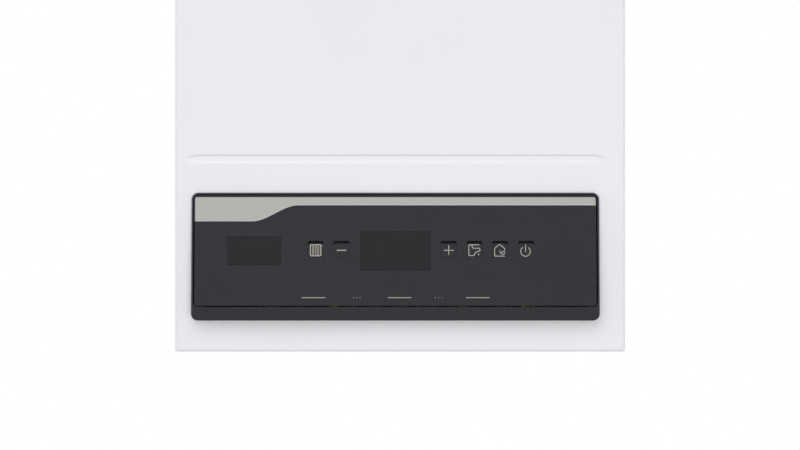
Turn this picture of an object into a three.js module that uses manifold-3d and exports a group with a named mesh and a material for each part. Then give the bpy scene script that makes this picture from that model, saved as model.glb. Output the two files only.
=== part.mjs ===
// Wall-hung gas combi boiler: white sheet-steel casing, dark tilted control
// panel, and the parts it holds inside.
//
// Millimetres. X to the right, Y towards the wall (the front faces -Y), Z up.
// Inside the boiler group the wall is the plane y = 0 and the casing's lower
// edge is z = 0. The whole group is lowered by half the casing height, so that
// the origin is the centre of the rear face.

import * as THREE from 'three';
import { mergeVertices } from 'three/addons/utils/BufferGeometryUtils.js';
import Module from 'manifold-3d';

// ---------------------------------------------------------------- sizes

// casing
const CASE_WIDTH = 430;
const CASE_HEIGHT = 740;
const CASE_DEPTH = 300;
const SHEET = 1;
const BASE_SHEET = 1.5;
const COVER_FLANGE = 28;
const COVER_SEAM = 0.6;
const COVER_EDGE_RADIUS = 2;
const SIDE_RETURN = 14;
const SKIRT_HEIGHT = 35;
const SEAT_GAP = 0.3;

// wall rail and its pressed recess
const RAIL_LENGTH = 240;
const RAIL_SHEET = 2.5;
const RAIL_WEB_HEIGHT = 26;
const RAIL_LIP_HEIGHT = 12;
const RAIL_LIP_REACH = 8;
const RAIL_DROP = 12;
const RAIL_HOLE_RADIUS = 4;
const RECESS_MARGIN = 8;
const RECESS_HEIGHT = 46;
const RECESS_DEPTH = 12;

// base plate: its feet, the cover's tabs and screws, and the back's notch
const BASE_SETBACK = 34;
const FOOT_INSET = 65;
const FOOT_WIDTH = 24;
const FOOT_Z = 4;
const FOOT_REACH = 22;
const TAB_WIDTH = 16;
const COVER_SCREW_SETBACK = 10;
const COVER_SCREW_RADIUS = 2;
const COVER_SCREW_HEAD = 4.5;
const COVER_SCREW_HEAD_HEIGHT = 2.2;
const COVER_SCREW_REACH = 6;
const COVER_HEM_SETBACK = 11;
const BACK_NOTCH_HALF = 170;
const BACK_NOTCH_HEIGHT = 30;
const GLAND_INSET = 34;
const GLAND_Y = -120;
const GLAND_RADIUS = 8;
const GLAND_BORE = 4.5;
const GLAND_NUT = 12;
const GLAND_DROP = 12;
const GLAND_RISE = 5;

// pressed groove across the cover
const GROOVE_MARGIN = 10.5;
const GROOVE_HEIGHT = 8.6;
const GROOVE_CENTRE = 184.2;
const GROOVE_DEPTH = 4;
const GROOVE_TAPER = 14;

// control panel: frame, fascia and what sits in it
const PANEL_OFFSET = -4.4;
const PANEL_TILT = 6.5;
const FRAME_MARGIN = 20.5;
const FRAME_BOTTOM = 30;
const FRAME_HEIGHT = 122;
const FRAME_TOP_PROUD = 4;
const FRAME_CORNER_RADIUS = 6.5;
const FRAME_RIM = 1.8;
const FRAME_TOP_RIM = 2.4;
const FRAME_CHIN = 13;
const CHIN_WALL = 2.5;
const CHIN_DRAFT = 10;
const PANEL_GAP = 1.2;
const FASCIA_THICKNESS = 2.5;
const FASCIA_CORNER_RADIUS = 2.5;
const FASCIA_SINK = 0.4;
const STRIP_THICKNESS = 1;
const STRIP_PROUD = 0.3;
const STRIP_LEFT_HEIGHT = 24.3;
const STRIP_RIGHT_HEIGHT = 8.9;
const STRIP_STEP_START = 55;
const STRIP_STEP_LENGTH = 43.6;
const WINDOW_THICKNESS = 1.5;
const SMALL_WINDOW_WIDTH = 51.1;
const SMALL_WINDOW_HEIGHT = 27;
const LARGE_WINDOW_WIDTH = 66.6;
const LARGE_WINDOW_HEIGHT = 37.5;
const KEY_WIDTH = 14.8;
const KEY_HEIGHT = 12.8;
const KEY_SLOT = 2.6;
const KEY_GAP = 0.35;
const KEY_BOTTOM = -5.9;
const KEY_POST_RADIUS = 1.5;
const KEY_POST_HEIGHT = 8.5;
const KEY_PRESS_ROOM = 0.9;
const BOSS_RADIUS = 3;
const BOSS_RISE = 32;

// places along the fascia, as shares of its half width
const SMALL_WINDOW_SHARE = -0.7039;
const LEFT_KEYS_SHARE = -0.3984;
const RIGHT_KEYS_SHARE = 0.2658;
const KEY_PITCH_SHARE = 0.12846;
const BOSS_SHARES = [-0.8956, -0.2611, 0.7311];

// control box behind the fascia
const BOX_INSET = 5.5;
const BOX_FLOOR_RISE = 16;
const BOX_ROOF_DROP = 12;
const BOX_PUMP_ROOM = 20;
const BOX_WALL = 2;
const PIVOT_SETBACK = 10;
const PIVOT_RADIUS = 2.5;
const PIVOT_LUG = 4.5;
const PIVOT_EAR = 3;
const PIVOT_BOSS = 5;
const BOARD_SHEET = 1.6;
const BOARD_DEPTH = 8;
const SWITCH_SIDE = 6;
const SWITCH_HEIGHT = 3.5;
const BOARD_MARGIN = 8;
const BOARD_EDGE = 6;
const MODULE_SIDE = 4;
const MODULE_EDGE = 0.5;
const MAIN_BOARD_INSET = 21;
const MAIN_BOARD_HEIGHT = 78;
const MAIN_BOARD_STANDOFF = 6;
const POST_RADIUS = 4;
const POST_INSET = 10;
const POST_EDGE = 14;
const TRANSFORMER_WIDTH = 44;
const TRANSFORMER_DEPTH = 34;
const RELAY_WIDTH = 18;
const RELAY_HEIGHT = 26;
const RELAY_DEPTH = 15;
const CAPACITOR_RADIUS = 6;
const CAPACITOR_DEPTH = 22;
const SOCKET_WIDTH = 22;
const SOCKET_HEIGHT = 12;
const SOCKET_DEPTH = 12;

// pipe connections under the base plate
const PIPE_PITCH = 65;
const PIPE_Y = -60;
const PIPE_STUB_RADIUS = 10;
const PIPE_STUB_BORE = 7;
const PIPE_STUB_END = 8;
const PIPE_HOLE_MARGIN = 2;
const PIPE_RADIUS = 7.5;
const PIPE_BEND = 20;
const BLOCK_BACK = -38;
const BLOCK_FRONT = -88;
const BLOCK_BOTTOM = 44;
const BLOCK_TOP = 110;
const BLOCK_NEAR = 17;
const BLOCK_FAR = 20;
const BLOCK_FOOT = 10;
const BLOCK_FOOT_INSET = 6;
const BORE_RISE = 10;

// combustion stack, from the burner up to the flue
const STACK_WIDTH = 230;
const STACK_VESSEL_ROOM = 12;
const STACK_SETBACK = 38;
const STACK_SHEET = 1.5;
const BURNER_BOTTOM = 262;
const BURNER_TOP = 322;
const EXCHANGER_HEIGHT = 60;
const HOOD_HEIGHT = 50;
const BAR_COUNT = 12;
const BAR_WIDTH = 9;
const BAR_HEIGHT = 14;
const BAR_DROP = 4;
const BAR_END_GAP = 6;
const RAIL_INSET = 20;
const CROSS_RAIL_HALF = 4;
const SLOT_HALF = 4.5;
const FIN_COUNT = 16;
const FIN_THICKNESS = 2;
const HEADER_WIDTH = 13;
const STACK_MARGIN = 2;
const NOZZLE_RADIUS = 2.5;
const MANIFOLD_RADIUS = 9;
const MANIFOLD_SETBACK = 24;
const MANIFOLD_END_WIDTH = 10;
const MANIFOLD_END_HEIGHT = 14;
const NOZZLE_REACH = 6;
const COIL_HEIGHT = 40;
const MANIFOLD_Z = 290;

// fan and flue
const FAN_SETBACK = 33;
const FAN_WIDTH = 60;
const FAN_HEADROOM = 15;
const FAN_FLOOR_GAP = 5;
const FAN_OUTER_RADIUS = 70;
const FAN_WHEEL_GAP = 6;
const FAN_WHEEL_WIDTH = 40;
const FAN_BLADES = 12;
const FAN_WALL = 2;
const FAN_INLET_RADIUS = 36;
const FAN_MOTOR_RADIUS = 38;
const FAN_MOTOR_LENGTH = 44;
const FAN_MOTOR_CHAMFER = 7;
const SHAFT_RADIUS = 4;
const RUNNING_GAP = 0.6;
const FLUE_OUTER_RADIUS = 50;
const FLUE_INNER_RADIUS = 30;
const FLUE_WALL = 1.5;
const FLUE_FLANGE_RADIUS = 68;
const FLUE_FLANGE = 2;
const FLUE_HEIGHT = 25;
const VANE_HEIGHT = 10;

// expansion vessel
const VESSEL_RADIUS = 165;
const VESSEL_DEPTH = 82;
const VESSEL_HEADROOM = 11;
const NIPPLE_DROP = 16;
const NIPPLE_LENGTH = 26;
const VESSEL_SHOULDER = 30;
const VESSEL_EDGE = 9;
const VESSEL_RIM = 5;
const HOSE_RADIUS = 5;
const HOSE_PORT_RISE = 104;
const HOSE_BEND = 30;

// gas valve, electrode and water fittings
const GAS_X = 0;
const GAS_Y = -160;
const GAS_VALVE_BOTTOM = 176;
const GAS_VALVE_HEIGHT = 52;
const GAS_VALVE_WIDTH = 56;
const GAS_VALVE_DEPTH = 48;
const GAS_COIL_RADIUS = 12;
const GAS_COIL_REACH = 32;
const GAS_COIL_SHIFT = 13;
const REGULATOR_RADIUS = 9;
const REGULATOR_REACH = 18;
const GAS_BRACKET_SHEET = 2;
const GAS_BRACKET_RISE = 20;
const STUB_COLLAR = 5;
const STUB_COLLAR_HEIGHT = 4;
const GAS_PIPE_RISE = 70;
const GAS_SUPPLY_RISE = 250;
const PLUG_X = -30;
const PLUG_Z = 350;
const PLUG_RADIUS = 4;
const PLUG_FLANGE_WIDTH = 28;
const PLUG_FLANGE_HEIGHT = 18;
const PLUG_LENGTH = 30;
const SPARK_ROD_RADIUS = 1.2;
const SPARK_ROD_REACH = 34;
const BAR_MARGIN = 13;
const COIL_RADIUS = 11;
const COIL_X = 60;
const WATER_TUBE_RADIUS = 7;
const WATER_TUBE_INSET = 30;
const HOOD_RIM = 18;
const HOOD_NECK = 50;
const HOOD_SLOPE = 40;
const HOOD_LIP = 12;
const FAN_NECK = 32;
const FLUE_DIP = 12;
const SHAFT_DEPTH = 16;
const RELIEF_X = 76;
const RELIEF_Z = 78;
const RELIEF_REACH = 30;
const RELIEF_RADIUS = 10;
const RELIEF_DRAIN_SETBACK = 18;
const RELIEF_KNOB_RADIUS = 14;
const RELIEF_KNOB_DEPTH = 14;
const RELIEF_GRIP_HALF = 16;
const RELIEF_GRIP_THICKNESS = 6;
const RELIEF_GRIP_DEPTH = 20;
const DRAIN_RADIUS = 7;
const DRAIN_END = 12;
const FILLING_X = 104;
const FILLING_SETBACK = 10;
const FILLING_STEM = 3.5;
const FILLING_RADIUS = 8;
const FILLING_TOP = 56;
const FILLING_NECK = 10;
const FILLING_KNOB_RADIUS = 11;
const FILLING_WING_HALF = 14;
const FILLING_KNOB_BOTTOM = 8;
const FILLING_KNOB_DROP = 5;
const TOWER_RADIUS = 18;
const TOWER_TOP = 150;
const SPINDLE_RADIUS = 3.5;
const SPINDLE_IN = 22;
const SPINDLE_TRAVEL = 6;
const MOTOR_LEG = 14;
const MOTOR_RADIUS = 21;
const MOTOR_HEIGHT = 34;
const MOTOR_PLUG_WIDTH = 18;
const MOTOR_PLUG_HEIGHT = 12;
const MOTOR_LEG_X = 12;
const MOTOR_LEG_SIDE = 4;
const SPINDLE_COLLAR = 3;
const PUMP_SHIFT = 4;
const PUMP_PORT_DEPTH = 18;
const PUMP_Z = 106;
const PUMP_RADIUS = 42;
const PUMP_WIDTH = 44;
const PUMP_WALL = 5;
const PUMP_WHEEL_GAP = 4;
const PUMP_WHEEL_WIDTH = 23;
const PUMP_OUTLET_RADIUS = 12;
const PUMP_OUTLET_TOP = 160;
const PUMP_MOTOR_RADIUS = 38;
const PUMP_MOTOR_LENGTH = 72;
const TERMINAL_BOX_WIDTH = 44;
const TERMINAL_BOX_LENGTH = 40;
const TERMINAL_BOX_RISE = 14;
const PUMP_BLADES = 6;
const VENT_RADIUS = 13;
const VENT_NECK = 7;
const VENT_BODY = 30;
const VENT_CAP = 6;
const SWITCH_DROP = 15;
const SWITCH_SETBACK = 30;
const SWITCH_RADIUS = 28;
const SWITCH_DEPTH = 22;
const SWITCH_CAP_RADIUS = 16;
const SWITCH_CAP_DEPTH = 10;
const NIPPLE_RADIUS = 2.5;
const NIPPLE_SPREAD = 9;
const FLOW_SENSOR_SIDE = 12;
const FLOW_SENSOR_HEIGHT = 16;
const FLOW_SENSOR_PLUG = 8;
const PRESSURE_NUT_RADIUS = 9;
const PRESSURE_CAN_RADIUS = 7;
const PRESSURE_CAN_LENGTH = 30;
const PLATE_HALF = 94;
const PLATE_COUNT = 6;
const PLATE_PITCH = 6.5;
const PLATE_LIP = 2;
const PLATE_CORNER = 16;
const RISER_X = 160;
const FLOW_BEND_DROP = 30;
const FLOW_LEVEL_DROP = 75;
const RETURN_RISE = 42;
const FLOW_PORT_X = 96;
const FLOW_PORT_Z = 78;
const HOSE_PORT_X = 110;

// ------------------------------------------------------------- worked out

const HALF_WIDTH = CASE_WIDTH / 2;
const INNER_HALF = HALF_WIDTH - SHEET;
const FOOT_X = HALF_WIDTH - FOOT_INSET;
const RAIL_TOP = CASE_HEIGHT - RAIL_DROP;
const RECESS_HALF = RAIL_LENGTH / 2 + RECESS_MARGIN;
const GROOVE_LENGTH = CASE_WIDTH - 2 * GROOVE_MARGIN;
const FRAME_WIDTH = CASE_WIDTH - 2 * FRAME_MARGIN;
const BASE_FRONT = -(CASE_DEPTH - BASE_SETBACK);
const COVER_SCREW_Y = BASE_FRONT + COVER_SCREW_SETBACK;
const GLAND_X = -(INNER_HALF - GLAND_INSET);
const SEAM_Y = -(CASE_DEPTH - COVER_FLANGE);
const SIDE_FRONT = SEAM_Y + COVER_SEAM;
const BACK_FACE = -SHEET;
const BASE_TOP = SKIRT_HEIGHT + BASE_SHEET;
const TILT = THREE.MathUtils.degToRad(PANEL_TILT);
const FRAME_TOP = FRAME_BOTTOM + FRAME_HEIGHT;
const OPENING_BOTTOM = FRAME_BOTTOM + FRAME_CHIN;
const OPENING_TOP = FRAME_TOP - FRAME_TOP_RIM;
const OPENING_HALF = FRAME_WIDTH / 2 - FRAME_RIM;
const FRAME_BOTTOM_PROUD = FRAME_TOP_PROUD + FRAME_HEIGHT * Math.tan(TILT);
const CHIN_DROP = FRAME_BOTTOM_PROUD * Math.tan(THREE.MathUtils.degToRad(CHIN_DRAFT));
const FASCIA_HALF = OPENING_HALF - PANEL_GAP;
const FASCIA_MIDDLE = (OPENING_BOTTOM + OPENING_TOP) / 2;
const FASCIA_HEIGHT = (OPENING_TOP - OPENING_BOTTOM - 2 * PANEL_GAP) / Math.cos(TILT);
const FASCIA_TOP = FASCIA_HEIGHT / 2;
const SMALL_WINDOW_X = SMALL_WINDOW_SHARE * FASCIA_HALF;
const KEY_SHARES = [0, 1].map((step) => LEFT_KEYS_SHARE + step * KEY_PITCH_SHARE)
  .concat([0, 1, 2, 3].map((step) => RIGHT_KEYS_SHARE + step * KEY_PITCH_SHARE));
const KEY_CENTRES = KEY_SHARES.map((share) => share * FASCIA_HALF);
const KEY_NAMES = ['heating', 'minus', 'plus', 'hot_water', 'eco', 'power'];
const PIPE_CENTRES = [-2, -1, 0, 1, 2].map((step) => step * PIPE_PITCH);
const BLOCK_INNER = PIPE_PITCH - BLOCK_NEAR;
const BLOCK_OUTER = 2 * PIPE_PITCH + BLOCK_FAR;
const TOWER_X = -2 * PIPE_PITCH;
const PUMP_X = 2 * PIPE_PITCH + PUMP_SHIFT;
const BOX_HALF = FASCIA_HALF - BOX_INSET;
const BOX_BOTTOM = FRAME_BOTTOM + BOX_FLOOR_RISE;
const BOX_TOP = FRAME_TOP - BOX_ROOF_DROP;
const PIVOT_Y = -(CASE_DEPTH - PIVOT_SETBACK);
const PIVOT_Z = SKIRT_HEIGHT + PIVOT_BOSS;
const MAIN_BOARD_HALF = BOX_HALF - MAIN_BOARD_INSET;
const RELIEF_FRONT = BLOCK_FRONT - RELIEF_REACH;
const RELIEF_DRAIN_Y = BLOCK_FRONT - RELIEF_DRAIN_SETBACK;
const FILLING_Y = BLOCK_FRONT - FILLING_SETBACK;
const BOX_BACK = BLOCK_FRONT - PUMP_WIDTH - PUMP_MOTOR_LENGTH - BOX_PUMP_ROOM;
const BLOCK_Y = (BLOCK_BACK + BLOCK_FRONT) / 2;
const STACK_HALF = STACK_WIDTH / 2;
const STACK_BACK = -(SHEET + VESSEL_DEPTH + STACK_VESSEL_ROOM);
const STACK_FRONT = -(CASE_DEPTH - STACK_SETBACK);
const STACK_MIDDLE = (STACK_BACK + STACK_FRONT) / 2;
const MANIFOLD_Y = -(CASE_DEPTH - MANIFOLD_SETBACK);
const BAR_PITCH = (STACK_WIDTH - 2 * BAR_MARGIN) / BAR_COUNT;
const FAN_CENTRE = CASE_HEIGHT - FAN_OUTER_RADIUS - FAN_HEADROOM;
const FAN_WHEEL_RADIUS = FAN_OUTER_RADIUS - FAN_WALL - FAN_WHEEL_GAP;
const HOOD_TOP = FAN_CENTRE - FAN_OUTER_RADIUS - FAN_FLOOR_GAP;
const EXCHANGER_TOP = HOOD_TOP - HOOD_HEIGHT;
const FIREBOX_TOP = EXCHANGER_TOP - EXCHANGER_HEIGHT;
const VESSEL_CENTRE = RAIL_TOP - RECESS_HEIGHT - SHEET - VESSEL_HEADROOM - VESSEL_RADIUS;
const FAN_BACK = STACK_BACK - FAN_SETBACK;
const FAN_FRONT = FAN_BACK - FAN_WIDTH;
const FAN_MIDDLE = (FAN_BACK + FAN_FRONT) / 2;
const PUMP_MIDDLE = BLOCK_FRONT - PUMP_WIDTH / 2;
const CASE_TOP_INSIDE = CASE_HEIGHT - SHEET;

// -------------------------------------------------------------- materials

function finish(colour, roughness, metalness = 0) {
  return new THREE.MeshStandardMaterial({ color: colour, roughness, metalness });
}

const WHITE_ENAMEL = finish(0xeaebed, 0.42);
const ZINC_SHEET = finish(0xb4b6b8, 0.45, 0.9);
const DARK_PLASTIC = finish(0x35353a, 0.5);
const FASCIA_PLASTIC = finish(0x3a3a3c, 0.48);
const SILVER_LACQUER = finish(0xb1b0ac, 0.4, 0.4);
const SMOKED_WINDOW = finish(0x332f32, 0.25);
const GREY_PLASTIC = finish(0x8f9294, 0.55);
const BLACK_PLASTIC = finish(0x1e1e20, 0.5);
const RED_PLASTIC = finish(0xb3261e, 0.45);
const CIRCUIT_BOARD = finish(0x1f5b38, 0.5);
const COPPER = finish(0xb87348, 0.35, 1);
const BRASS = finish(0xb9975a, 0.35, 1);
const STEEL = finish(0xb9bbbd, 0.35, 1);
const CAST_IRON = finish(0x3c3f43, 0.6, 0.4);
const CAST_ALUMINIUM = finish(0xa6a8aa, 0.5, 0.9);
const RED_LACQUER = finish(0xa03028, 0.45);
const CERAMIC = finish(0xe9e4d8, 0.4);

// ---------------------------------------------------------------- helpers

const wasm = await Module();
wasm.setup();

// columns are where a shape's own x, y and depth go when it runs along an axis
const ALONG = {
  x: new THREE.Matrix4().set(0, 0, 1, 0, 1, 0, 0, 0, 0, 1, 0, 0, 0, 0, 0, 1),
  y: new THREE.Matrix4().set(1, 0, 0, 0, 0, 0, -1, 0, 0, 1, 0, 0, 0, 0, 0, 1),
  z: new THREE.Matrix4(),
};

function toSolid(geometry) {
  const plain = geometry.clone();
  plain.deleteAttribute('normal');
  plain.deleteAttribute('uv');
  const merged = mergeVertices(plain, 1e-4);
  const vertProperties = new Float32Array(merged.attributes.position.array);
  const triVerts = new Uint32Array(merged.index.array);
  return new wasm.Manifold(new wasm.Mesh({ numProp: 3, vertProperties, triVerts }));
}

function toGeometry(solid) {
  const mesh = solid.getMesh();
  const geometry = new THREE.BufferGeometry();
  geometry.setAttribute('position', new THREE.BufferAttribute(mesh.vertProperties, 3));
  geometry.setIndex(new THREE.BufferAttribute(mesh.triVerts, 1));
  geometry.computeVertexNormals();
  return geometry;
}

function join(first, ...others) {
  return toGeometry(others.reduce((sum, other) => sum.add(toSolid(other)), toSolid(first)));
}

function cut(first, ...tools) {
  return toGeometry(tools.reduce((rest, tool) => rest.subtract(toSolid(tool)), toSolid(first)));
}

function common(first, second) {
  return toGeometry(toSolid(first).intersect(toSolid(second)));
}

// a box between two corners
function block(x0, x1, y0, y1, z0, z1) {
  const geometry = new THREE.BoxGeometry(x1 - x0, y1 - y0, z1 - z0);
  return geometry.translate((x0 + x1) / 2, (y0 + y1) / 2, (z0 + z1) / 2);
}

// a closed outline through corner points
function outline(points) {
  return new THREE.Shape(points.map(([x, y]) => new THREE.Vector2(x, y)));
}

// a rectangle with round corners; the radius gives way in a narrow one
function roundRect(x0, x1, y0, y1, radius) {
  const r = Math.min(radius, (x1 - x0) / 2, (y1 - y0) / 2);
  const shape = new THREE.Shape();
  shape.moveTo(x0 + r, y0);
  shape.lineTo(x1 - r, y0);
  shape.absarc(x1 - r, y0 + r, r, -Math.PI / 2, 0);
  shape.lineTo(x1, y1 - r);
  shape.absarc(x1 - r, y1 - r, r, 0, Math.PI / 2);
  shape.lineTo(x0 + r, y1);
  shape.absarc(x0 + r, y1 - r, r, Math.PI / 2, Math.PI);
  shape.lineTo(x0, y0 + r);
  shape.absarc(x0 + r, y0 + r, r, Math.PI, 1.5 * Math.PI);
  return shape;
}

// a shape carried straight along an axis from its low to its high value; the
// shape's two directions are the other two axes, in the order X, Y, Z
function slab(axis, shape, low, high, curveSegments = 4) {
  const options = { depth: high - low, bevelEnabled: false, curveSegments };
  const geometry = new THREE.ExtrudeGeometry(shape, options).applyMatrix4(ALONG[axis]);
  const start = { x: [low, 0, 0], y: [0, high, 0], z: [0, 0, low] }[axis];
  return geometry.translate(...start);
}

// a round bar along an axis, at (a, b) on the other two axes in X, Y, Z order
function rod(axis, radius, low, high, a, b, sides = 16) {
  const geometry = new THREE.CylinderGeometry(radius, radius, high - low, sides);
  const middle = (low + high) / 2;
  if (axis === 'x') return geometry.rotateZ(Math.PI / 2).translate(middle, a, b);
  if (axis === 'y') return geometry.translate(a, middle, b);
  return geometry.rotateX(Math.PI / 2).translate(a, b, middle);
}

// a turned piece: [radius, height] points from the low end up, axis to axis
function turned(axis, profile, a, b, sides = 24) {
  const points = profile.map(([radius, height]) => new THREE.Vector2(radius, height));
  const geometry = new THREE.LatheGeometry(points, sides);
  if (axis === 'x') return geometry.rotateZ(-Math.PI / 2).translate(0, a, b);
  if (axis === 'y') return geometry.translate(a, 0, b);
  return geometry.rotateX(Math.PI / 2).translate(a, b, 0);
}

// a bent tube through corner points, each corner rounded to the bend radius
function tube(points, radius, bend = PIPE_BEND, sides = 8) {
  const corners = points.map((point) => new THREE.Vector3(...point));
  const path = new THREE.CurvePath();
  let from = corners[0];
  for (let i = 1; i < corners.length - 1; i += 1) {
    const before = corners[i - 1].distanceTo(corners[i]);
    const after = corners[i + 1].distanceTo(corners[i]);
    const reach = Math.min(bend, before * 0.45, after * 0.45);
    const start = corners[i].clone().lerp(corners[i - 1], reach / before);
    const end = corners[i].clone().lerp(corners[i + 1], reach / after);
    path.add(new THREE.LineCurve3(from, start));
    path.add(new THREE.QuadraticBezierCurve3(start, corners[i], end));
    from = end;
  }
  path.add(new THREE.LineCurve3(from, corners.at(-1)));
  const ring = new THREE.Shape();
  for (let i = 0; i < sides; i += 1) {
    const angle = (2 * Math.PI * i) / sides;
    const [u, v] = [radius * Math.cos(angle), radius * Math.sin(angle)];
    if (i === 0) ring.moveTo(u, v);
    else ring.lineTo(u, v);
  }
  const steps = Math.max(4, Math.round(path.getLength() / (2.6 * radius)));
  const options = { steps, bevelEnabled: false, extrudePath: path };
  return new THREE.ExtrudeGeometry(ring, options);
}

function add(parent, name, geometry, material) {
  const mesh = new THREE.Mesh(geometry, material);
  mesh.name = name;
  parent.add(mesh);
  return mesh;
}

const boiler = new THREE.Group();
boiler.position.z = -CASE_HEIGHT / 2;
const panel = new THREE.Group();
panel.position.x = PANEL_OFFSET;
boiler.add(panel);

// ---------------------------------------------------------- casing sheets

function makeHangingRail() {
  const webBottom = RAIL_TOP - RAIL_LIP_HEIGHT - RAIL_WEB_HEIGHT + RAIL_SHEET;
  const shelf = RAIL_TOP - RAIL_LIP_HEIGHT;
  const section = outline([
    [0, webBottom],
    [0, shelf + RAIL_SHEET],
    [-RAIL_LIP_REACH + RAIL_SHEET, shelf + RAIL_SHEET],
    [-RAIL_LIP_REACH + RAIL_SHEET, RAIL_TOP],
    [-RAIL_LIP_REACH, RAIL_TOP],
    [-RAIL_LIP_REACH, shelf],
    [-RAIL_SHEET, shelf],
    [-RAIL_SHEET, webBottom],
  ]);
  const bar = slab('x', section, -RAIL_LENGTH / 2, RAIL_LENGTH / 2);
  const holes = [-1, 0, 1].map((side) => rod('y', RAIL_HOLE_RADIUS,
    -2 * RAIL_SHEET, RAIL_SHEET, side * RAIL_LENGTH * 0.4, webBottom + RAIL_WEB_HEIGHT / 2, 12));
  add(boiler, 'hanging_rail', cut(bar, ...holes), ZINC_SHEET);
}

function makeBackPlate() {
  const face = outline([
    [-INNER_HALF, 0],
    [-BACK_NOTCH_HALF, 0],
    [-BACK_NOTCH_HALF, BACK_NOTCH_HEIGHT],
    [BACK_NOTCH_HALF, BACK_NOTCH_HEIGHT],
    [BACK_NOTCH_HALF, 0],
    [INNER_HALF, 0],
    [INNER_HALF, CASE_TOP_INSIDE],
    [-INNER_HALF, CASE_TOP_INSIDE],
  ]);
  const low = RAIL_TOP - RECESS_HEIGHT;
  const bump = block(-RECESS_HALF - SHEET, RECESS_HALF + SHEET, -RECESS_DEPTH - SHEET, BACK_FACE,
    low - SHEET, RAIL_TOP + SHEET);
  const pocket = block(-RECESS_HALF, RECESS_HALF, -RECESS_DEPTH, 1, low, RAIL_TOP);
  const plate = cut(join(slab('y', face, BACK_FACE, 0), bump), pocket);
  add(boiler, 'back_plate', plate, ZINC_SHEET);
}

function makeSidePanels() {
  for (const [name, side] of [['side_panel_left', -1], ['side_panel_right', 1]]) {
    const outer = side * HALF_WIDTH;
    const inner = side * INNER_HALF;
    const lip = side * (HALF_WIDTH - SIDE_RETURN);
    const section = outline([
      [outer, 0],
      [outer, SIDE_FRONT],
      [lip, SIDE_FRONT],
      [lip, SIDE_FRONT + SHEET],
      [inner, SIDE_FRONT + SHEET],
      [inner, 0],
    ]);
    add(boiler, name, slab('z', section, 0, CASE_HEIGHT), WHITE_ENAMEL);
  }
}

function makeTopPanel() {
  const sheet = block(-INNER_HALF, INNER_HALF, SIDE_FRONT + SHEET, 0, CASE_TOP_INSIDE, CASE_HEIGHT);
  const lipHalf = HALF_WIDTH - SIDE_RETURN - SEAT_GAP;
  const lip = block(-lipHalf, lipHalf, SIDE_FRONT, SIDE_FRONT + SHEET,
    CASE_TOP_INSIDE - SIDE_RETURN, CASE_HEIGHT);
  const flueHole = rod('z', FLUE_OUTER_RADIUS, CASE_TOP_INSIDE - 1, CASE_HEIGHT + 1,
    0, FAN_MIDDLE, 28);
  add(boiler, 'top_panel', cut(join(sheet, lip), flueHole), WHITE_ENAMEL);
}

function makeBottomPlate() {
  const face = outline([
    [-INNER_HALF, BASE_FRONT],
    [INNER_HALF, BASE_FRONT],
    [INNER_HALF, BACK_FACE],
    [-INNER_HALF, BACK_FACE],
  ]);
  const hole = (x, y, radius) => face.holes.push(new THREE.Path().absarc(x, y, radius, 0, 2 * Math.PI));
  PIPE_CENTRES.forEach((x) => hole(x, PIPE_Y, PIPE_STUB_RADIUS + PIPE_HOLE_MARGIN));
  hole(GLAND_X, GLAND_Y, GLAND_RADIUS);
  hole(RELIEF_X, RELIEF_DRAIN_Y, DRAIN_RADIUS + PIPE_HOLE_MARGIN);
  hole(FILLING_X, FILLING_Y, FILLING_STEM + PIPE_HOLE_MARGIN);
  const pieces = [];
  for (const side of [-1, 1]) {
    const x0 = side * FOOT_X - FOOT_WIDTH / 2;
    const x1 = side * FOOT_X + FOOT_WIDTH / 2;
    pieces.push(block(x0, x1, BASE_FRONT, BASE_FRONT + BASE_SHEET, FOOT_Z, SKIRT_HEIGHT));
    pieces.push(block(x0, x1, BASE_FRONT, BASE_FRONT + FOOT_REACH, FOOT_Z, FOOT_Z + BASE_SHEET));
    const near = PANEL_OFFSET + side * (BOX_HALF + PIVOT_LUG + RUNNING_GAP);
    const far = near + side * PIVOT_EAR;
    pieces.push(block(Math.min(near, far), Math.max(near, far), PIVOT_Y - PIVOT_BOSS, BASE_FRONT,
      PIVOT_Z - PIVOT_BOSS, PIVOT_Z + PIVOT_BOSS));
    pieces.push(block(Math.min(near, far), Math.max(near, far), BASE_FRONT, BASE_FRONT + FOOT_REACH,
      BASE_TOP, PIVOT_Z + PIVOT_BOSS));
  }
  const holes = [rod('x', PIVOT_RADIUS + RUNNING_GAP, -HALF_WIDTH, HALF_WIDTH, PIVOT_Y, PIVOT_Z, 16)];
  for (const side of [-1, 1]) {
    holes.push(rod('z', COVER_SCREW_RADIUS + SEAT_GAP, 0, FOOT_Z + 2 * BASE_SHEET,
      side * FOOT_X, COVER_SCREW_Y, 12));
  }
  const plate = slab('z', face, SKIRT_HEIGHT, BASE_TOP, 6);
  add(boiler, 'bottom_plate', cut(join(plate, ...pieces), ...holes), ZINC_SHEET);
}

function makeCoverScrews() {
  for (const [name, side] of [['cover_screw_left', -1], ['cover_screw_right', 1]]) {
    const head = FOOT_Z - SHEET - SEAT_GAP;
    const profile = [
      [0, head - COVER_SCREW_HEAD_HEIGHT],
      [COVER_SCREW_HEAD, head - COVER_SCREW_HEAD_HEIGHT],
      [COVER_SCREW_HEAD, head],
      [COVER_SCREW_RADIUS, head],
      [COVER_SCREW_RADIUS, FOOT_Z + BASE_SHEET + COVER_SCREW_REACH],
      [0, FOOT_Z + BASE_SHEET + COVER_SCREW_REACH],
    ];
    add(boiler, name, turned('z', profile, side * FOOT_X, COVER_SCREW_Y, 12), STEEL);
  }
}

// ------------------------------------------------------------ front cover

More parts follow.
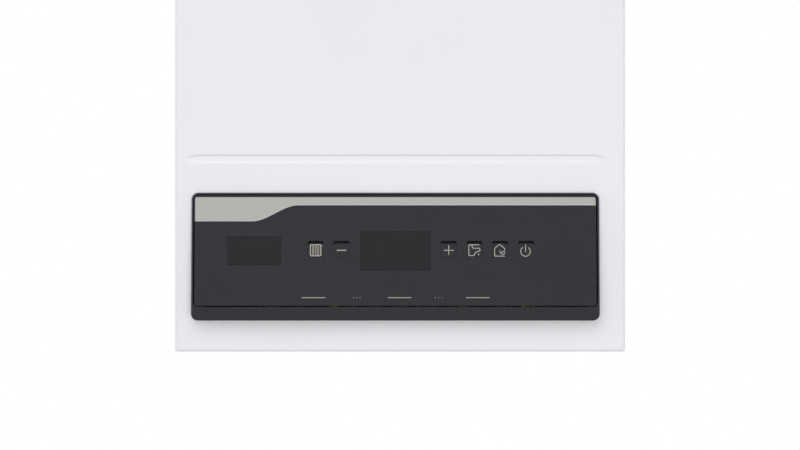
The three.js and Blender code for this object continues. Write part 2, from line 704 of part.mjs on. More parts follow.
// the groove's pointed outline, grown all round
function grooveShape(grow) {
  const half = GROOVE_LENGTH / 2 + grow;
  const rise = GROOVE_HEIGHT / 2 + grow;
  return outline([
    [-half, GROOVE_CENTRE],
    [-half + GROOVE_TAPER, GROOVE_CENTRE - rise],
    [half - GROOVE_TAPER, GROOVE_CENTRE - rise],
    [half, GROOVE_CENTRE],
    [half - GROOVE_TAPER, GROOVE_CENTRE + rise],
    [-half + GROOVE_TAPER, GROOVE_CENTRE + rise],
  ]);
}

// a block whose front edges are rounded, open to whatever is cut from it
function roundedFront(half, top, bottom, front, back, radius) {
  const section = new THREE.Shape();
  section.moveTo(-half, back);
  section.lineTo(-half, front + radius);
  section.absarc(-half + radius, front + radius, radius, Math.PI, 1.5 * Math.PI);
  section.lineTo(half - radius, front);
  section.absarc(half - radius, front + radius, radius, -Math.PI / 2, 0);
  section.lineTo(half, back);
  const plan = slab('z', section, bottom, top, 3);
  const side = new THREE.Shape();
  side.moveTo(back, bottom);
  side.lineTo(back, top);
  side.lineTo(front + radius, top);
  side.absarc(front + radius, top - radius, radius, Math.PI / 2, Math.PI);
  side.lineTo(front, bottom + radius);
  side.absarc(front + radius, bottom + radius, radius, Math.PI, 1.5 * Math.PI);
  return common(plan, slab('x', side, -half, half, 3));
}

function makeFrontCover() {
  const front = -CASE_DEPTH;
  const outer = roundedFront(HALF_WIDTH, CASE_HEIGHT, 0, front, SEAM_Y, COVER_EDGE_RADIUS);
  const hollow = block(-INNER_HALF, INNER_HALF, front + SHEET, SEAM_Y + 1, SHEET, CASE_TOP_INSIDE);
  const hem = block(-INNER_HALF, INNER_HALF, front + COVER_HEM_SETBACK, SEAM_Y + 1, -1, SHEET);
  const grooveBump = slab('y', grooveShape(SHEET), front + SHEET, front + GROOVE_DEPTH + SHEET);
  const groove = slab('y', grooveShape(0), front - 1, front + GROOVE_DEPTH);
  grooveBump.translate(PANEL_OFFSET, 0, 0);
  groove.translate(PANEL_OFFSET, 0, 0);
  const opening = block(PANEL_OFFSET - OPENING_HALF, PANEL_OFFSET + OPENING_HALF,
    front - 1, front + 2 * SHEET, OPENING_BOTTOM - CHIN_DROP, OPENING_TOP);
  const pieces = [grooveBump];
  const cuts = [groove, opening];
  for (const side of [-1, 1]) {
    const x = side * FOOT_X;
    pieces.push(block(x - TAB_WIDTH / 2, x + TAB_WIDTH / 2, front + SHEET,
      COVER_SCREW_Y + TAB_WIDTH / 2, FOOT_Z - SHEET, FOOT_Z));
    cuts.push(block(x - COVER_SCREW_RADIUS - SEAT_GAP, x + COVER_SCREW_RADIUS + SEAT_GAP,
      COVER_SCREW_Y - COVER_SCREW_RADIUS - SEAT_GAP, COVER_SCREW_Y + TAB_WIDTH,
      FOOT_Z - 2 * SHEET, FOOT_Z + SHEET));
  }
  const cover = cut(join(cut(outer, hollow, hem), ...pieces), ...cuts);
  add(boiler, 'front_cover', cover, WHITE_ENAMEL);
}

// --------------------------------------------------- panel frame and fascia

// everything in front of the tilted plane that lies `sink` behind the frame's face
function aheadOfPanel(sink) {
  const reach = 3 * FRAME_HEIGHT;
  const ahead = block(-FRAME_WIDTH, FRAME_WIDTH, -reach, 0, -reach, reach);
  ahead.rotateX(-TILT);
  return ahead.translate(0, -CASE_DEPTH - FRAME_TOP_PROUD + sink, FRAME_TOP);
}

function makePanelFrame() {
  const front = -CASE_DEPTH - FRAME_BOTTOM_PROUD - 1;
  const outer = slab('y', roundRect(-FRAME_WIDTH / 2, FRAME_WIDTH / 2, FRAME_BOTTOM, FRAME_TOP,
    FRAME_CORNER_RADIUS), front, -CASE_DEPTH);
  const lowest = OPENING_BOTTOM - CHIN_DROP;
  const chinFront = OPENING_BOTTOM + CHIN_DROP / FRAME_BOTTOM_PROUD;
  const drafted = slab('x', outline([
    [-CASE_DEPTH + 1, lowest],
    [front, chinFront],
    [front, OPENING_TOP],
    [-CASE_DEPTH + 1, OPENING_TOP],
  ]), -OPENING_HALF, OPENING_HALF);
  const window = slab('y', roundRect(-OPENING_HALF, OPENING_HALF, lowest, OPENING_TOP,
    FRAME_CORNER_RADIUS - FRAME_RIM), front - 1, -CASE_DEPTH + 1);
  const pocketHalf = FRAME_WIDTH / 2 - FRAME_CORNER_RADIUS;
  const pocket = block(-pocketHalf, pocketHalf, front + 3 * CHIN_WALL, -CASE_DEPTH + 1,
    FRAME_BOTTOM + CHIN_WALL, lowest - CHIN_WALL);
  const frame = cut(outer, aheadOfPanel(0), common(drafted, window), pocket);
  add(panel, 'panel_frame', frame, DARK_PLASTIC);
}

// the tilted frame of reference: the fascia's face is its plane y = 0, and its
// middle is the origin
const tilted = new THREE.Group();
tilted.position.set(0, -CASE_DEPTH - FRAME_TOP_PROUD + FASCIA_SINK
  - (FRAME_TOP - FASCIA_MIDDLE) * Math.tan(TILT), FASCIA_MIDDLE);
tilted.rotation.x = -TILT;
panel.add(tilted);

// the silver strip's outline: deep on the left, an S-step, shallow on the right
function stripShape(grow) {
  const left = -FASCIA_HALF - grow;
  const right = FASCIA_HALF + grow;
  const top = FASCIA_TOP + grow;
  const low = FASCIA_TOP - STRIP_LEFT_HEIGHT - grow;
  const high = FASCIA_TOP - STRIP_RIGHT_HEIGHT - grow;
  const start = -FASCIA_HALF + STRIP_STEP_START;
  const end = start + STRIP_STEP_LENGTH;
  const middle = (start + end) / 2;
  const shape = new THREE.Shape();
  shape.moveTo(left, low);
  shape.lineTo(start, low);
  shape.bezierCurveTo(middle, low, middle, high, end, high);
  shape.lineTo(right, high);
  shape.lineTo(right, top);
  shape.lineTo(left, top);
  return shape;
}

function windowBox(x, width, height, grow, front, back) {
  return block(x - width / 2 - grow, x + width / 2 + grow, front, back,
    -height / 2 - grow, height / 2 + grow);
}

function makeFascia() {
  const face = roundRect(-FASCIA_HALF, FASCIA_HALF, -FASCIA_TOP, FASCIA_TOP, FASCIA_CORNER_RADIUS);
  const plate = slab('y', face, 0, FASCIA_THICKNESS);
  const recess = STRIP_THICKNESS - STRIP_PROUD + SEAT_GAP;
  const cuts = [slab('y', stripShape(SEAT_GAP), -1, recess, 10)];
  cuts.push(windowBox(SMALL_WINDOW_X, SMALL_WINDOW_WIDTH, SMALL_WINDOW_HEIGHT, SEAT_GAP,
    -1, FASCIA_THICKNESS + 1));
  cuts.push(windowBox(0, LARGE_WINDOW_WIDTH, LARGE_WINDOW_HEIGHT, SEAT_GAP,
    -1, FASCIA_THICKNESS + 1));
  for (const x of KEY_CENTRES) {
    cuts.push(block(x - KEY_WIDTH / 2 - KEY_GAP, x + KEY_WIDTH / 2 + KEY_GAP,
      -1, FASCIA_THICKNESS + 1, KEY_BOTTOM - KEY_GAP, KEY_BOTTOM + KEY_HEIGHT + KEY_SLOT));
  }
  const bossEnd = BOARD_DEPTH - SEAT_GAP;
  const bosses = [];
  for (const share of BOSS_SHARES) {
    for (const side of [-1, 1]) {
      bosses.push(rod('y', BOSS_RADIUS, FASCIA_THICKNESS, bossEnd,
        share * FASCIA_HALF, side * BOSS_RISE, 10));
    }
  }
  add(tilted, 'fascia_plate', cut(join(plate, ...bosses), ...cuts), FASCIA_PLASTIC);
}

function makeSilverStrip() {
  const rear = STRIP_THICKNESS - STRIP_PROUD;
  const plate = slab('y', stripShape(0), -STRIP_PROUD, rear, 10);
  const ends = slab('y', roundRect(-FASCIA_HALF, FASCIA_HALF, -FASCIA_TOP, FASCIA_TOP,
    FASCIA_CORNER_RADIUS), -2 * STRIP_THICKNESS, 2 * STRIP_THICKNESS);
  add(tilted, 'silver_strip', common(plate, ends), SILVER_LACQUER);
}

function makeWindows() {
  add(tilted, 'window_small', windowBox(SMALL_WINDOW_X, SMALL_WINDOW_WIDTH, SMALL_WINDOW_HEIGHT,
    0, 0, WINDOW_THICKNESS), SMOKED_WINDOW);
  add(tilted, 'window_large', windowBox(0, LARGE_WINDOW_WIDTH, LARGE_WINDOW_HEIGHT,
    0, 0, WINDOW_THICKNESS), SMOKED_WINDOW);
}

function makeKeys() {
  KEY_CENTRES.forEach((x, index) => {
    const cap = block(x - KEY_WIDTH / 2, x + KEY_WIDTH / 2, 0, FASCIA_THICKNESS,
      KEY_BOTTOM, KEY_BOTTOM + KEY_HEIGHT);
    const postEnd = BOARD_DEPTH - SWITCH_HEIGHT - KEY_PRESS_ROOM;
    const post = rod('y', KEY_POST_RADIUS, FASCIA_THICKNESS - 1, postEnd,
      x, KEY_BOTTOM + KEY_POST_HEIGHT, 10);
    add(tilted, `key_${KEY_NAMES[index]}`, join(cap, post), FASCIA_PLASTIC);
  });
}

// the board behind the fascia, with its two digit modules and six switches
function makeDisplayBoard() {
  const half = FASCIA_HALF - BOARD_MARGIN;
  const board = block(-half, half, BOARD_DEPTH, BOARD_DEPTH + BOARD_SHEET,
    -BOSS_RISE - BOARD_EDGE, BOSS_RISE + BOARD_EDGE);
  const moduleFront = FASCIA_THICKNESS + SEAT_GAP;
  const parts = [
    windowBox(SMALL_WINDOW_X, SMALL_WINDOW_WIDTH - 2 * MODULE_SIDE,
      SMALL_WINDOW_HEIGHT - 2 * MODULE_EDGE, 0, moduleFront, BOARD_DEPTH),
    windowBox(0, LARGE_WINDOW_WIDTH - 2 * MODULE_SIDE,
      LARGE_WINDOW_HEIGHT - 2 * MODULE_EDGE, 0, moduleFront, BOARD_DEPTH),
  ];
  for (const x of KEY_CENTRES) {
    const z = KEY_BOTTOM + KEY_POST_HEIGHT;
    parts.push(block(x - SWITCH_SIDE / 2, x + SWITCH_SIDE / 2, BOARD_DEPTH - SWITCH_HEIGHT,
      BOARD_DEPTH, z - SWITCH_SIDE / 2, z + SWITCH_SIDE / 2));
  }
  add(tilted, 'display_board', join(board, ...parts), CIRCUIT_BOARD);
}

// ------------------------------------------------------------- control box

function makeControlBox() {
  const half = BOX_HALF;
  const front = -CASE_DEPTH - FRAME_BOTTOM_PROUD;
  const outer = block(-half, half, front, BOX_BACK, BOX_BOTTOM, BOX_TOP);
  const hollow = block(-half + BOX_WALL, half - BOX_WALL, front - 1, BOX_BACK - BOX_WALL,
    BOX_BOTTOM + BOX_WALL, BOX_TOP - BOX_WALL);
  const pieces = [];
  for (const side of [-1, 1]) {
    const wall = side * (half - BOX_WALL);
    const lug = side * (half + PIVOT_LUG);
    const pin = side * (half + PIVOT_LUG + RUNNING_GAP + PIVOT_EAR);
    pieces.push(rod('x', PIVOT_BOSS, Math.min(wall, lug), Math.max(wall, lug),
      PIVOT_Y, PIVOT_Z, 16));
    pieces.push(block(Math.min(wall, side * half), Math.max(wall, side * half),
      PIVOT_Y - PIVOT_BOSS, PIVOT_Y + PIVOT_BOSS, PIVOT_Z, BOX_BOTTOM));
    pieces.push(rod('x', PIVOT_RADIUS, Math.min(lug, pin), Math.max(lug, pin),
      PIVOT_Y, PIVOT_Z, 16));
  }
  const boardFace = BOX_BACK - BOX_WALL;
  const postX = MAIN_BOARD_HALF - POST_INSET;
  for (const x of [-postX, 0, postX]) {
    for (const z of [BOX_BOTTOM + POST_EDGE, BOX_TOP - POST_EDGE]) {
      pieces.push(rod('y', POST_RADIUS, boardFace - MAIN_BOARD_STANDOFF, boardFace, x, z, 10));
    }
  }
  const sink = FASCIA_SINK + FASCIA_THICKNESS / Math.cos(TILT) + SEAT_GAP;
  const shell = cut(join(cut(outer, hollow), ...pieces), aheadOfPanel(sink));
  add(panel, 'control_box_shell', shell, GREY_PLASTIC);
}

// the main board stands on its posts, parts facing forward
function makeMainBoard() {
  const back = BOX_BACK - BOX_WALL - MAIN_BOARD_STANDOFF;
  const face = back - BOARD_SHEET;
  const middle = (BOX_BOTTOM + BOX_TOP) / 2;
  const board = block(-MAIN_BOARD_HALF, MAIN_BOARD_HALF, face, back,
    middle - MAIN_BOARD_HEIGHT / 2, middle + MAIN_BOARD_HEIGHT / 2);
  const pitch = MAIN_BOARD_HALF / 7;
  const part = (x, z, width, height, depth) => block(x - width / 2, x + width / 2,
    face - depth, face, z - height / 2, z + height / 2);
  const parts = [part(-5 * pitch, middle, TRANSFORMER_WIDTH, TRANSFORMER_WIDTH, TRANSFORMER_DEPTH)];
  const low = middle - MAIN_BOARD_HEIGHT / 4;
  const high = middle + MAIN_BOARD_HEIGHT / 4;
  const edge = middle + MAIN_BOARD_HEIGHT / 2 - SOCKET_HEIGHT;
  for (const step of [0, 1, 2, 3]) {
    parts.push(part((step - 2.5) * pitch, low, RELAY_WIDTH, RELAY_HEIGHT, RELAY_DEPTH));
    parts.push(rod('y', CAPACITOR_RADIUS, face - CAPACITOR_DEPTH, face,
      (step - 2.5) * pitch, high, 12));
    parts.push(part((step * 1.2 + 2.2) * pitch, edge, SOCKET_WIDTH, SOCKET_HEIGHT, SOCKET_DEPTH));
  }
  add(panel, 'main_board', join(board, ...parts), CIRCUIT_BOARD);
}

// --------------------------------------------------------- fan and flue

function makeFlueCollar() {
  const base = CASE_HEIGHT;
  const flange = rod('z', FLUE_FLANGE_RADIUS, base, base + FLUE_FLANGE, 0, FAN_MIDDLE, 28);
  const outer = rod('z', FLUE_OUTER_RADIUS, base, base + FLUE_HEIGHT, 0, FAN_MIDDLE, 28);
  const bore = rod('z', FLUE_OUTER_RADIUS - FLUE_WALL, base - 1, base + FLUE_HEIGHT + 1,
    0, FAN_MIDDLE, 28);
  const inner = rod('z', FLUE_INNER_RADIUS, CASE_TOP_INSIDE - FLUE_DIP, base + FLUE_HEIGHT,
    0, FAN_MIDDLE, 28);
  const innerBore = rod('z', FLUE_INNER_RADIUS - FLUE_WALL, CASE_TOP_INSIDE - FLUE_DIP - 1,
    base + FLUE_HEIGHT + 1, 0, FAN_MIDDLE, 28);
  const spokes = [0, 1, 2].map((third) => {
    const vane = block(FLUE_INNER_RADIUS - SHEET, FLUE_OUTER_RADIUS - SHEET / 2,
      -SHEET, SHEET, base, base + VANE_HEIGHT);
    return vane.rotateZ((2 * Math.PI * third) / 3 + Math.PI / 6).translate(0, FAN_MIDDLE, 0);
  });
  const tubes = join(cut(join(flange, outer), bore), inner, ...spokes);
  add(boiler, 'flue_collar', cut(tubes, innerBore), WHITE_ENAMEL);
}

function makeFanHousing() {
  const drum = rod('y', FAN_OUTER_RADIUS, FAN_FRONT, FAN_BACK, 0, FAN_CENTRE, 28);
  const outlet = rod('z', FLUE_INNER_RADIUS - FLUE_WALL - SEAT_GAP, FAN_CENTRE + FAN_OUTER_RADIUS / 2,
    CASE_TOP_INSIDE, 0, FAN_MIDDLE, 28);
  const neck = block(-FAN_NECK, FAN_NECK, FAN_FRONT, FAN_BACK, FAN_CENTRE + FAN_OUTER_RADIUS / 2,
    FAN_CENTRE + FAN_OUTER_RADIUS);
  const cavity = rod('y', FAN_OUTER_RADIUS - FAN_WALL, FAN_FRONT + FAN_WALL, FAN_BACK - FAN_WALL,
    0, FAN_CENTRE, 28);
  const throat = rod('z', FLUE_INNER_RADIUS - 2 * FLUE_WALL - SEAT_GAP,
    FAN_CENTRE + FAN_OUTER_RADIUS / 2 + 1, CASE_HEIGHT, 0, FAN_MIDDLE, 28);
  const inlet = rod('y', FAN_INLET_RADIUS, FAN_BACK - 2 * FAN_WALL, FAN_BACK + 1, 0, FAN_CENTRE, 28);
  const shaftHole = rod('y', SHAFT_RADIUS + RUNNING_GAP, FAN_FRONT - 1, FAN_FRONT + 2 * FAN_WALL,
    0, FAN_CENTRE, 14);
  const housing = cut(join(drum, neck, outlet), cavity, throat, inlet, shaftHole);
  add(boiler, 'fan_housing', housing, ZINC_SHEET);
}

function makeFanMotor() {
  const rear = FAN_FRONT;
  const front = rear - FAN_MOTOR_LENGTH;
  const can = turned('y', [
    [0, front],
    [FAN_MOTOR_RADIUS * 0.8, front],
    [FAN_MOTOR_RADIUS, front + FAN_MOTOR_CHAMFER],
    [FAN_MOTOR_RADIUS, rear - 1.5 * FAN_MOTOR_CHAMFER],
    [FAN_MOTOR_RADIUS * 1.2, rear - FAN_MOTOR_CHAMFER],
    [FAN_MOTOR_RADIUS * 1.2, rear],
    [0, rear],
  ], 0, FAN_CENTRE, 28);
  const bore = rod('y', SHAFT_RADIUS + RUNNING_GAP, rear - SHAFT_DEPTH, rear + 1,
    0, FAN_CENTRE, 14);
  add(boiler, 'fan_motor', cut(can, bore), BLACK_PLASTIC);
}

// a wheel of straight blades between a back disc and a ring, on its shaft
function wheel(radius, width, middle, shaftEnd, blades, centre) {
  const [x, z] = centre;
  const low = middle - width / 2;
  const disc = rod('y', radius, low, low + 2, x, z, 28);
  const ring = cut(rod('y', radius, low + width - 2, low + width, x, z, 28),
    rod('y', radius * 0.6, low + width - 3, low + width + 1, x, z, 28));
  const hub = rod('y', radius * 0.2, low, low + width * 0.7, x, z, 14);
  const shaft = rod('y', SHAFT_RADIUS, shaftEnd, low + 1, x, z, 14);
  const vanes = [];
  for (let i = 0; i < blades; i += 1) {
    const vane = block(radius * 0.62, radius - 1, low, low + width, -0.8, 0.8);
    vane.rotateY((2 * Math.PI * i) / blades);
    vanes.push(vane.translate(x, 0, z));
  }
  return join(disc, ring, hub, shaft, ...vanes);
}

function makeFanImpeller() {
  const shaftEnd = FAN_FRONT - SHAFT_DEPTH + 2;
  const geometry = wheel(FAN_WHEEL_RADIUS, FAN_WHEEL_WIDTH, FAN_MIDDLE, shaftEnd, FAN_BLADES,
    [0, FAN_CENTRE]);
  add(boiler, 'fan_impeller', geometry, STEEL);
}

function makeFlueHood() {
  const half = STACK_HALF - STACK_MARGIN;
  const back = STACK_BACK - STACK_MARGIN;
  const front = STACK_FRONT + STACK_MARGIN;
  const section = (grow) => outline([
    [back - grow, EXCHANGER_TOP - (grow > 0 ? 1 : 0)],
    [back - grow, FAN_CENTRE + FAN_INLET_RADIUS + HOOD_RIM - grow],
    [FAN_BACK + grow, FAN_CENTRE + FAN_INLET_RADIUS + HOOD_RIM - grow],
    [FAN_BACK + grow, HOOD_TOP - grow],
    [front + HOOD_SLOPE, HOOD_TOP - grow],
    [front + grow, EXCHANGER_TOP + HOOD_LIP],
    [front + grow, EXCHANGER_TOP - (grow > 0 ? 1 : 0)],
  ]);
  const shell = slab('x', section(0), -half, half);
  const hollow = slab('x', section(STACK_SHEET), -half + STACK_SHEET, half - STACK_SHEET);
  const inlet = rod('y', FAN_INLET_RADIUS, FAN_BACK - 1, FAN_BACK + 2 * STACK_SHEET,
    0, FAN_CENTRE, 28);
  const shoulders = [-1, 1].map((side) => block(
    Math.min(side * HOOD_NECK, side * (half + 1)), Math.max(side * HOOD_NECK, side * (half + 1)),
    FAN_BACK - 1, back + 1, HOOD_TOP, CASE_HEIGHT,
  ));
  const ends = [-1, 1].map((side) => block(
    Math.min(side * (HOOD_NECK - STACK_SHEET), side * HOOD_NECK),
    Math.max(side * (HOOD_NECK - STACK_SHEET), side * HOOD_NECK),
    FAN_BACK, back, HOOD_TOP - STACK_SHEET, FAN_CENTRE + FAN_INLET_RADIUS + HOOD_RIM,
  ));
  const lids = [-1, 1].map((side) => block(
    Math.min(side * (HOOD_NECK - STACK_SHEET), side * half),
    Math.max(side * (HOOD_NECK - STACK_SHEET), side * half),
    FAN_BACK, back, HOOD_TOP - STACK_SHEET, HOOD_TOP,
  ));
  const hood = join(cut(shell, hollow, inlet, ...shoulders), ...ends, ...lids);
  add(boiler, 'flue_hood', hood, ZINC_SHEET);
}

function makePressureSwitch() {
  const y = FAN_MIDDLE - SWITCH_SETBACK;
  const z = FAN_CENTRE - SWITCH_DROP;
  const face = INNER_HALF - SWITCH_DEPTH;
  const body = rod('x', SWITCH_RADIUS, face, INNER_HALF, y, z, 24);
  const cap = rod('x', SWITCH_CAP_RADIUS, face - SWITCH_CAP_DEPTH, face + SHEET, y, z, 18);
  const nipples = [-1, 1].map((side) => rod('x', NIPPLE_RADIUS, face - 2 * SWITCH_CAP_DEPTH,
    face - SWITCH_CAP_DEPTH + SHEET, y + side * NIPPLE_SPREAD, z, 8));
  add(boiler, 'air_pressure_switch', join(body, cap, ...nipples), GREY_PLASTIC);
}

// ------------------------------------------------------ combustion stack

// a sheet box, open at the top and, where wanted, at the bottom
function sheetBox(half, back, front, bottom, top, floor) {
  return cut(block(-half, half, front, back, bottom, top),
    block(-half + STACK_SHEET, half - STACK_SHEET, front + STACK_SHEET, back - STACK_SHEET,
      bottom + floor, top + 1));
}

function makeFirebox() {
  const box = sheetBox(STACK_HALF, STACK_BACK, STACK_FRONT, BURNER_TOP, FIREBOX_TOP, -1);
  const plug = rod('y', PLUG_RADIUS + SEAT_GAP, STACK_FRONT - 1, STACK_FRONT + 2 * STACK_SHEET,
    PLUG_X, PLUG_Z, 14);
  add(boiler, 'firebox', cut(box, plug), ZINC_SHEET);
}

function makeIgnitionElectrode() {
  const flange = block(PLUG_X - PLUG_FLANGE_WIDTH / 2, PLUG_X + PLUG_FLANGE_WIDTH / 2,
    STACK_FRONT - 2 * SHEET, STACK_FRONT,
    PLUG_Z - PLUG_FLANGE_HEIGHT / 2, PLUG_Z + PLUG_FLANGE_HEIGHT / 2);
  const ceramic = rod('y', PLUG_RADIUS, STACK_FRONT - PLUG_LENGTH / 2,
    STACK_FRONT + PLUG_LENGTH / 2, PLUG_X, PLUG_Z, 12);
  const wire = rod('y', SPARK_ROD_RADIUS, STACK_FRONT - PLUG_LENGTH / 2 - PLUG_RADIUS,
    STACK_FRONT + SPARK_ROD_REACH, PLUG_X, PLUG_Z, 8);
  add(boiler, 'ignition_electrode', join(flange, ceramic, wire), CERAMIC);
}

function makeHeatExchanger() {
  const half = STACK_HALF - STACK_MARGIN;
  const back = STACK_BACK - STACK_MARGIN;
  const front = STACK_FRONT + STACK_MARGIN;
  const core = block(-half, half, front, back, FIREBOX_TOP, EXCHANGER_TOP);
  const pitch = (2 * half) / FIN_COUNT;
  const gaps = [];
  for (let i = 0; i < FIN_COUNT; i += 1) {
    const left = -half + i * pitch + FIN_THICKNESS / 2;
    gaps.push(block(left, left + pitch - FIN_THICKNESS, front + 2 * STACK_SHEET,
      back - 2 * STACK_SHEET, FIREBOX_TOP - 1, EXCHANGER_TOP + 1));
  }
  const tubeZ = (FIREBOX_TOP + EXCHANGER_TOP) / 2;
  const ports = [-1, 1].map((side) => block(
    Math.min(side * half, side * (half + HEADER_WIDTH)),
    Math.max(side * half, side * (half + HEADER_WIDTH)),
    front + HEADER_WIDTH, back - HEADER_WIDTH, tubeZ - HEADER_WIDTH, tubeZ + HEADER_WIDTH,
  ));
  const span = back - front - 2 * WATER_TUBE_INSET;
  const tubes = [0, 1, 2].map((row) => rod('x', WATER_TUBE_RADIUS, -half, half,
    back - WATER_TUBE_INSET - (row * span) / 2, tubeZ, 6));
  const body = join(cut(core, ...gaps), ...ports, ...tubes);
  add(boiler, 'heat_exchanger', body, COPPER);
}

function makeBurnerTray() {
  const tray = sheetBox(STACK_HALF, STACK_BACK, STACK_FRONT, BURNER_BOTTOM, BURNER_TOP, STACK_SHEET);
  const slots = [];
  for (let i = 0; i < BAR_COUNT; i += 1) {
    const x = (i - (BAR_COUNT - 1) / 2) * BAR_PITCH;
    slots.push(block(x - SLOT_HALF, x + SLOT_HALF, STACK_FRONT - 1,
      STACK_FRONT + 2 * STACK_SHEET, MANIFOLD_Z - SLOT_HALF, MANIFOLD_Z + SLOT_HALF));
  }
  add(boiler, 'burner_tray', cut(tray, ...slots), ZINC_SHEET);
}

// a row of burner bars carried by two cross rails between the tray's walls
function makeBurnerBars() {
  const front = STACK_FRONT + STACK_SHEET + BAR_END_GAP;
  const back = STACK_BACK - STACK_SHEET - BAR_END_GAP;
  const top = BURNER_TOP - BAR_DROP;
  const bars = [];
  for (let i = 0; i < BAR_COUNT; i += 1) {
    const x = (i - (BAR_COUNT - 1) / 2) * BAR_PITCH;
    bars.push(block(x - BAR_WIDTH / 2, x + BAR_WIDTH / 2, front, back, top - BAR_HEIGHT, top));
  }
  const reach = STACK_HALF - STACK_SHEET;
  const railTop = top - BAR_HEIGHT + SHEET;
  for (const y of [front + RAIL_INSET, back - RAIL_INSET]) {
    bars.push(block(-reach, reach, y - CROSS_RAIL_HALF, y + CROSS_RAIL_HALF,
      railTop - CROSS_RAIL_HALF, railTop));
  }
  add(boiler, 'burner_bars', join(...bars), STEEL);
}

function makeGasManifold() {
  const half = (BAR_COUNT * BAR_PITCH) / 2;
  const parts = [];
  for (let i = 0; i < BAR_COUNT; i += 1) {
    const x = (i - (BAR_COUNT - 1) / 2) * BAR_PITCH;
    parts.push(rod('y', NOZZLE_RADIUS, MANIFOLD_Y, STACK_FRONT + NOZZLE_REACH,
      x, MANIFOLD_Z, 8));
  }
  for (const side of [-1, 1]) {
    parts.push(block(side * half - MANIFOLD_END_WIDTH / 2, side * half + MANIFOLD_END_WIDTH / 2,
      MANIFOLD_Y, STACK_FRONT, MANIFOLD_Z - MANIFOLD_END_HEIGHT / 2,
      MANIFOLD_Z + MANIFOLD_END_HEIGHT / 2));
    parts.push(rod('z', COIL_RADIUS, MANIFOLD_Z - COIL_HEIGHT, MANIFOLD_Z,
      side * COIL_X, MANIFOLD_Y, 18));
  }
  const bar = rod('x', MANIFOLD_RADIUS, -half, half, MANIFOLD_Y, MANIFOLD_Z, 16);
  add(boiler, 'gas_manifold', join(bar, ...parts), CAST_ALUMINIUM);
}

// -------------------------------------------------------------- gas line

function makeGasValve() {
  const bottom = GAS_VALVE_BOTTOM;
  const top = bottom + GAS_VALVE_HEIGHT;
  const half = GAS_VALVE_WIDTH / 2;
  const face = GAS_Y - GAS_VALVE_DEPTH / 2;
  const rear = GAS_Y + GAS_VALVE_DEPTH / 2;
  const body = block(GAS_X - half, GAS_X + half, face, rear, bottom, top);
  const coils = [-1, 1].map((side) => rod('y', GAS_COIL_RADIUS, face - GAS_COIL_REACH, face + 1,
    GAS_X + side * GAS_COIL_SHIFT, top - 1.5 * GAS_COIL_RADIUS, 18));
  const regulator = rod('y', REGULATOR_RADIUS, face - REGULATOR_REACH, face + 1,
    GAS_X, bottom + 1.5 * REGULATOR_RADIUS, 14);
  const bracket = block(GAS_X - half, GAS_X + half, rear, rear + GAS_BRACKET_SHEET,
    bottom, top + GAS_BRACKET_RISE);
  add(boiler, 'gas_valve', join(body, ...coils, regulator, bracket), CAST_ALUMINIUM);
}

function makeGasPipes() {
  const inlet = tube([
    [GAS_X, PIPE_Y, PIPE_STUB_END],
    [GAS_X, PIPE_Y, GAS_PIPE_RISE],
    [GAS_X, GAS_Y, GAS_PIPE_RISE],
    [GAS_X, GAS_Y, GAS_VALVE_BOTTOM - SEAT_GAP],
  ], PIPE_RADIUS);
  const stub = rod('z', PIPE_STUB_RADIUS, PIPE_STUB_END, SKIRT_HEIGHT, GAS_X, PIPE_Y, 20);
  const collar = rod('z', PIPE_STUB_RADIUS + STUB_COLLAR, BASE_TOP,
    BASE_TOP + STUB_COLLAR_HEIGHT, GAS_X, PIPE_Y, 20);
  const bore = rod('z', PIPE_STUB_BORE, PIPE_STUB_END - 1, SKIRT_HEIGHT - PIPE_STUB_BORE,
    GAS_X, PIPE_Y, 16);
  add(boiler, 'gas_inlet_pipe', cut(join(inlet, stub, collar), bore), BRASS);
  const supply = tube([
    [GAS_X, GAS_Y, GAS_VALVE_BOTTOM + GAS_VALVE_HEIGHT + SEAT_GAP],
    [GAS_X, GAS_Y, GAS_SUPPLY_RISE],
    [GAS_X, MANIFOLD_Y, GAS_SUPPLY_RISE],
    [GAS_X, MANIFOLD_Y, MANIFOLD_Z - MANIFOLD_RADIUS - SEAT_GAP],
  ], PIPE_RADIUS, PIPE_BEND * 0.8);
  add(boiler, 'gas_supply_pipe', supply, STEEL);
}

// -------------------------------------------------------------- water side

// a connection stub: pipe end below the base plate, running up into its block
function stubs(centres) {
  return centres.map((x) => rod('z', PIPE_STUB_RADIUS, PIPE_STUB_END, BLOCK_BOTTOM + 1,
    x, PIPE_Y, 20));
}

function stubBores(centres) {
  return centres.map((x) => rod('z', PIPE_STUB_BORE, PIPE_STUB_END - 1,
    BLOCK_BOTTOM + BORE_RISE, x, PIPE_Y, 16));
}

// feet that stand a block on the base plate
function blockFeet(side) {
  return [BLOCK_INNER + BLOCK_FOOT_INSET, BLOCK_OUTER - BLOCK_FOOT_INSET].map((x) => block(
    side * x - BLOCK_FOOT / 2, side * x + BLOCK_FOOT / 2,
    BLOCK_FRONT + BLOCK_FOOT, BLOCK_BACK - BLOCK_FOOT, BASE_TOP, BLOCK_BOTTOM));
}

function makeFlowBlock() {
  const centres = PIPE_CENTRES.slice(0, 2);
  const body = block(-BLOCK_OUTER, -BLOCK_INNER, BLOCK_FRONT, BLOCK_BACK, BLOCK_BOTTOM, BLOCK_TOP);
  const tower = rod('z', TOWER_RADIUS, BLOCK_TOP - 1, TOWER_TOP, TOWER_X, BLOCK_Y, 20);
  const bore = rod('z', SPINDLE_RADIUS + RUNNING_GAP, TOWER_TOP - SPINDLE_IN, TOWER_TOP + 1,
    TOWER_X, BLOCK_Y, 12);
  const flow = join(body, tower, ...stubs(centres), ...blockFeet(-1));
  add(boiler, 'flow_block', cut(flow, bore, ...stubBores(centres)), BRASS);
}

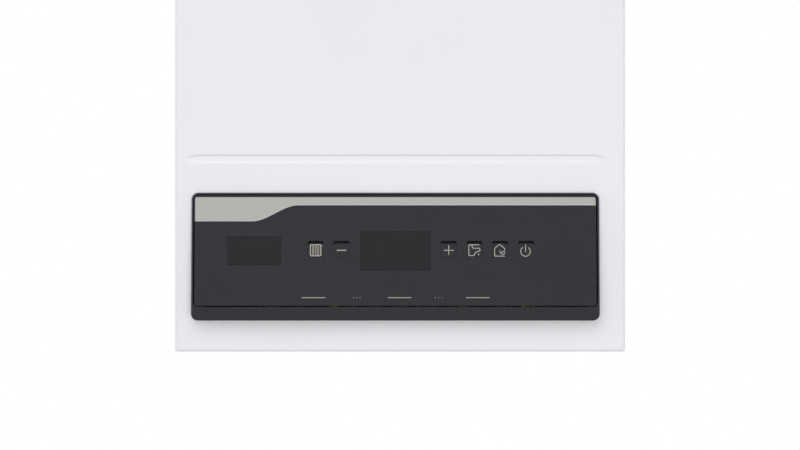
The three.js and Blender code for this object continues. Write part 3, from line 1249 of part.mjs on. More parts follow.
// the diverter's motor sits on two legs above the tower, its spindle between them
function makeDiverter() {
  const low = TOWER_TOP + MOTOR_LEG;
  const motor = rod('z', MOTOR_RADIUS, low, low + MOTOR_HEIGHT, TOWER_X, BLOCK_Y, 20);
  const plugFront = BLOCK_Y - MOTOR_RADIUS - SPINDLE_TRAVEL;
  const plug = block(TOWER_X - MOTOR_PLUG_WIDTH / 2, TOWER_X + MOTOR_PLUG_WIDTH / 2,
    plugFront, BLOCK_Y - MOTOR_RADIUS / 2, low + SPINDLE_TRAVEL,
    low + SPINDLE_TRAVEL + MOTOR_PLUG_HEIGHT);
  const legs = [-1, 1].map((side) => block(
    TOWER_X + side * MOTOR_LEG_X - MOTOR_LEG_SIDE / 2,
    TOWER_X + side * MOTOR_LEG_X + MOTOR_LEG_SIDE / 2,
    BLOCK_Y - MOTOR_LEG_SIDE, BLOCK_Y + MOTOR_LEG_SIDE, TOWER_TOP, low + 1));
  const boreTop = low + MOTOR_HEIGHT - MOTOR_LEG_SIDE;
  const bore = rod('z', SPINDLE_RADIUS + RUNNING_GAP, low - 1, boreTop, TOWER_X, BLOCK_Y, 12);
  add(boiler, 'diverter_motor', cut(join(motor, plug, ...legs), bore), BLACK_PLASTIC);
  const foot = TOWER_TOP - SPINDLE_IN + SHEET;
  const seat = TOWER_TOP + SHEET;
  const tip = boreTop - SPINDLE_TRAVEL - 2 * SHEET;
  const spindle = turned('z', [
    [0, foot],
    [SPINDLE_RADIUS, foot],
    [SPINDLE_RADIUS, seat],
    [SPINDLE_RADIUS + SPINDLE_COLLAR, seat],
    [SPINDLE_RADIUS + SPINDLE_COLLAR, seat + 2 * SHEET],
    [SPINDLE_RADIUS, seat + 2 * SHEET],
    [SPINDLE_RADIUS, tip],
    [0, tip],
  ], TOWER_X, BLOCK_Y, 12);
  add(boiler, 'diverter_spindle', spindle, STEEL);
}

function makeReturnBlock() {
  const centres = PIPE_CENTRES.slice(3);
  const body = block(BLOCK_INNER, BLOCK_OUTER, BLOCK_FRONT, BLOCK_BACK, BLOCK_BOTTOM, BLOCK_TOP);
  const pumpPort = rod('y', PIPE_RADIUS, BLOCK_FRONT - 1, BLOCK_FRONT + PUMP_PORT_DEPTH,
    PUMP_X, PUMP_Z, 16);
  const cast = join(body, ...stubs(centres), ...blockFeet(1));
  add(boiler, 'return_block', cut(cast, pumpPort, ...stubBores(centres)), BRASS);
}

function makePump() {
  const rear = BLOCK_FRONT;
  const front = rear - PUMP_WIDTH;
  const volute = rod('y', PUMP_RADIUS, front, rear, PUMP_X, PUMP_Z, 28);
  const outlet = rod('z', PUMP_OUTLET_RADIUS, PUMP_Z + PUMP_RADIUS / 2, PUMP_OUTLET_TOP, PUMP_X,
    PUMP_MIDDLE, 18);
  const cavity = rod('y', PUMP_RADIUS - PUMP_WALL, front - 1, rear - PUMP_WALL, PUMP_X, PUMP_Z, 28);
  const inlet = rod('y', PIPE_RADIUS, rear - PUMP_WALL - 1, rear + 1, PUMP_X, PUMP_Z, 16);
  const duct = rod('z', PIPE_RADIUS, PUMP_Z + PUMP_RADIUS / 2, PUMP_OUTLET_TOP + 1,
    PUMP_X, PUMP_MIDDLE, 16);
  add(boiler, 'pump_body', cut(join(volute, outlet), cavity, inlet, duct), CAST_IRON);
  const can = turned('y', [
    [0, front - PUMP_MOTOR_LENGTH],
    [PUMP_MOTOR_RADIUS * 0.75, front - PUMP_MOTOR_LENGTH],
    [PUMP_MOTOR_RADIUS, front - PUMP_MOTOR_LENGTH + 6],
    [PUMP_MOTOR_RADIUS, front - 8],
    [PUMP_RADIUS, front - 8],
    [PUMP_RADIUS, front],
    [0, front],
  ], PUMP_X, PUMP_Z, 28);
  const boxZ = PUMP_Z + PUMP_MOTOR_RADIUS;
  const boxFront = front - (PUMP_MOTOR_LENGTH + TERMINAL_BOX_LENGTH) / 2;
  const terminals = block(PUMP_X - TERMINAL_BOX_WIDTH / 2, PUMP_X + TERMINAL_BOX_WIDTH / 2,
    boxFront, boxFront + TERMINAL_BOX_LENGTH, boxZ - TERMINAL_BOX_RISE, boxZ + TERMINAL_BOX_RISE);
  const bore = rod('y', SHAFT_RADIUS + RUNNING_GAP, front - SHAFT_DEPTH, front + 1,
    PUMP_X, PUMP_Z, 14);
  add(boiler, 'pump_motor', cut(join(can, terminals), bore), BLACK_PLASTIC);
  const impeller = wheel(PUMP_RADIUS - PUMP_WALL - PUMP_WHEEL_GAP, PUMP_WHEEL_WIDTH, PUMP_MIDDLE,
    front - SHAFT_DEPTH + 2 * SHEET, PUMP_BLADES, [PUMP_X, PUMP_Z]);
  add(boiler, 'pump_impeller', impeller, GREY_PLASTIC);
}

function makeAirVent() {
  const shoulder = BLOCK_TOP + 2 * VENT_NECK;
  const body = shoulder + VENT_BODY;
  const top = body + 2 * VENT_NECK;
  const profile = [
    [0, BLOCK_TOP],
    [VENT_NECK, BLOCK_TOP],
    [VENT_NECK, BLOCK_TOP + VENT_NECK],
    [VENT_RADIUS, shoulder],
    [VENT_RADIUS, body],
    [VENT_CAP, body + VENT_NECK],
    [VENT_CAP, top],
    [0, top],
  ];
  add(boiler, 'air_vent', turned('z', profile, PUMP_X, BLOCK_Y, 20), BRASS);
}

// a brazed stack of plates lying across both blocks
function makePlateExchanger() {
  const top = BLOCK_TOP + PLATE_COUNT * PLATE_PITCH;
  const plates = [slab('z', roundRect(-PLATE_HALF + PLATE_LIP, PLATE_HALF - PLATE_LIP,
    BLOCK_FRONT + PLATE_LIP, BLOCK_BACK - PLATE_LIP, PLATE_CORNER - PLATE_LIP),
  BLOCK_TOP, top, 1)];
  for (let i = 0; i < PLATE_COUNT; i += 1) {
    const low = BLOCK_TOP + i * PLATE_PITCH;
    plates.push(slab('z', roundRect(-PLATE_HALF, PLATE_HALF, BLOCK_FRONT, BLOCK_BACK,
      PLATE_CORNER), low, low + PLATE_PITCH * 0.6, 1));
  }
  add(boiler, 'plate_exchanger', join(...plates), STEEL);
}

function makeReliefValve() {
  const body = rod('y', RELIEF_RADIUS, RELIEF_FRONT, BLOCK_FRONT, RELIEF_X, RELIEF_Z, 16);
  const drain = rod('z', DRAIN_RADIUS, DRAIN_END, RELIEF_Z, RELIEF_X, RELIEF_DRAIN_Y, 16);
  const bore = rod('z', DRAIN_RADIUS - 2 * SHEET, DRAIN_END - 1, RELIEF_Z - 2 * DRAIN_RADIUS,
    RELIEF_X, RELIEF_DRAIN_Y, 12);
  add(boiler, 'relief_valve', cut(join(body, drain), bore), BRASS);
  const rear = RELIEF_FRONT - SEAT_GAP;
  const disc = rod('y', RELIEF_KNOB_RADIUS, rear - RELIEF_KNOB_DEPTH, rear,
    RELIEF_X, RELIEF_Z, 20);
  const grip = block(RELIEF_X - RELIEF_GRIP_HALF, RELIEF_X + RELIEF_GRIP_HALF,
    rear - RELIEF_GRIP_DEPTH, rear - RELIEF_KNOB_DEPTH / 2,
    RELIEF_Z - RELIEF_GRIP_THICKNESS / 2, RELIEF_Z + RELIEF_GRIP_THICKNESS / 2);
  add(boiler, 'relief_knob', join(disc, grip), RED_PLASTIC);
}

function makeFillingValve() {
  const middle = (FILLING_TOP + BLOCK_BOTTOM) / 2;
  const body = rod('z', FILLING_RADIUS, BASE_TOP + SEAT_GAP, FILLING_TOP, FILLING_X, FILLING_Y, 16);
  const neck = block(FILLING_X - FILLING_NECK / 2, FILLING_X + FILLING_NECK / 2,
    FILLING_Y, BLOCK_FRONT, middle - FILLING_NECK / 2, middle + FILLING_NECK / 2);
  const bore = rod('z', FILLING_STEM + SEAT_GAP, BASE_TOP - 1, FILLING_TOP - FILLING_RADIUS,
    FILLING_X, FILLING_Y, 12);
  add(boiler, 'filling_valve', cut(join(body, neck), bore), BRASS);
  const knobTop = SKIRT_HEIGHT - FILLING_KNOB_DROP;
  const stem = rod('z', FILLING_STEM, knobTop - FILLING_NECK,
    FILLING_TOP - FILLING_NECK, FILLING_X, FILLING_Y, 12);
  const head = rod('z', FILLING_KNOB_RADIUS, FILLING_KNOB_BOTTOM + FILLING_STEM, knobTop,
    FILLING_X, FILLING_Y, 20);
  const wing = block(FILLING_X - FILLING_WING_HALF, FILLING_X + FILLING_WING_HALF,
    FILLING_Y - FILLING_STEM, FILLING_Y + FILLING_STEM,
    FILLING_KNOB_BOTTOM, knobTop - FILLING_STEM);
  add(boiler, 'filling_knob', join(stem, head, wing), BLACK_PLASTIC);
}

function makeSensors() {
  const x = BLOCK_INNER + FLOW_SENSOR_SIDE;
  const z = BLOCK_BOTTOM + FLOW_SENSOR_HEIGHT;
  const flow = block(x - FLOW_SENSOR_SIDE / 2, x + FLOW_SENSOR_SIDE / 2,
    BLOCK_FRONT - FLOW_SENSOR_SIDE, BLOCK_FRONT, z - FLOW_SENSOR_HEIGHT / 2,
    z + FLOW_SENSOR_HEIGHT / 2);
  const plug = block(x - FLOW_SENSOR_PLUG / 2, x + FLOW_SENSOR_PLUG / 2,
    BLOCK_FRONT - FLOW_SENSOR_SIDE - FLOW_SENSOR_PLUG, BLOCK_FRONT - FLOW_SENSOR_SIDE + SHEET,
    z - FLOW_SENSOR_PLUG / 2, z + FLOW_SENSOR_PLUG / 2);
  add(boiler, 'flow_sensor', join(flow, plug), BLACK_PLASTIC);
  const portX = -BLOCK_INNER - 2 * PRESSURE_NUT_RADIUS;
  const portZ = BLOCK_BOTTOM + 3 * PRESSURE_NUT_RADIUS;
  const nut = rod('y', PRESSURE_NUT_RADIUS, BLOCK_FRONT - PRESSURE_NUT_RADIUS, BLOCK_FRONT,
    portX, portZ, 6);
  const can = rod('y', PRESSURE_CAN_RADIUS, BLOCK_FRONT - PRESSURE_CAN_LENGTH,
    BLOCK_FRONT - PRESSURE_CAN_RADIUS, portX, portZ, 14);
  add(boiler, 'pressure_sensor', join(nut, can), BRASS);
}

function makeWaterPipes() {
  const side = STACK_HALF - STACK_MARGIN + HEADER_WIDTH + SEAT_GAP;
  const portZ = (FIREBOX_TOP + EXCHANGER_TOP) / 2;
  const flow = tube([
    [-side, STACK_MIDDLE, portZ],
    [-RISER_X, STACK_MIDDLE, portZ],
    [-RISER_X, STACK_MIDDLE, BURNER_BOTTOM - FLOW_BEND_DROP],
    [-FLOW_PORT_X, STACK_MIDDLE, BURNER_BOTTOM - FLOW_LEVEL_DROP],
    [-FLOW_PORT_X, STACK_MIDDLE, FLOW_PORT_Z],
    [-FLOW_PORT_X, BLOCK_FRONT - SEAT_GAP, FLOW_PORT_Z],
  ], PIPE_RADIUS);
  add(boiler, 'heating_flow_pipe', flow, COPPER);
  const back = tube([
    [PUMP_X, PUMP_MIDDLE, PUMP_OUTLET_TOP + SEAT_GAP],
    [PUMP_X, PUMP_MIDDLE, PUMP_OUTLET_TOP + RETURN_RISE],
    [RISER_X, STACK_MIDDLE, PUMP_OUTLET_TOP + 2 * RETURN_RISE],
    [RISER_X, STACK_MIDDLE, portZ],
    [side, STACK_MIDDLE, portZ],
  ], PIPE_RADIUS);
  add(boiler, 'heating_return_pipe', back, COPPER);
}

// ------------------------------------------------------ expansion vessel

function makeExpansionVessel() {
  const back = BACK_FACE;
  const front = back - VESSEL_DEPTH;
  const rim = (back + front) / 2;
  const shell = turned('y', [
    [0, front],
    [VESSEL_RADIUS - VESSEL_SHOULDER, front],
    [VESSEL_RADIUS - VESSEL_EDGE, front + VESSEL_EDGE],
    [VESSEL_RADIUS - VESSEL_RIM / 2, rim - VESSEL_RIM],
    [VESSEL_RADIUS, rim - VESSEL_RIM / 2],
    [VESSEL_RADIUS, rim + VESSEL_RIM / 2],
    [VESSEL_RADIUS - VESSEL_RIM / 2, rim + VESSEL_RIM],
    [VESSEL_RADIUS - VESSEL_EDGE, back - VESSEL_EDGE],
    [VESSEL_RADIUS - VESSEL_SHOULDER, back],
    [0, back],
  ], 0, VESSEL_CENTRE, 32);
  const nippleEnd = VESSEL_CENTRE - VESSEL_RADIUS - NIPPLE_DROP;
  const nipple = rod('z', HOSE_RADIUS + 2 * SHEET, nippleEnd, nippleEnd + NIPPLE_LENGTH,
    0, rim, 12);
  add(boiler, 'expansion_vessel', join(shell, nipple), RED_LACQUER);
  const level = BLOCK_TOP + HOSE_PORT_RISE;
  const hose = tube([
    [0, rim, nippleEnd - SEAT_GAP],
    [0, rim, (nippleEnd + level) / 2],
    [HOSE_PORT_X, BLOCK_Y, level],
    [HOSE_PORT_X, BLOCK_Y, BLOCK_TOP + SEAT_GAP],
  ], HOSE_RADIUS, HOSE_BEND, 8);
  add(boiler, 'vessel_hose', hose, STEEL);
}

function makeCableGland() {
  const profile = [
    [0, SKIRT_HEIGHT - GLAND_DROP],
    [GLAND_NUT - 2 * SHEET, SKIRT_HEIGHT - GLAND_DROP],
    [GLAND_NUT, SKIRT_HEIGHT - GLAND_DROP / 2],
    [GLAND_NUT, SKIRT_HEIGHT],
    [GLAND_RADIUS - SEAT_GAP, SKIRT_HEIGHT],
    [GLAND_RADIUS - SEAT_GAP, BASE_TOP],
    [GLAND_NUT - SHEET, BASE_TOP],
    [GLAND_NUT - SHEET, BASE_TOP + GLAND_RISE],
    [0, BASE_TOP + GLAND_RISE],
  ];
  const body = turned('z', profile, GLAND_X, GLAND_Y, 20);
  const bore = rod('z', GLAND_BORE, 0, BASE_TOP + 2 * GLAND_RISE, GLAND_X, GLAND_Y, 14);
  add(boiler, 'cable_gland', cut(body, bore), BLACK_PLASTIC);
}

// ---------------------------------------------------------------- assembly

makeHangingRail();
makeBackPlate();
makeSidePanels();
makeTopPanel();
makeBottomPlate();
makeCoverScrews();
makeFrontCover();
makePanelFrame();
makeFascia();
makeSilverStrip();
makeWindows();
makeKeys();
makeDisplayBoard();
makeControlBox();
makeMainBoard();
makeFlueCollar();
makeFanHousing();
makeFanMotor();
makeFanImpeller();
makeFlueHood();
makePressureSwitch();
makeFirebox();
makeIgnitionElectrode();
makeHeatExchanger();
makeBurnerTray();
makeBurnerBars();
makeGasManifold();
makeGasValve();
makeGasPipes();
makeFlowBlock();
makeDiverter();
makeReturnBlock();
makePump();
makeAirVent();
makePlateExchanger();
makeReliefValve();
makeFillingValve();
makeSensors();
makeWaterPipes();
makeExpansionVessel();
makeCableGland();

export default boiler;
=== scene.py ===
"""Visual model of a wall-hung combi boiler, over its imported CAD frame.

Lengths in this file are millimetres unless a property says otherwise. Heights
are measured from the casing's lower edge, and `place` turns them into the
frame's own coordinates, whose origin is the middle of the rear face.
"""

import math
from itertools import product

import bmesh
import bpy
import numpy as np
from bpy.props import FloatProperty, FloatVectorProperty, PointerProperty
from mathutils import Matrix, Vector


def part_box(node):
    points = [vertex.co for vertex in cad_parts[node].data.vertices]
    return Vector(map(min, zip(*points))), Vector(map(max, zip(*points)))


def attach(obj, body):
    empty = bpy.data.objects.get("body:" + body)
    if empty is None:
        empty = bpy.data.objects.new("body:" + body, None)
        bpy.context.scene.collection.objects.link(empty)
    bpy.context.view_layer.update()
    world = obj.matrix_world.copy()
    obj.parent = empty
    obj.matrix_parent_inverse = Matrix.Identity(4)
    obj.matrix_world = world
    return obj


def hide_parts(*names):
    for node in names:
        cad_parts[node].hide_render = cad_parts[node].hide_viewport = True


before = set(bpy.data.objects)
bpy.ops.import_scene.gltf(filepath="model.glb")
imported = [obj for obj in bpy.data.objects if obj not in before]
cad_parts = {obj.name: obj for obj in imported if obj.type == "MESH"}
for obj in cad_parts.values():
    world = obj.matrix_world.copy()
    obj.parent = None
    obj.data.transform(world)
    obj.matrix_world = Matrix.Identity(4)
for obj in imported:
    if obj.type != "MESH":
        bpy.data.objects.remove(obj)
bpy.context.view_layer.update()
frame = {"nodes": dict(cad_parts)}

bl_info = {
    "name": "Combi boiler",
    "version": (1, 0, 0),
    "blender": (4, 5, 0),
    "location": "3D View > Sidebar > Boiler",
    "description": "Builds the casing, control panel and inner parts of a combi boiler",
    "category": "Object",
}

MM = 0.001
HALF_HEIGHT = 370.0
COVER_LOW, COVER_HIGH = (np.array(corner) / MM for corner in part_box("front_cover"))
FRAME_LOW, FRAME_HIGH = (np.array(corner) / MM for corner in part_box("panel_frame"))
FRONT = float(COVER_LOW[1])
PANEL_X = float(FRAME_LOW[0] + FRAME_HIGH[0]) / 2
TILT = math.radians(6.5)
TOP_PROUD = 4.0
FRAME_TOP = float(FRAME_HIGH[2]) + HALF_HEIGHT
OPENING_LOW, OPENING_HIGH, OPENING_HALF = 43.0, 149.6, 192.7
HOLE_LOW = 39.84
CASING_HIGH = 2 * HALF_HEIGHT
FASCIA_MIDDLE = (OPENING_LOW + OPENING_HIGH) / 2
FASCIA_HALF = 191.5
FASCIA_RISE = 52.44
FASCIA_FACE = FRONT - TOP_PROUD + 0.4 - (FRAME_TOP - FASCIA_MIDDLE) * math.tan(TILT)
KEYS = {"key_heating": -76.3, "key_minus": -51.7, "key_plus": 50.9,
        "key_hot_water": 75.5, "key_eco": 100.1, "key_power": 124.7}
KEY_LOW, KEY_TALL, KEY_WIDE = -5.9, 12.8, 14.8
SMALL_WINDOW = (-134.8, 51.1, 27.0)
LARGE_WINDOW = (0.0, 66.6, 37.5)

# where upright axes (x, y) and those that run to the front or side (x or y, height) stand
FLUE, FAN, AIR_SWITCH = (0, -158), (0, 655), (-188, 640)
PUMP, PUMP_OUTLET, AIR_VENT = (134, 106), (134, -110), (134, -63)
DIVERTER, RELIEF, FILLING = (-130, -63), (76, 78), (104, -98)
GLAND, BOX_HINGE = (-180, -120), (-290, 40)
PORTS_Y = -60
BURNER_ROW = np.arange(12) * 17.0 - 93.5


# ------------------------------------------------------------------ sizes and colours

def length(name, description, default):
    """A length property in millimetres."""
    return FloatProperty(name=name, description=description, default=default, min=0.0)


def rgb(red, green, blue):
    """A screen colour in 0 to 255 steps, as scene-linear numbers."""
    return tuple(((c / 255 + 0.055) / 1.055) ** 2.4 if c > 10 else c / 3294.6
                 for c in (red, green, blue))


def colour(name, description, red, green, blue):
    """A colour property, its default given in the 0 to 255 steps of a screen colour."""
    return FloatVectorProperty(name=name, description=description, subtype="COLOR",
                               default=rgb(red, green, blue), min=0.0, max=1.0, size=3)


class BoilerSizes(bpy.types.PropertyGroup):
    """Lengths a user may change, in millimetres."""
    groove_depth: length("Groove depth", "How deep the cover's groove is pressed", 1.45)
    groove_wall: length("Groove wall", "Height over which the groove's upper wall slopes", 2.3)
    cover_radius: length("Cover radius", "Rounding of the cover's folded edges", 2.0)
    frame_edge: length("Frame edge", "Rounding of the panel frame's edges", 0.9)
    strip_bevel: length("Strip bevel", "Width of the silver strip's sloping border", 1.2)
    line_width: length("Icon line", "Width of the printed icon lines", 0.72)
    sheet: length("Sheet", "Thickness of the casing's steel sheet", 1.0)


class BoilerColours(bpy.types.PropertyGroup):
    """Colours a user may change."""
    enamel: colour("Enamel", "Powder coat of the casing", 238, 239, 241)
    frame: colour("Frame", "Plastic of the panel frame", 41, 40, 46)
    fascia: colour("Fascia", "Plastic of the fascia and keys", 53, 52, 57)
    silver: colour("Silver", "Lacquer of the strip", 161, 159, 155)
    window: colour("Window", "Smoked display windows", 47, 44, 47)
    print: colour("Print", "Ink of icons and lines", 180, 175, 166)
    zinc: colour("Zinc", "Galvanised sheet", 186, 188, 191)
    vessel: colour("Vessel", "Stove enamel of the expansion vessel", 158, 42, 36)
    floor: colour("Floor", "Floor under the boiler", 246, 246, 247)


# -------------------------------------------------------------------- surfaces

def place(points):
    """Millimetres with heights from the casing's lower edge, to the frame's metres."""
    points = np.asarray(points, float).copy()
    points[..., 2] -= HALF_HEIGHT
    return points * MM


def tilted(points):
    """The fascia's own frame to the casing's: turned back by the tilt about X, then moved."""
    points = np.asarray(points, float)
    x, y, z = points[..., 0], points[..., 1], points[..., 2]
    turn, lift = math.cos(TILT), math.sin(TILT)
    return np.stack([x + PANEL_X, FASCIA_FACE + y * turn + z * lift,
                     FASCIA_MIDDLE - y * lift + z * turn], -1)


def surface(points, around=False, along=False, keep=None):
    """Quads between neighbouring points of a grid; it may close on itself either way."""
    rows, columns = points.shape[:2]
    i, j = np.meshgrid(np.arange(rows - (not around)), np.arange(columns - (not along)),
                       indexing="ij")
    k, m = (i + 1) % rows, (j + 1) % columns
    cells = np.stack([i * columns + j, i * columns + m, k * columns + m, k * columns + j], -1)
    cells = cells[keep] if keep is not None else cells.reshape(-1, 4)
    return points.reshape(-1, 3), cells.tolist()


def capped(patch, count):
    """A patch with one face over its first `count` points and one over its last."""
    verts, faces = patch
    last = len(verts)
    return verts, [*faces, list(range(count)), list(range(last - count, last))]


def unit(vectors):
    """Each vector brought to length one."""
    return vectors / np.maximum(np.linalg.norm(vectors, axis=-1, keepdims=True), 1e-9)


def rounded(corners, radius, closed=False, steps=5):
    """Each corner of a line gives way to an arc that touches both of its sides."""
    corners = np.asarray(corners, float)
    count = len(corners)
    radii = np.broadcast_to(radius, count)
    line = []
    for i in range(count):
        here = corners[i]
        if not closed and i in (0, count - 1):
            line.append(here)
            continue
        before, after = corners[i - 1], corners[(i + 1) % count]
        size_in, size_out = np.linalg.norm(here - before), np.linalg.norm(after - here)
        way_in, way_out = (here - before) / size_in, (after - here) / size_out
        turn = math.acos(float(np.clip(way_in @ way_out, -1, 1)))
        if turn < 1e-3 or radii[i] <= 0:
            line.append(here)
            continue
        reach = min(radii[i] * math.tan(turn / 2), 0.49 * size_in, 0.49 * size_out)
        bend = reach / math.tan(turn / 2)
        side = (way_out - way_in * math.cos(turn)) / math.sin(turn)
        angle = np.linspace(0, turn, steps + 1)[:, None]
        line.extend(here - way_in * reach
                    + bend * (np.sin(angle) * way_in + (1 - np.cos(angle)) * side))
    return np.array(line)


AXES = {"x": (2, 0, 1), "y": (0, 2, 1), "z": (0, 1, 2)}


def along_axis(axis, points):
    """Points given as two cross directions and a height, set along an axis."""
    first, second, third = AXES[axis]
    out = np.empty_like(points)
    out[..., 0], out[..., 1], out[..., 2] = (points[..., first], points[..., second],
                                             points[..., third])
    return out


def turned(axis, profile, a, b, radius=0.6, sides=72):
    """A lathe shape: a profile of (radius, height) points, its corners rounded, turned
    once round an axis that passes through (a, b)."""
    line = rounded(profile, radius)
    angle = np.linspace(0, 2 * math.pi, sides, endpoint=False)[:, None]
    points = np.stack([a + line[:, 0] * np.cos(angle), b + line[:, 0] * np.sin(angle),
                       np.broadcast_to(line[:, 1], (sides, len(line)))], -1)
    return surface(along_axis(axis, points), around=True)


def ring(axis, outer, inner, low, high, a, b, radius=0.5, sides=72):
    """A turned tube wall: a rectangle between two radii, its corners rounded, turned round."""
    middle = (outer + inner) / 2
    return turned(axis, [(middle, low), (outer, low), (outer, high), (inner, high),
                         (inner, low), (middle, low)], a, b, radius, sides)


def cushion_block(x0, x1, y0, y1, z0, z1, radius=0.8, steps=3):
    """A box with round edges: each point of a grid on the box's six sides is moved to
    lie `radius` from the nearest point of the box shrunk by that radius."""
    low = np.array([x0, y0, z0], float)
    high = np.array([x1, y1, z1], float)
    radius = min(radius, *((high - low) * 0.499))
    bend = radius * (1 - np.tan(np.linspace(math.pi / 4, 0, steps + 1)))
    spans = [np.concatenate([low[i] + bend, high[i] - bend[::-1]]) for i in range(3)]
    points, faces, start = [], [], 0
    for axis in range(3):
        u, v = [i for i in range(3) if i != axis]
        for end in (low[axis], high[axis]):
            grid = np.empty((len(spans[u]), len(spans[v]), 3))
            grid[..., u], grid[..., v] = np.meshgrid(spans[u], spans[v], indexing="ij")
            grid[..., axis] = end
            near = np.clip(grid, low + radius, high - radius)
            verts, quads = surface(near + radius * unit(grid - near))
            points.append(verts)
            faces.extend([[c + start for c in quad] for quad in quads])
            start += len(verts)
    return np.concatenate(points), faces


def inset(outline, amount):
    """A closed outline moved inwards by an amount along its own normals."""
    ahead = unit(np.roll(outline, -1, 0) - outline)
    behind = np.roll(ahead, 1, 0)
    left = np.stack([-(ahead + behind)[:, 1], (ahead + behind)[:, 0]], -1)
    size = np.maximum(np.linalg.norm(left, axis=1, keepdims=True), 1e-9)
    turned_way = np.sign(np.sum(outline[:, 0] * np.roll(outline[:, 1], -1)
                                - np.roll(outline[:, 0], -1) * outline[:, 1]))
    stretch = np.clip(2 / size, 1, 1.6)
    return outline + left / size * stretch * amount * turned_way


def extruded(axis, outline, low, high, corner=0.0, edge=0.3, steps=3):
    """A closed outline, its corners rounded, carried from one height to another along an
    axis; near both ends it draws in on a quarter circle, so the end edges are round."""
    line = rounded(outline, corner, closed=True)
    bend = np.linspace(0, math.pi / 2, steps + 1)
    draw = edge * (1 - np.sin(bend))
    rise = edge * (1 - np.cos(bend))
    heights = np.concatenate([low + rise, high - rise[::-1]])
    loops = [inset(line, amount) for amount in np.concatenate([draw, draw[::-1]])]
    points = np.stack([np.column_stack([loop, np.full(len(loop), height)])
                       for loop, height in zip(loops, heights)])
    return capped(surface(along_axis(axis, points), along=True), len(line))


def travelled(line):
    """How far along a line each of its points lies."""
    return np.concatenate([[0], np.cumsum(np.linalg.norm(np.diff(line, axis=0), axis=1))])


def pipe(corners, radius, bend=20.0, sides=28, steps=8, profile=None):
    """A circle carried square-on along a line whose corners are rounded to the bend radius.
    `profile` gives factors on the radius at fractions of the length."""
    path = rounded(corners, bend, steps=steps)
    ahead = unit(np.gradient(path, axis=0))
    side = np.cross(ahead[0], (0.31, 0.52, 0.79))
    across = []
    for way in ahead:
        side = unit(side - way * (side @ way))
        across.append(side)
    across = np.array(across)[:, None]
    other = np.cross(ahead, across[:, 0])[:, None]
    angle = np.linspace(0, 2 * math.pi, sides, endpoint=False)[None, :, None]
    size = np.full(len(path), radius, float)
    if profile is not None:
        run = travelled(path)
        size *= np.interp(run / run[-1], *zip(*profile))
    points = path[:, None] + size[:, None, None] * (np.cos(angle) * across + np.sin(angle) * other)
    return capped(surface(points, along=True), sides)


def rod(axis, radius, low, high, a, b, edge=0.5, sides=48):
    """A round bar along an axis, its two end edges rounded."""
    return turned(axis, [(0, low), (radius, low), (radius, high), (0, high)], a, b, edge, sides)


def nut(axis, radius, low, high, a, b, edge=0.8, bore=None):
    """A hexagon carried along an axis, with round corners and end edges, solid or bored."""
    angle = np.arange(6) * math.pi / 3
    corners = np.stack([a + radius * np.cos(angle), b + radius * np.sin(angle)], -1)
    if bore is None:
        return extruded(axis, corners, low, high, radius * 0.06, edge)
    return drilled(rounded(corners, radius * 0.06, closed=True), [disc_outline(bore, a, b)],
                   axis, low, high, min(edge, 0.4))


def thread(axis, radius, pitch, low, high, a, b, sides=40):
    """Ridges round an axis: the radius falls and rises once for each pitch of height."""
    height = np.linspace(low, high, max(8, int((high - low) / pitch * 6)))
    size = radius - 0.28 * pitch * (1 - np.cos(2 * math.pi * (height - low) / pitch))
    profile = [(0, low), *zip(size, height), (0, high)]
    return turned(axis, profile, a, b, 0, sides)


def spokes(patch, axis, a, b, angles):
    """Copies of a patch, turned to each of some angles about an axis through (a, b)."""
    i, j, a, b = {"x": (1, 2, a, b), "y": (2, 0, b, a), "z": (0, 1, a, b)}[axis]
    copies = []
    for angle in np.radians(angles):
        points = np.array(patch[0], float)
        u, v = points[:, i] - a, points[:, j] - b
        points[:, i] = a + u * math.cos(angle) - v * math.sin(angle)
        points[:, j] = b + u * math.sin(angle) + v * math.cos(angle)
        copies.append((points, patch[1]))
    return copies


def read_points(mesh):
    """A mesh's points, in the mesh's own units."""
    points = np.empty(len(mesh.vertices) * 3)
    mesh.vertices.foreach_get("co", points)
    return points.reshape(-1, 3)


def placed_points(mesh):
    """A finished piece's points, in millimetres and heights from the casing's lower edge."""
    return read_points(mesh) / MM + (0, 0, HALF_HEIGHT)


def store(mesh, name, values):
    """Keeps one number on each point of a mesh, for its material to read."""
    kept = mesh.attributes.new(name, "FLOAT", "POINT")
    kept.data.foreach_set("value", values.astype("f"))


def drilled(outer, holes, axis, low, high, edge=0.25):
    """A flat plate with holes: outlines filled as one flat curve, given its thickness and
    a small chamfer, made a mesh and then set along an axis."""
    flat = bpy.data.curves.new("outline", "CURVE")
    flat.dimensions = "2D"
    flat.fill_mode = "BOTH"
    flat.extrude = (high - low) / 2 - edge
    flat.bevel_depth = edge
    flat.bevel_resolution = 0
    flat.offset = -edge
    for outline in (outer, *holes):
        line = flat.splines.new("POLY")
        line.points.add(len(outline) - 1)
        flat_points = np.column_stack([outline, np.zeros(len(outline)), np.ones(len(outline))])
        line.points.foreach_set("co", flat_points.ravel())
        line.use_cyclic_u = True
    carrier = bpy.data.objects.new("outline", flat)
    mesh = carrier.to_mesh()
    points = read_points(mesh)
    faces = [list(face.vertices) for face in mesh.polygons]
    carrier.to_mesh_clear()
    bpy.data.objects.remove(carrier)
    bpy.data.curves.remove(flat)
    points[:, 2] += (low + high) / 2
    return along_axis(axis, points), faces


def box_outline(x0, x1, y0, y1, radius=0.0, steps=6):
    """A rectangle's outline with round corners."""
    return rounded([(x0, y0), (x1, y0), (x1, y1), (x0, y1)], radius, closed=True, steps=steps)


def disc_outline(radius, a, b, sides=40):
    """A circle's outline."""
    angle = np.linspace(0, 2 * math.pi, sides, endpoint=False)
    return np.stack([a + radius * np.cos(angle), b + radius * np.sin(angle)], -1)


def arc(a, b, radius, start, end, steps=24):
    """Points on a circle between two angles, in degrees from the right, anticlockwise."""
    angle = np.radians(np.linspace(start, end, steps))
    return np.stack([a + radius * np.cos(angle), b + radius * np.sin(angle)], -1)


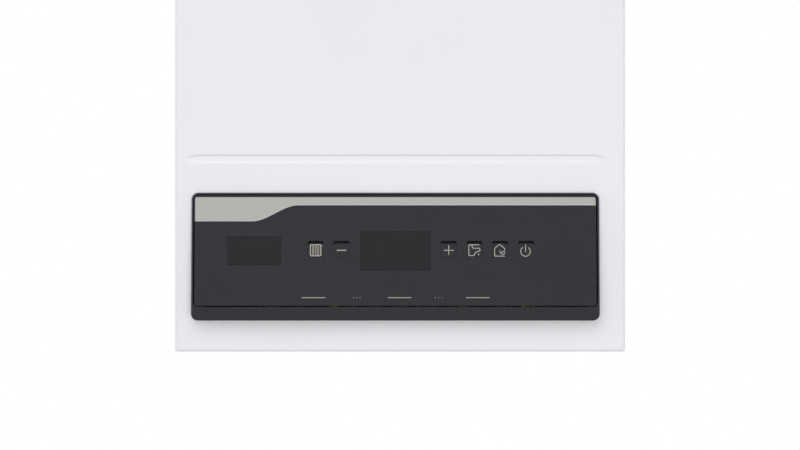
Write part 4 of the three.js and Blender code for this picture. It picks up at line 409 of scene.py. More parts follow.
def stacked(axis, outline, stations):
    """A closed outline carried through stations of (inset, height), closed at both ends."""
    loops = [np.column_stack([inset(outline, amount), np.full(len(outline), height)])
             for amount, height in stations]
    return capped(surface(along_axis(axis, np.stack(loops)), along=True), len(outline))


def shell(axis, outline, wall, low, high, edge=0.3):
    """A tube of any outline: up the outside, over the rounded rim and down the inside."""
    line = [(0, low + edge), (0, high - edge), (edge * 0.3, high - edge * 0.3), (edge, high),
            (wall - edge, high), (wall - edge * 0.3, high - edge * 0.3), (wall, high - edge),
            (wall, low + edge), (wall - edge * 0.3, low + edge * 0.3), (wall - edge, low),
            (edge, low), (edge * 0.3, low + edge * 0.3), (0, low + edge)]
    verts, faces = stacked(axis, outline, line)
    return verts, faces[:-2]


def folded(axis, line, thick, low, high, radius=1.6, edge=0.15):
    """A bent sheet: an open line with round folds, its thickness set off to the left."""
    path = rounded(line, radius, steps=4)
    ahead = unit(np.diff(path, axis=0))
    first, second = np.vstack([ahead[:1], ahead]), np.vstack([ahead, ahead[-1:]])
    way = unit(first + second)
    left = np.stack([-way[:, 1], way[:, 0]], -1)
    left = left * thick / np.sum(way * first, axis=1)[:, None]
    return extruded(axis, np.vstack([path, (path + left)[::-1]]), low, high, 0, edge, 2)


def screw(axis, radius, base, top, a, b, sides=40):
    """A screw's pan head: rings that follow a dome, sunk inside two crossed slots."""
    share = np.array([0, 0.07, 0.14, 0.2, 0.28, 0.38, 0.48, 0.55, 0.62, 0.8, 0.92, 1.0])[:, None]
    angle = np.linspace(0, 2 * math.pi, sides, endpoint=False)
    u, v = radius * share * np.cos(angle), radius * share * np.sin(angle)
    near, far = np.minimum(np.abs(u), np.abs(v)), np.maximum(np.abs(u), np.abs(v))
    slot = (np.clip((0.17 * radius - near) / (0.07 * radius), 0, 1)
            * np.clip((0.62 * radius - far) / (0.14 * radius), 0, 1))
    height = top - (top - base) * (0.55 * share ** 4 + 0.5 * slot)
    points = np.stack([a + u, b + v, height + 0 * u], -1)
    skirt = np.stack([a + u[-1:], b + v[-1:], np.full((1, sides), base)], -1)
    verts, faces = surface(along_axis(axis, np.concatenate([points, skirt])), along=True)
    faces.append(list(range(len(verts) - sides, len(verts))))
    return verts, faces


def screws(axis, radius, base, top, spots, sides=28):
    """One screw's head at each of some places."""
    return [screw(axis, radius, base, top, a, b, sides) for a, b in spots]


def piece(name, body, node=None, slot=None, facets=32.0, closed=True, own_frame=None,
          **by_finish):
    """One finished piece: patches, listed under the finish they get, become a mesh, its
    doubles merged and its normals turned outwards, shaded smooth below an angle, riding on
    a body and standing for its node."""
    mesh = bpy.data.meshes.new(name)
    points, faces, shades, start = [], [], [], 0
    for index, patches in enumerate(by_finish.values()):
        for verts, quads in patches:
            points.append(verts)
            faces.extend([[corner + start for corner in quad] for quad in quads])
            shades.extend([index] * len(quads))
            start += len(verts)
    together = np.concatenate(points)
    if own_frame is not None:
        together = own_frame(together)
    mesh.from_pydata(place(together).tolist(), [], faces)
    mesh.polygons.foreach_set("material_index", shades)
    shape = bmesh.new()
    shape.from_mesh(mesh)
    bmesh.ops.remove_doubles(shape, verts=shape.verts, dist=2e-6)
    bmesh.ops.dissolve_degenerate(shape, edges=shape.edges, dist=1e-7)
    if closed:
        bmesh.ops.recalc_face_normals(shape, faces=shape.faces)
    shape.to_mesh(mesh)
    shape.free()
    mesh.polygons.foreach_set("use_smooth", [True] * len(mesh.polygons))
    mesh.set_sharp_from_angle(angle=math.radians(facets))
    for finish in by_finish:
        mesh.materials.append(finishes()[finish])
    item = bpy.data.objects.new(name, mesh)
    bpy.context.scene.collection.objects.link(item)
    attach(item, body)
    if node:
        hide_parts(node)
    if closed:
        even = item.modifiers.new("even_shading", "WEIGHTED_NORMAL")
        even.keep_sharp = True
    return item


# -------------------------------------------------------------------- materials

class Number:
    """A number inside a material. Arithmetic on it adds Math nodes, from either side."""

    def __init__(self, paint, socket):
        self.paint = paint
        self.socket = socket


def arithmetic(how, swapped=False):
    """A method of Number that adds one Math node; swapped, the number comes second."""
    def method(self, other):
        return self.paint.math(how, *((other, self) if swapped else (self, other)))
    return method


for sign, how in (("add", "ADD"), ("sub", "SUBTRACT"), ("mul", "MULTIPLY"),
                  ("truediv", "DIVIDE"), ("gt", "GREATER_THAN"), ("lt", "LESS_THAN")):
    setattr(Number, "__%s__" % sign, arithmetic(how))
for sign, how in (("radd", "ADD"), ("rmul", "MULTIPLY")):
    setattr(Number, "__%s__" % sign, arithmetic(how, swapped=True))


class Paint:
    """A material being mixed: one Principled shader and the nodes that feed it."""

    def __init__(self, name, base, roughness, metallic=0.0, **constants):
        self.material = bpy.data.materials.new(name)
        self.material.use_nodes = True
        self.tree = self.material.node_tree
        self.shader = self.tree.nodes["Principled BSDF"]
        self.base = tuple(base)[:3]
        self.shader.inputs["Base Color"].default_value = (*self.base, 1.0)
        self.shader.inputs["Roughness"].default_value = roughness
        self.shader.inputs["Metallic"].default_value = metallic
        for socket, value in constants.items():
            self.shader.inputs[socket.replace("_", " ")].default_value = value
        self.relief = None
        self.where = self.node("ShaderNodeTexCoord").outputs["Object"]

    def node(self, kind, inputs=None, **settings):
        """Adds a node; inputs may be numbers, sockets or Numbers."""
        node = self.tree.nodes.new(kind)
        for name, value in settings.items():
            setattr(node, name, value)
        for name, value in (inputs or {}).items():
            self.feed(node.inputs[name], value)
        return node

    def feed(self, socket, value):
        """Links or sets one socket."""
        if isinstance(value, Number):
            value = value.socket
        if isinstance(value, bpy.types.NodeSocket):
            self.tree.links.new(value, socket)
        else:
            socket.default_value = value

    def math(self, how, first, second=0.5):
        """One Math node."""
        node = self.node("ShaderNodeMath", {0: first, 1: second}, operation=how)
        return Number(self, node.outputs[0])

    def coordinates(self, stretch=(1, 1, 1)):
        """Object coordinates, stretched."""
        return self.node("ShaderNodeMapping", {"Vector": self.where,
                                               "Scale": stretch}).outputs["Vector"]

    def noise(self, scale, detail=3.0, rough=0.5, stretch=(1, 1, 1)):
        """Smooth noise from 0 to 1 with `scale` bumps a metre."""
        node = self.node("ShaderNodeTexNoise", {
            "Vector": self.coordinates(stretch), "Scale": scale, "Detail": detail,
            "Roughness": rough})
        return Number(self, node.outputs["Fac"])

    def cells(self, scale):
        """Cells round scattered points, `scale` to the metre, each with its own number."""
        node = self.node("ShaderNodeTexVoronoi", {"Vector": self.coordinates(),
                                                  "Scale": scale})
        parts = self.node("ShaderNodeSeparateColor", {0: node.outputs["Color"]})
        return Number(self, parts.outputs[0])

    def part(self, axis):
        """One of the object coordinates, in metres."""
        node = self.node("ShaderNodeSeparateXYZ", {0: self.where})
        return Number(self, node.outputs["XYZ".index(axis)])

    def attribute(self, name):
        """A number stored on the piece's own points."""
        node = self.node("ShaderNodeAttribute", attribute_name=name)
        return Number(self, node.outputs["Fac"])

    def ramp(self, value, low, high, to_low=0.0, to_high=1.0):
        """A value between low and high, spread from to_low to to_high and held there."""
        node = self.node("ShaderNodeMapRange", {"Value": value, "From Min": low, "From Max": high,
                                                "To Min": to_low, "To Max": to_high})
        return Number(self, node.outputs["Result"])

    def mixed(self, share, first, second):
        """Two colours mixed by a share; a colour is a triple or a socket."""
        node = self.node("ShaderNodeMix", data_type="RGBA")
        self.feed(node.inputs["Factor"], share)
        for socket, value in ((node.inputs[6], first), (node.inputs[7], second)):
            self.feed(socket, (*value, 1.0) if isinstance(value, tuple) else value)
        return node.outputs[2]

    def shade(self, factor):
        """The base colour made darker or lighter by a factor."""
        return tuple(min(1.0, c * factor) for c in self.base)

    def colour(self, socket):
        """Feeds the base colour."""
        self.feed(self.shader.inputs["Base Color"], socket)

    def rough(self, value):
        """Feeds the roughness."""
        self.feed(self.shader.inputs["Roughness"], value)

    def bump(self, height, depth):
        """A relief whose full height is `depth` millimetres, over the relief below it."""
        node = self.node("ShaderNodeBump", {"Height": height, "Distance": depth * MM})
        if self.relief is not None:
            self.feed(node.inputs["Normal"], self.relief)
        self.relief = node.outputs["Normal"]
        self.feed(self.shader.inputs["Normal"], self.relief)


def powder_coat(name, base, edge=False):
    """Stoved powder: orange peel of about 2 mm, a trace of cloudiness in tone and gloss.
    With `edge`, it is painted whiter where the groove's lower edge is marked, a painted highlight
    on the wall that light from above would catch."""
    paint = Paint(name, base, 0.36, Coat_Weight=0.12, Coat_Roughness=0.22)
    peel = paint.noise(380, 2.0)
    fine = paint.noise(1900, 2.0)
    cloud = paint.noise(7, 3.0)
    tone = paint.mixed(paint.ramp(cloud, 0.3, 0.7), paint.shade(0.985), paint.shade(1.01))
    if edge:
        # painted highlight: the groove's lower wall is made whiter than the coat
        tone = paint.mixed(paint.attribute("painted_groove_highlight"), tone, paint.shade(1.15))
    paint.colour(tone)
    paint.rough(0.33 + 0.05 * cloud + 0.03 * fine)
    paint.bump(peel, 0.012)
    paint.bump(fine, 0.004)
    return paint.material


def moulded(name, base, roughness=0.5, grain=1500, depth=0.012, speckle=0.05, sheen=0.4,
            rim=None):
    """Moulded plastic: a spark-eroded grain, faint speckle, and gloss that varies with it.
    With `rim`, the points marked as an outer rim are painted paler by that factor, a painted
    highlight on the rounded edge."""
    paint = Paint(name, base, roughness, Specular_IOR_Level=sheen)
    bits = paint.noise(grain, 4.0, 0.6)
    wide = paint.noise(24, 3.0)
    tone = paint.ramp(0.6 * bits + 0.4 * wide, 0.35, 0.65)
    mottled = paint.mixed(tone, paint.shade(1 - speckle), paint.shade(1 + speckle))
    if rim:
        # painted highlight: the marked outer rim is made paler
        mottled = paint.mixed(paint.attribute("rim"), mottled, paint.shade(rim))
    paint.colour(mottled)
    paint.rough(roughness - 0.06 + 0.12 * bits)
    paint.bump(bits, depth)
    return paint.material


def galvanised(name, base):
    """Zinc spangle: crystals of about 9 mm, each with its own tone and gloss, under fine
    drawing lines and a few dull patches."""
    paint = Paint(name, base, 0.4, 0.85)
    crystal = paint.cells(110)
    second = paint.cells(260)
    lines = paint.noise(60, 2.0, stretch=(1, 1, 30))
    patch = paint.noise(9, 4.0)
    tone = 0.55 * crystal + 0.25 * second + 0.2 * lines
    paint.colour(paint.mixed(paint.ramp(tone, 0.15, 0.85), paint.shade(0.82), paint.shade(1.1)))
    paint.rough(0.3 + 0.16 * crystal + 0.12 * patch)
    paint.bump(tone, 0.01)
    return paint.material


def bare_metal(name, base, roughness=0.32, brushed=(1, 1, 1), tarnish=None, tarnish_share=0.3):
    """Bare metal: fine drawing lines along one way, with tarnish in soft patches."""
    paint = Paint(name, base, roughness, 1.0)
    lines = paint.noise(900, 2.0, stretch=brushed)
    cloud = paint.noise(38, 5.0, 0.6)
    dull = paint.ramp(cloud, 0.62 - tarnish_share * 0.5, 0.75)
    bright = paint.mixed(lines, paint.shade(0.9), paint.shade(1.08))
    paint.colour(paint.mixed(dull * 0.8, bright, tarnish or paint.shade(0.62)))
    paint.rough(roughness - 0.07 + 0.12 * lines + 0.18 * dull)
    paint.bump(lines, 0.006)
    return paint.material


def casting(name, base, metallic, roughness=0.55, grain=420, depth=0.09):
    """A sand or die casting: pitted skin, darker in its pits."""
    paint = Paint(name, base, roughness, metallic)
    pits = paint.noise(grain, 5.0, 0.62)
    wide = paint.noise(30, 3.0)
    paint.colour(paint.mixed(paint.ramp(pits, 0.35, 0.62), paint.shade(0.72), paint.shade(1.08)))
    paint.rough(roughness - 0.08 + 0.16 * wide)
    paint.bump(pits, depth)
    return paint.material


def metal_flake(name, base):
    """Silver lacquer: aluminium flakes well under a millimetre, each tipped its own way. The
    sloping border, marked on the piece's points, is painted paler: a painted highlight where it
    would catch a little more light."""
    paint = Paint(name, base, 0.42, 0.25, Specular_IOR_Level=0.3)
    flake = paint.cells(3800)
    border = paint.attribute("border")
    tone = paint.ramp(flake, 0.0, 1.0, 0.35, 0.65)
    body = paint.mixed(tone, paint.shade(0.93), paint.shade(1.06))
    # painted highlight: the sloping border is made paler
    paint.colour(paint.mixed(border * 0.45, body, paint.shade(1.3)))
    paint.rough(0.38 + 0.1 * flake)
    paint.bump(flake, 0.004)
    return paint.material


def smoked_glass(name, base):
    """Smoked acrylic: see-through enough for the unlit digits, with faint moulding waves."""
    paint = Paint(name, base, 0.16, Alpha=0.8, Specular_IOR_Level=0.06)
    wave = paint.noise(30, 2.0)
    fine = paint.noise(900, 2.0)
    paint.colour(paint.mixed(wave, paint.shade(0.97), paint.shade(1.03)))
    paint.rough(0.14 + 0.05 * wave + 0.03 * fine)
    paint.bump(wave, 0.02)
    return paint.material


def ink(name, base):
    """Pad-printed ink: slightly uneven cover."""
    paint = Paint(name, base, 0.5)
    cover = paint.noise(2600, 3.0)
    paint.colour(paint.mixed(cover, paint.shade(0.94), paint.shade(1.05)))
    paint.rough(0.46 + 0.08 * cover)
    paint.bump(cover, 0.003)
    return paint.material


def circuit_board(name, base):
    """Solder mask over tracks: straight runs on a 2.5 mm raster where a coarse cell pattern
    allows them, darker holes between, a matt weave under all."""
    paint = Paint(name, base, 0.4, Specular_IOR_Level=0.15)
    along, up = paint.part("X"), paint.part("Z")
    lane = paint.math("PINGPONG", up * 400, 0.5)
    cross = paint.math("PINGPONG", along * 400, 0.5)
    patch = paint.cells(55)
    runs = (lane < 0.13) * (patch > 0.45) + (cross < 0.13) * (patch < 0.3)
    weave = paint.noise(1400, 2.0)
    mask = paint.mixed(paint.math("MINIMUM", runs, 1.0), paint.base, paint.shade(1.7))
    paint.colour(paint.mixed(weave * 0.3, mask, paint.shade(0.8)))
    paint.rough(0.34 + 0.12 * weave)
    paint.bump(runs, 0.03)
    return paint.material


def glazed(name, base):
    """Glazed ceramic: warm white with a few iron specks under a smooth glaze."""
    paint = Paint(name, base, 0.22, Coat_Weight=0.4)
    speck = paint.noise(1300, 2.0)
    paint.colour(paint.mixed(paint.ramp(speck, 0.68, 0.74), paint.base, (0.42, 0.33, 0.24)))
    paint.rough(0.18 + 0.08 * paint.noise(60))
    paint.bump(paint.noise(200), 0.01)
    return paint.material


def braided(name, base):
    """Stainless braid: crossed wire bundles round the hose, from its own map."""
    paint = Paint(name, base, 0.36, 1.0)
    turned_by = paint.math("ARCTAN2", paint.attribute("round_y"), paint.attribute("round_x"))
    across, along = turned_by / (2 * math.pi), paint.attribute("run")
    first = paint.math("PINGPONG", across * 12 + along * 160, 0.5)
    second = paint.math("PINGPONG", across * 12 - along * 160, 0.5)
    knit = paint.math("MAXIMUM", first, second)
    fine = paint.noise(2600, 2.0)
    paint.colour(paint.mixed(paint.ramp(knit, 0.2, 0.5), paint.shade(0.35), paint.shade(1.1)))
    paint.rough(0.3 + 0.14 * fine)
    paint.bump(knit, 0.5)
    return paint.material


FINISHES = {}


def finishes():
    """All materials, made once from the chosen colours."""
    if FINISHES:
        return FINISHES
    tones = bpy.context.scene.boiler_colours
    FINISHES.update(
        # True gives the enamel its painted highlight along the groove's lower edge
        enamel=powder_coat("powder_coat_white", tones.enamel, True),
        zinc=galvanised("galvanised_sheet", tones.zinc),
        # the last number, 5.0, paints the frame's outer rim paler as a painted highlight
        frame=moulded("panel_frame_plastic", tones.frame, 0.46, 1500, 0.006, 0.04, 0.12, 5.0),
        fascia=moulded("fascia_plastic", tones.fascia, 0.42, 1900, 0.004, 0.03, 0.06),
        silver=metal_flake("silver_lacquer", tones.silver),
        window=smoked_glass("smoked_acrylic", tones.window),
        print=ink("pad_print", tones.print),
        digit_body=moulded("digit_module", rgb(58, 54, 56), 0.5, 900),
        digit=moulded("unlit_segment", rgb(142, 136, 134), 0.45, 900),
        grey=moulded("grey_plastic", rgb(143, 146, 148), 0.52, 900, 0.03),
        black=moulded("black_plastic", rgb(34, 34, 36), 0.5, 900, 0.03),
        red=moulded("red_plastic", rgb(176, 32, 26), 0.42, 900, 0.02),
        board=circuit_board("circuit_board", rgb(28, 92, 58)),
        dark_board=circuit_board("dark_circuit_board", rgb(5, 5, 6)),
        copper=bare_metal("drawn_copper", rgb(205, 128, 92), 0.3, (1, 1, 0.1),
                          rgb(120, 72, 50), 0.35),
        solder=casting("soft_solder", rgb(176, 176, 172), 0.9, 0.36, 300, 0.12),
        brass=bare_metal("machined_brass", rgb(203, 170, 108), 0.3, (1, 1, 0.2),
                         rgb(140, 112, 66), 0.25),
        rough_brass=casting("cast_brass", rgb(184, 152, 96), 0.95, 0.48, 500, 0.07),
        steel=bare_metal("stainless_steel", rgb(196, 198, 200), 0.28, (0.15, 1, 1)),
        iron=casting("painted_iron", rgb(62, 66, 72), 0.1, 0.5, 260, 0.12),
        aluminium=casting("die_cast_aluminium", rgb(176, 178, 180), 0.85, 0.45, 600, 0.05),
        vessel=powder_coat("stove_enamel_red", tones.vessel),
        ceramic=glazed("glazed_ceramic", rgb(232, 227, 214)),
        braid=braided("steel_braid", rgb(190, 192, 195)),
        rubber=moulded("black_rubber", rgb(26, 26, 27), 0.72, 700, 0.04),
        cream=moulded("cream_plastic", rgb(222, 216, 200), 0.45, 900, 0.02),
        blue=moulded("blue_plastic", rgb(38, 74, 138), 0.45, 900, 0.02),
    )
    return FINISHES


# ------------------------------------------------------------------ front cover

def stations(*runs):
    """Grid lines: each run is (from, to, step), shared ends given once."""
    lines = [np.linspace(a, b, max(2, int(round(abs(b - a) / step)) + 1)) for a, b, step in runs]
    return np.unique(np.round(np.concatenate(lines), 5))


def wrapped(across, up, half, low, high, back, radius):
    """A folded sheet: grid points are carried over the edges of a box, so that beyond a
    side they run back along its flange; each then lies `radius` from the nearest point of
    the box shrunk by that radius, which rounds the folds."""
    x, z = np.meshgrid(across, up, indexing="ij")
    over_x = np.maximum(np.abs(x) - half, 0)
    over_z = np.maximum(np.maximum(z - high, low - z), 0)
    points = np.stack([np.clip(x, -half, half), FRONT + over_x + over_z,
                       np.clip(z, low, high)], -1)
    near = np.stack([np.clip(points[..., 0], radius - half, half - radius),
                     np.maximum(points[..., 1], FRONT + radius),
                     np.clip(points[..., 2], low + radius, high - radius)], -1)
    points = near + radius * unit(points - near)
    points[..., 1] = np.minimum(points[..., 1], back)
    return points, (over_x > 0) & (over_z > 0)


GROOVE_Z, GROOVE_HALF = 184.2, 4.4
GROOVE_REACH, GROOVE_TIP = 204.5, 14.0
GROOVE_BAND, GROOVE_SHARE = 6.0, 0.75


def groove_half(x):
    """Half the groove's height, which falls straight to nothing over each tip."""
    return GROOVE_HALF * np.clip((GROOVE_REACH - np.abs(x - PANEL_X)) / GROOVE_TIP, 0, 1)


def groove_rows(x, z):
    """Heights of the grid rows near the groove, bent so that they run along its walls: the
    inner share of the band fills the groove, and the rest spreads outside it."""
    share = (z - GROOVE_Z) / GROOVE_BAND
    half = np.maximum(groove_half(x), 0.45)
    size = np.abs(share)
    inside = size / GROOVE_SHARE * half
    outside = half + (GROOVE_BAND - half) * (size - GROOVE_SHARE) / (1 - GROOVE_SHARE)
    bent = GROOVE_Z + np.sign(share) * np.where(size <= GROOVE_SHARE, inside, outside)
    return np.where(size < 1, bent, z)


def groove_shape(x, z, depth, wall):
    """How deep the groove is: a smooth step below its upper edge, times a parabola that
    rises more slowly from its lower edge."""
    half = groove_half(x)
    upper = np.clip((half - (z - GROOVE_Z)) / wall, 0, 1)
    lower = np.clip((half + (z - GROOVE_Z)) / (2.6 * wall), 0, 1)
    return depth * upper * upper * (3 - 2 * upper) * lower * (2 - lower)


class BOILER_OT_front_cover(bpy.types.Operator):
    """Front cover: one sheet folded back all round, with the groove and the opening"""
    bl_idname = "boiler.front_cover"
    bl_label = "Front cover"

    def execute(self, context):
        sizes = context.scene.boiler_sizes
        half, top = float(COVER_HIGH[0]), CASING_HIGH
        radius, back = sizes.cover_radius, float(COVER_HIGH[1])
        fold = np.array([0, 0.5, 1.0, 1.5, 2.0])
        flange = np.array([9, 18, 28])
        left, right = PANEL_X - OPENING_HALF, PANEL_X + OPENING_HALF
        # fine steps over the groove's tips, and one line beside each edge of the opening, so
        # that the shading bends under the panel frame
        beside = 0.4
        tip_start = GROOVE_REACH - GROOVE_TIP
        across = np.unique(np.concatenate([
            stations((-half + 2, -204, 1.5), (-204, left, 0.8), (left, -160, 3.6),
                     (-160, 150, 5.2), (150, right, 3.4), (right, 200.2, 0.6),
                     (200.2, half - 2, 1.6)),
            stations((PANEL_X - GROOVE_REACH, PANEL_X - tip_start, 0.5)),
            stations((PANEL_X + tip_start, PANEL_X + GROOVE_REACH, 0.5)),
            -half + fold, half - fold, -half - fold[1:], half + fold[1:], -half - flange,
            half + flange, [left - beside, right + beside]]))
        band_low, band_high = GROOVE_Z - GROOVE_BAND, GROOVE_Z + GROOVE_BAND
        up = np.unique(np.concatenate([
            stations((2, 39.8, 4.2), (HOLE_LOW, OPENING_HIGH, 6.1),
                     (OPENING_HIGH, band_low, 4.8), (band_low, band_high, 0.3),
                     (band_high, 700, 9.3), (700, top - 2, 6.3)),
            fold, top - fold, -fold[1:], top + fold[1:], -flange, top + flange,
            [HOLE_LOW - beside, OPENING_HIGH + beside]]))
        points, corner = wrapped(across, up, half, 0.0, top, back, radius)
        points[..., 2] = groove_rows(points[..., 0], points[..., 2])
        x, z = points[..., 0], points[..., 2]
        flat = (np.abs(x) < half - 4) & (z > 4) & (z < top - 4)
        points[..., 1] += np.where(flat, groove_shape(x, z, sizes.groove_depth,
                                                      sizes.groove_wall), 0)
        middle_x = (across[1:] + across[:-1])[:, None] / 2
        middle_z = (up[1:] + up[:-1])[None, :] / 2
        hole = ((middle_x > left) & (middle_x < right)
                & (middle_z > HOLE_LOW) & (middle_z < OPENING_HIGH))
        spare = (corner[1:, 1:] & corner[:-1, :-1]) | (corner[1:, :-1] & corner[:-1, 1:])
        outside = ((np.abs(middle_x) > half) & ((middle_z > top) | (middle_z < 0)))
        verts, faces = surface(points, keep=~(hole | spare | outside))
        faces = [face[::-1] for face in faces]
        cover = piece("front_cover_sheet", "cover", "front_cover", "white_enamel", closed=False,
                      enamel=[(verts, faces)])
        # marks where the enamel's painted highlight goes
        self.mark_painted_groove_highlight(cover.data)
        wall = cover.modifiers.new("sheet", "SOLIDIFY")
        wall.thickness = sizes.sheet * MM
        wall.offset = -1.0
        wall.use_even_offset = True
        tabs = []
        for side in (-1, 1):
            x = side * 150.0
            slot = box_outline(x - 2.3, x + 2.3, -259, -246.5, 2.2)
            plate = box_outline(x - 8, x + 8, -298.5, -248, 1.5)
            tabs.append(drilled(plate, [slot], "z", 3.05, 3.95, 0.2))
            tabs.append(cushion_block(x - 8, x + 8, -299, -298, 1.2, 3.9, 0.3))
        piece("front_cover_tabs", "cover", slot="white_enamel", enamel=tabs)
        return {"FINISHED"}

    def mark_painted_groove_highlight(self, mesh):
        """Stores, on each point, how strongly the enamel's painted highlight shows: near the
        groove's lower edge, from inside.
        """
        x, y, z = placed_points(mesh).T
        half = groove_half(x)
        above = half + (z - GROOVE_Z)
        share = np.maximum(half / GROOVE_HALF, 0.05)
        near = np.clip((above + 0.3) / 0.5, 0, 1)
        near *= 1 - np.clip((above / share - 1.2) / 3.5, 0, 1)
        near *= np.clip((half - 0.2) / 1.8, 0, 1) * (y < FRONT + 4)
        store(mesh, "painted_groove_highlight", near)


# ------------------------------------------------------------------- panel frame

def tilted_face(z):
    """Where the frame's sloping face lies at a height."""
    return FRONT - TOP_PROUD - (FRAME_TOP - z) * math.tan(TILT)


class BOILER_OT_panel_frame(bpy.types.Operator):
    """Panel frame: a wedge-shaped bezel, its rim carried round the opening"""
    bl_idname = "boiler.panel_frame"
    bl_label = "Panel frame"

    def execute(self, context):
        edge = context.scene.boiler_sizes.frame_edge
        low, top = float(FRAME_LOW[2]) + HALF_HEIGHT, FRAME_TOP - 0.3
        half = float(FRAME_HIGH[0] - FRAME_LOW[0]) / 2
        outer = box_outline(-half, half, low, top, 6.5, 8)
        front = box_outline(-OPENING_HALF, OPENING_HALF, OPENING_LOW, OPENING_HIGH + 0.5, 4.7, 8)
        rear = box_outline(-OPENING_HALF, OPENING_HALF, OPENING_LOW - 3.1, OPENING_HIGH, 4.7, 8)
        # the ring's stations: outer wall from the cover forwards, over a quarter-round
        # edge, across the face, over the inner edge and back down the inner wall
        bend = np.linspace(0, math.pi / 2, 5)
        rings = [(outer, 0.3, None)]
        for angle in bend:
            rings.append((inset(outer, edge * (1 - math.cos(angle))), None,
                          edge * (1 - math.sin(angle))))
        for share in (0.2, 0.4, 0.6, 0.8):
            line = inset(outer, edge) * (1 - share) + inset(front, -0.35) * share
            rings.append((line, None, 0.0))
        for angle in bend:
            rings.append((inset(front, -0.35 * (1 - math.sin(angle))), None,
                          0.35 * (1 - math.cos(angle))))
        rings.append((rear, 0.3, None))
        loops = []
        for line, fixed, sink in rings:
            y = (np.full(len(line), FRONT - fixed) if sink is None
                 else tilted_face(line[:, 1]) + sink)
            loops.append(np.column_stack([line[:, 0] + PANEL_X, y, line[:, 1]]))
        points = np.stack(loops)
        verts, faces = surface(points, around=True, along=True)
        bezel = piece("panel_frame_bezel", "cover", "panel_frame", "dark_plastic", facets=38,
                      frame=[(verts, faces)])
        self.mark_painted_rim_highlight(bezel.data, half, low, top)
        return {"FINISHED"}

    def mark_painted_rim_highlight(self, mesh, half, low, top):
        """Stores, on each point, how strongly the frame's painted highlight shows: near the
        bezel's outer outline, fading out over the frame's lowest 12 mm.
        """
        x, _, height = placed_points(mesh).T
        corner = 6.5
        x = np.abs(x - PANEL_X) - (half - corner)
        z = np.abs(height - (top + low) / 2) - ((top - low) / 2 - corner)
        depth = corner - np.hypot(np.maximum(x, 0),
                                  np.maximum(z, 0)) - np.minimum(np.maximum(x, z), 0)
        # the painted highlight is left off the frame's lowest part
        upper = np.clip((height - low - 4) / 8, 0, 1)
        store(mesh, "rim", upper * (1 - np.clip(depth / 1.3, 0, 1) ** 2))


# ------------------------------------------------------------- fascia and its trim

def strip_edge(x):
    """Height of the silver strip's lower edge: 24.3 mm below the top on the left and 8.9 mm
    on the right, joined by a smooth S over 43.6 mm."""
    share = np.clip((x + 136.5) / 43.6, 0, 1)
    bend = share * share * (3 - 2 * share)
    return FASCIA_RISE - 24.3 + (24.3 - 8.9) * bend


class BOILER_OT_fascia(bpy.types.Operator):
    """Fascia: the tilted dark plate with its window and key cut-outs, and the print on it"""
    bl_idname = "boiler.fascia"
    bl_label = "Fascia"

    def execute(self, context):
        plate = box_outline(-FASCIA_HALF, FASCIA_HALF, -FASCIA_RISE, FASCIA_RISE + 0.9, 2.5)
        holes = [box_outline(x - w / 2 - 0.1, x + w / 2 + 0.1, -t / 2 - 0.1, t / 2 + 0.1, 1.4)
                 for x, w, t in (SMALL_WINDOW, LARGE_WINDOW)]
        for x in KEYS.values():
            # the slot's outer upper corner droops, and its lower corners are nearly square
            wide, low, high = KEY_WIDE / 2 + 0.07, KEY_LOW - 0.1, KEY_LOW + KEY_TALL + 2.6
            bend = (0.1, 0.1, 1.1, 2.2) if x < 0 else (0.1, 0.1, 2.2, 1.1)
            holes.append(rounded([(x - wide, low), (x + wide, low), (x + wide, high),
                                  (x - wide, high)], bend, closed=True))
        front = drilled(plate, holes, "y", 0.0, 2.5, 0.1)
        bosses = [rod("y", 3, 2.3, 7.7, x, side * 32, 0.4, 28)
                  for x in (-171.5, -50, 140) for side in (-1, 1)]
        ribs = [cushion_block(x - 0.6, x + 0.6, 2.3, 5.5, -44, 44, 0.3, 2)
                for x in (-186, -100, 42.2, 186)]
        piece("fascia_front", "control_box", "fascia_plate", "fascia_plastic", own_frame=tilted,
              fascia=[front, *bosses, *ribs])
        bars = [cushion_block(x0, x1, -0.06, 0.1, -45.2, -44.5, 0.05, 2)
                for x0, x1 in ((-89.0, -66.8), (-7.0, 15.2), (67.1, 89.4))]
        # the row's two gaps carry three plain dots each
        dots = [rod("y", 0.38, -0.06, 0.1, middle + step * 3.2, -44.9, 0.04, 16)
                for middle in (-36.9, 41.2) for step in (-1, 0, 1)]
        piece("printed_line_row", "control_box", slot="fascia_plastic", own_frame=tilted,
              print=bars + dots)
        return {"FINISHED"}


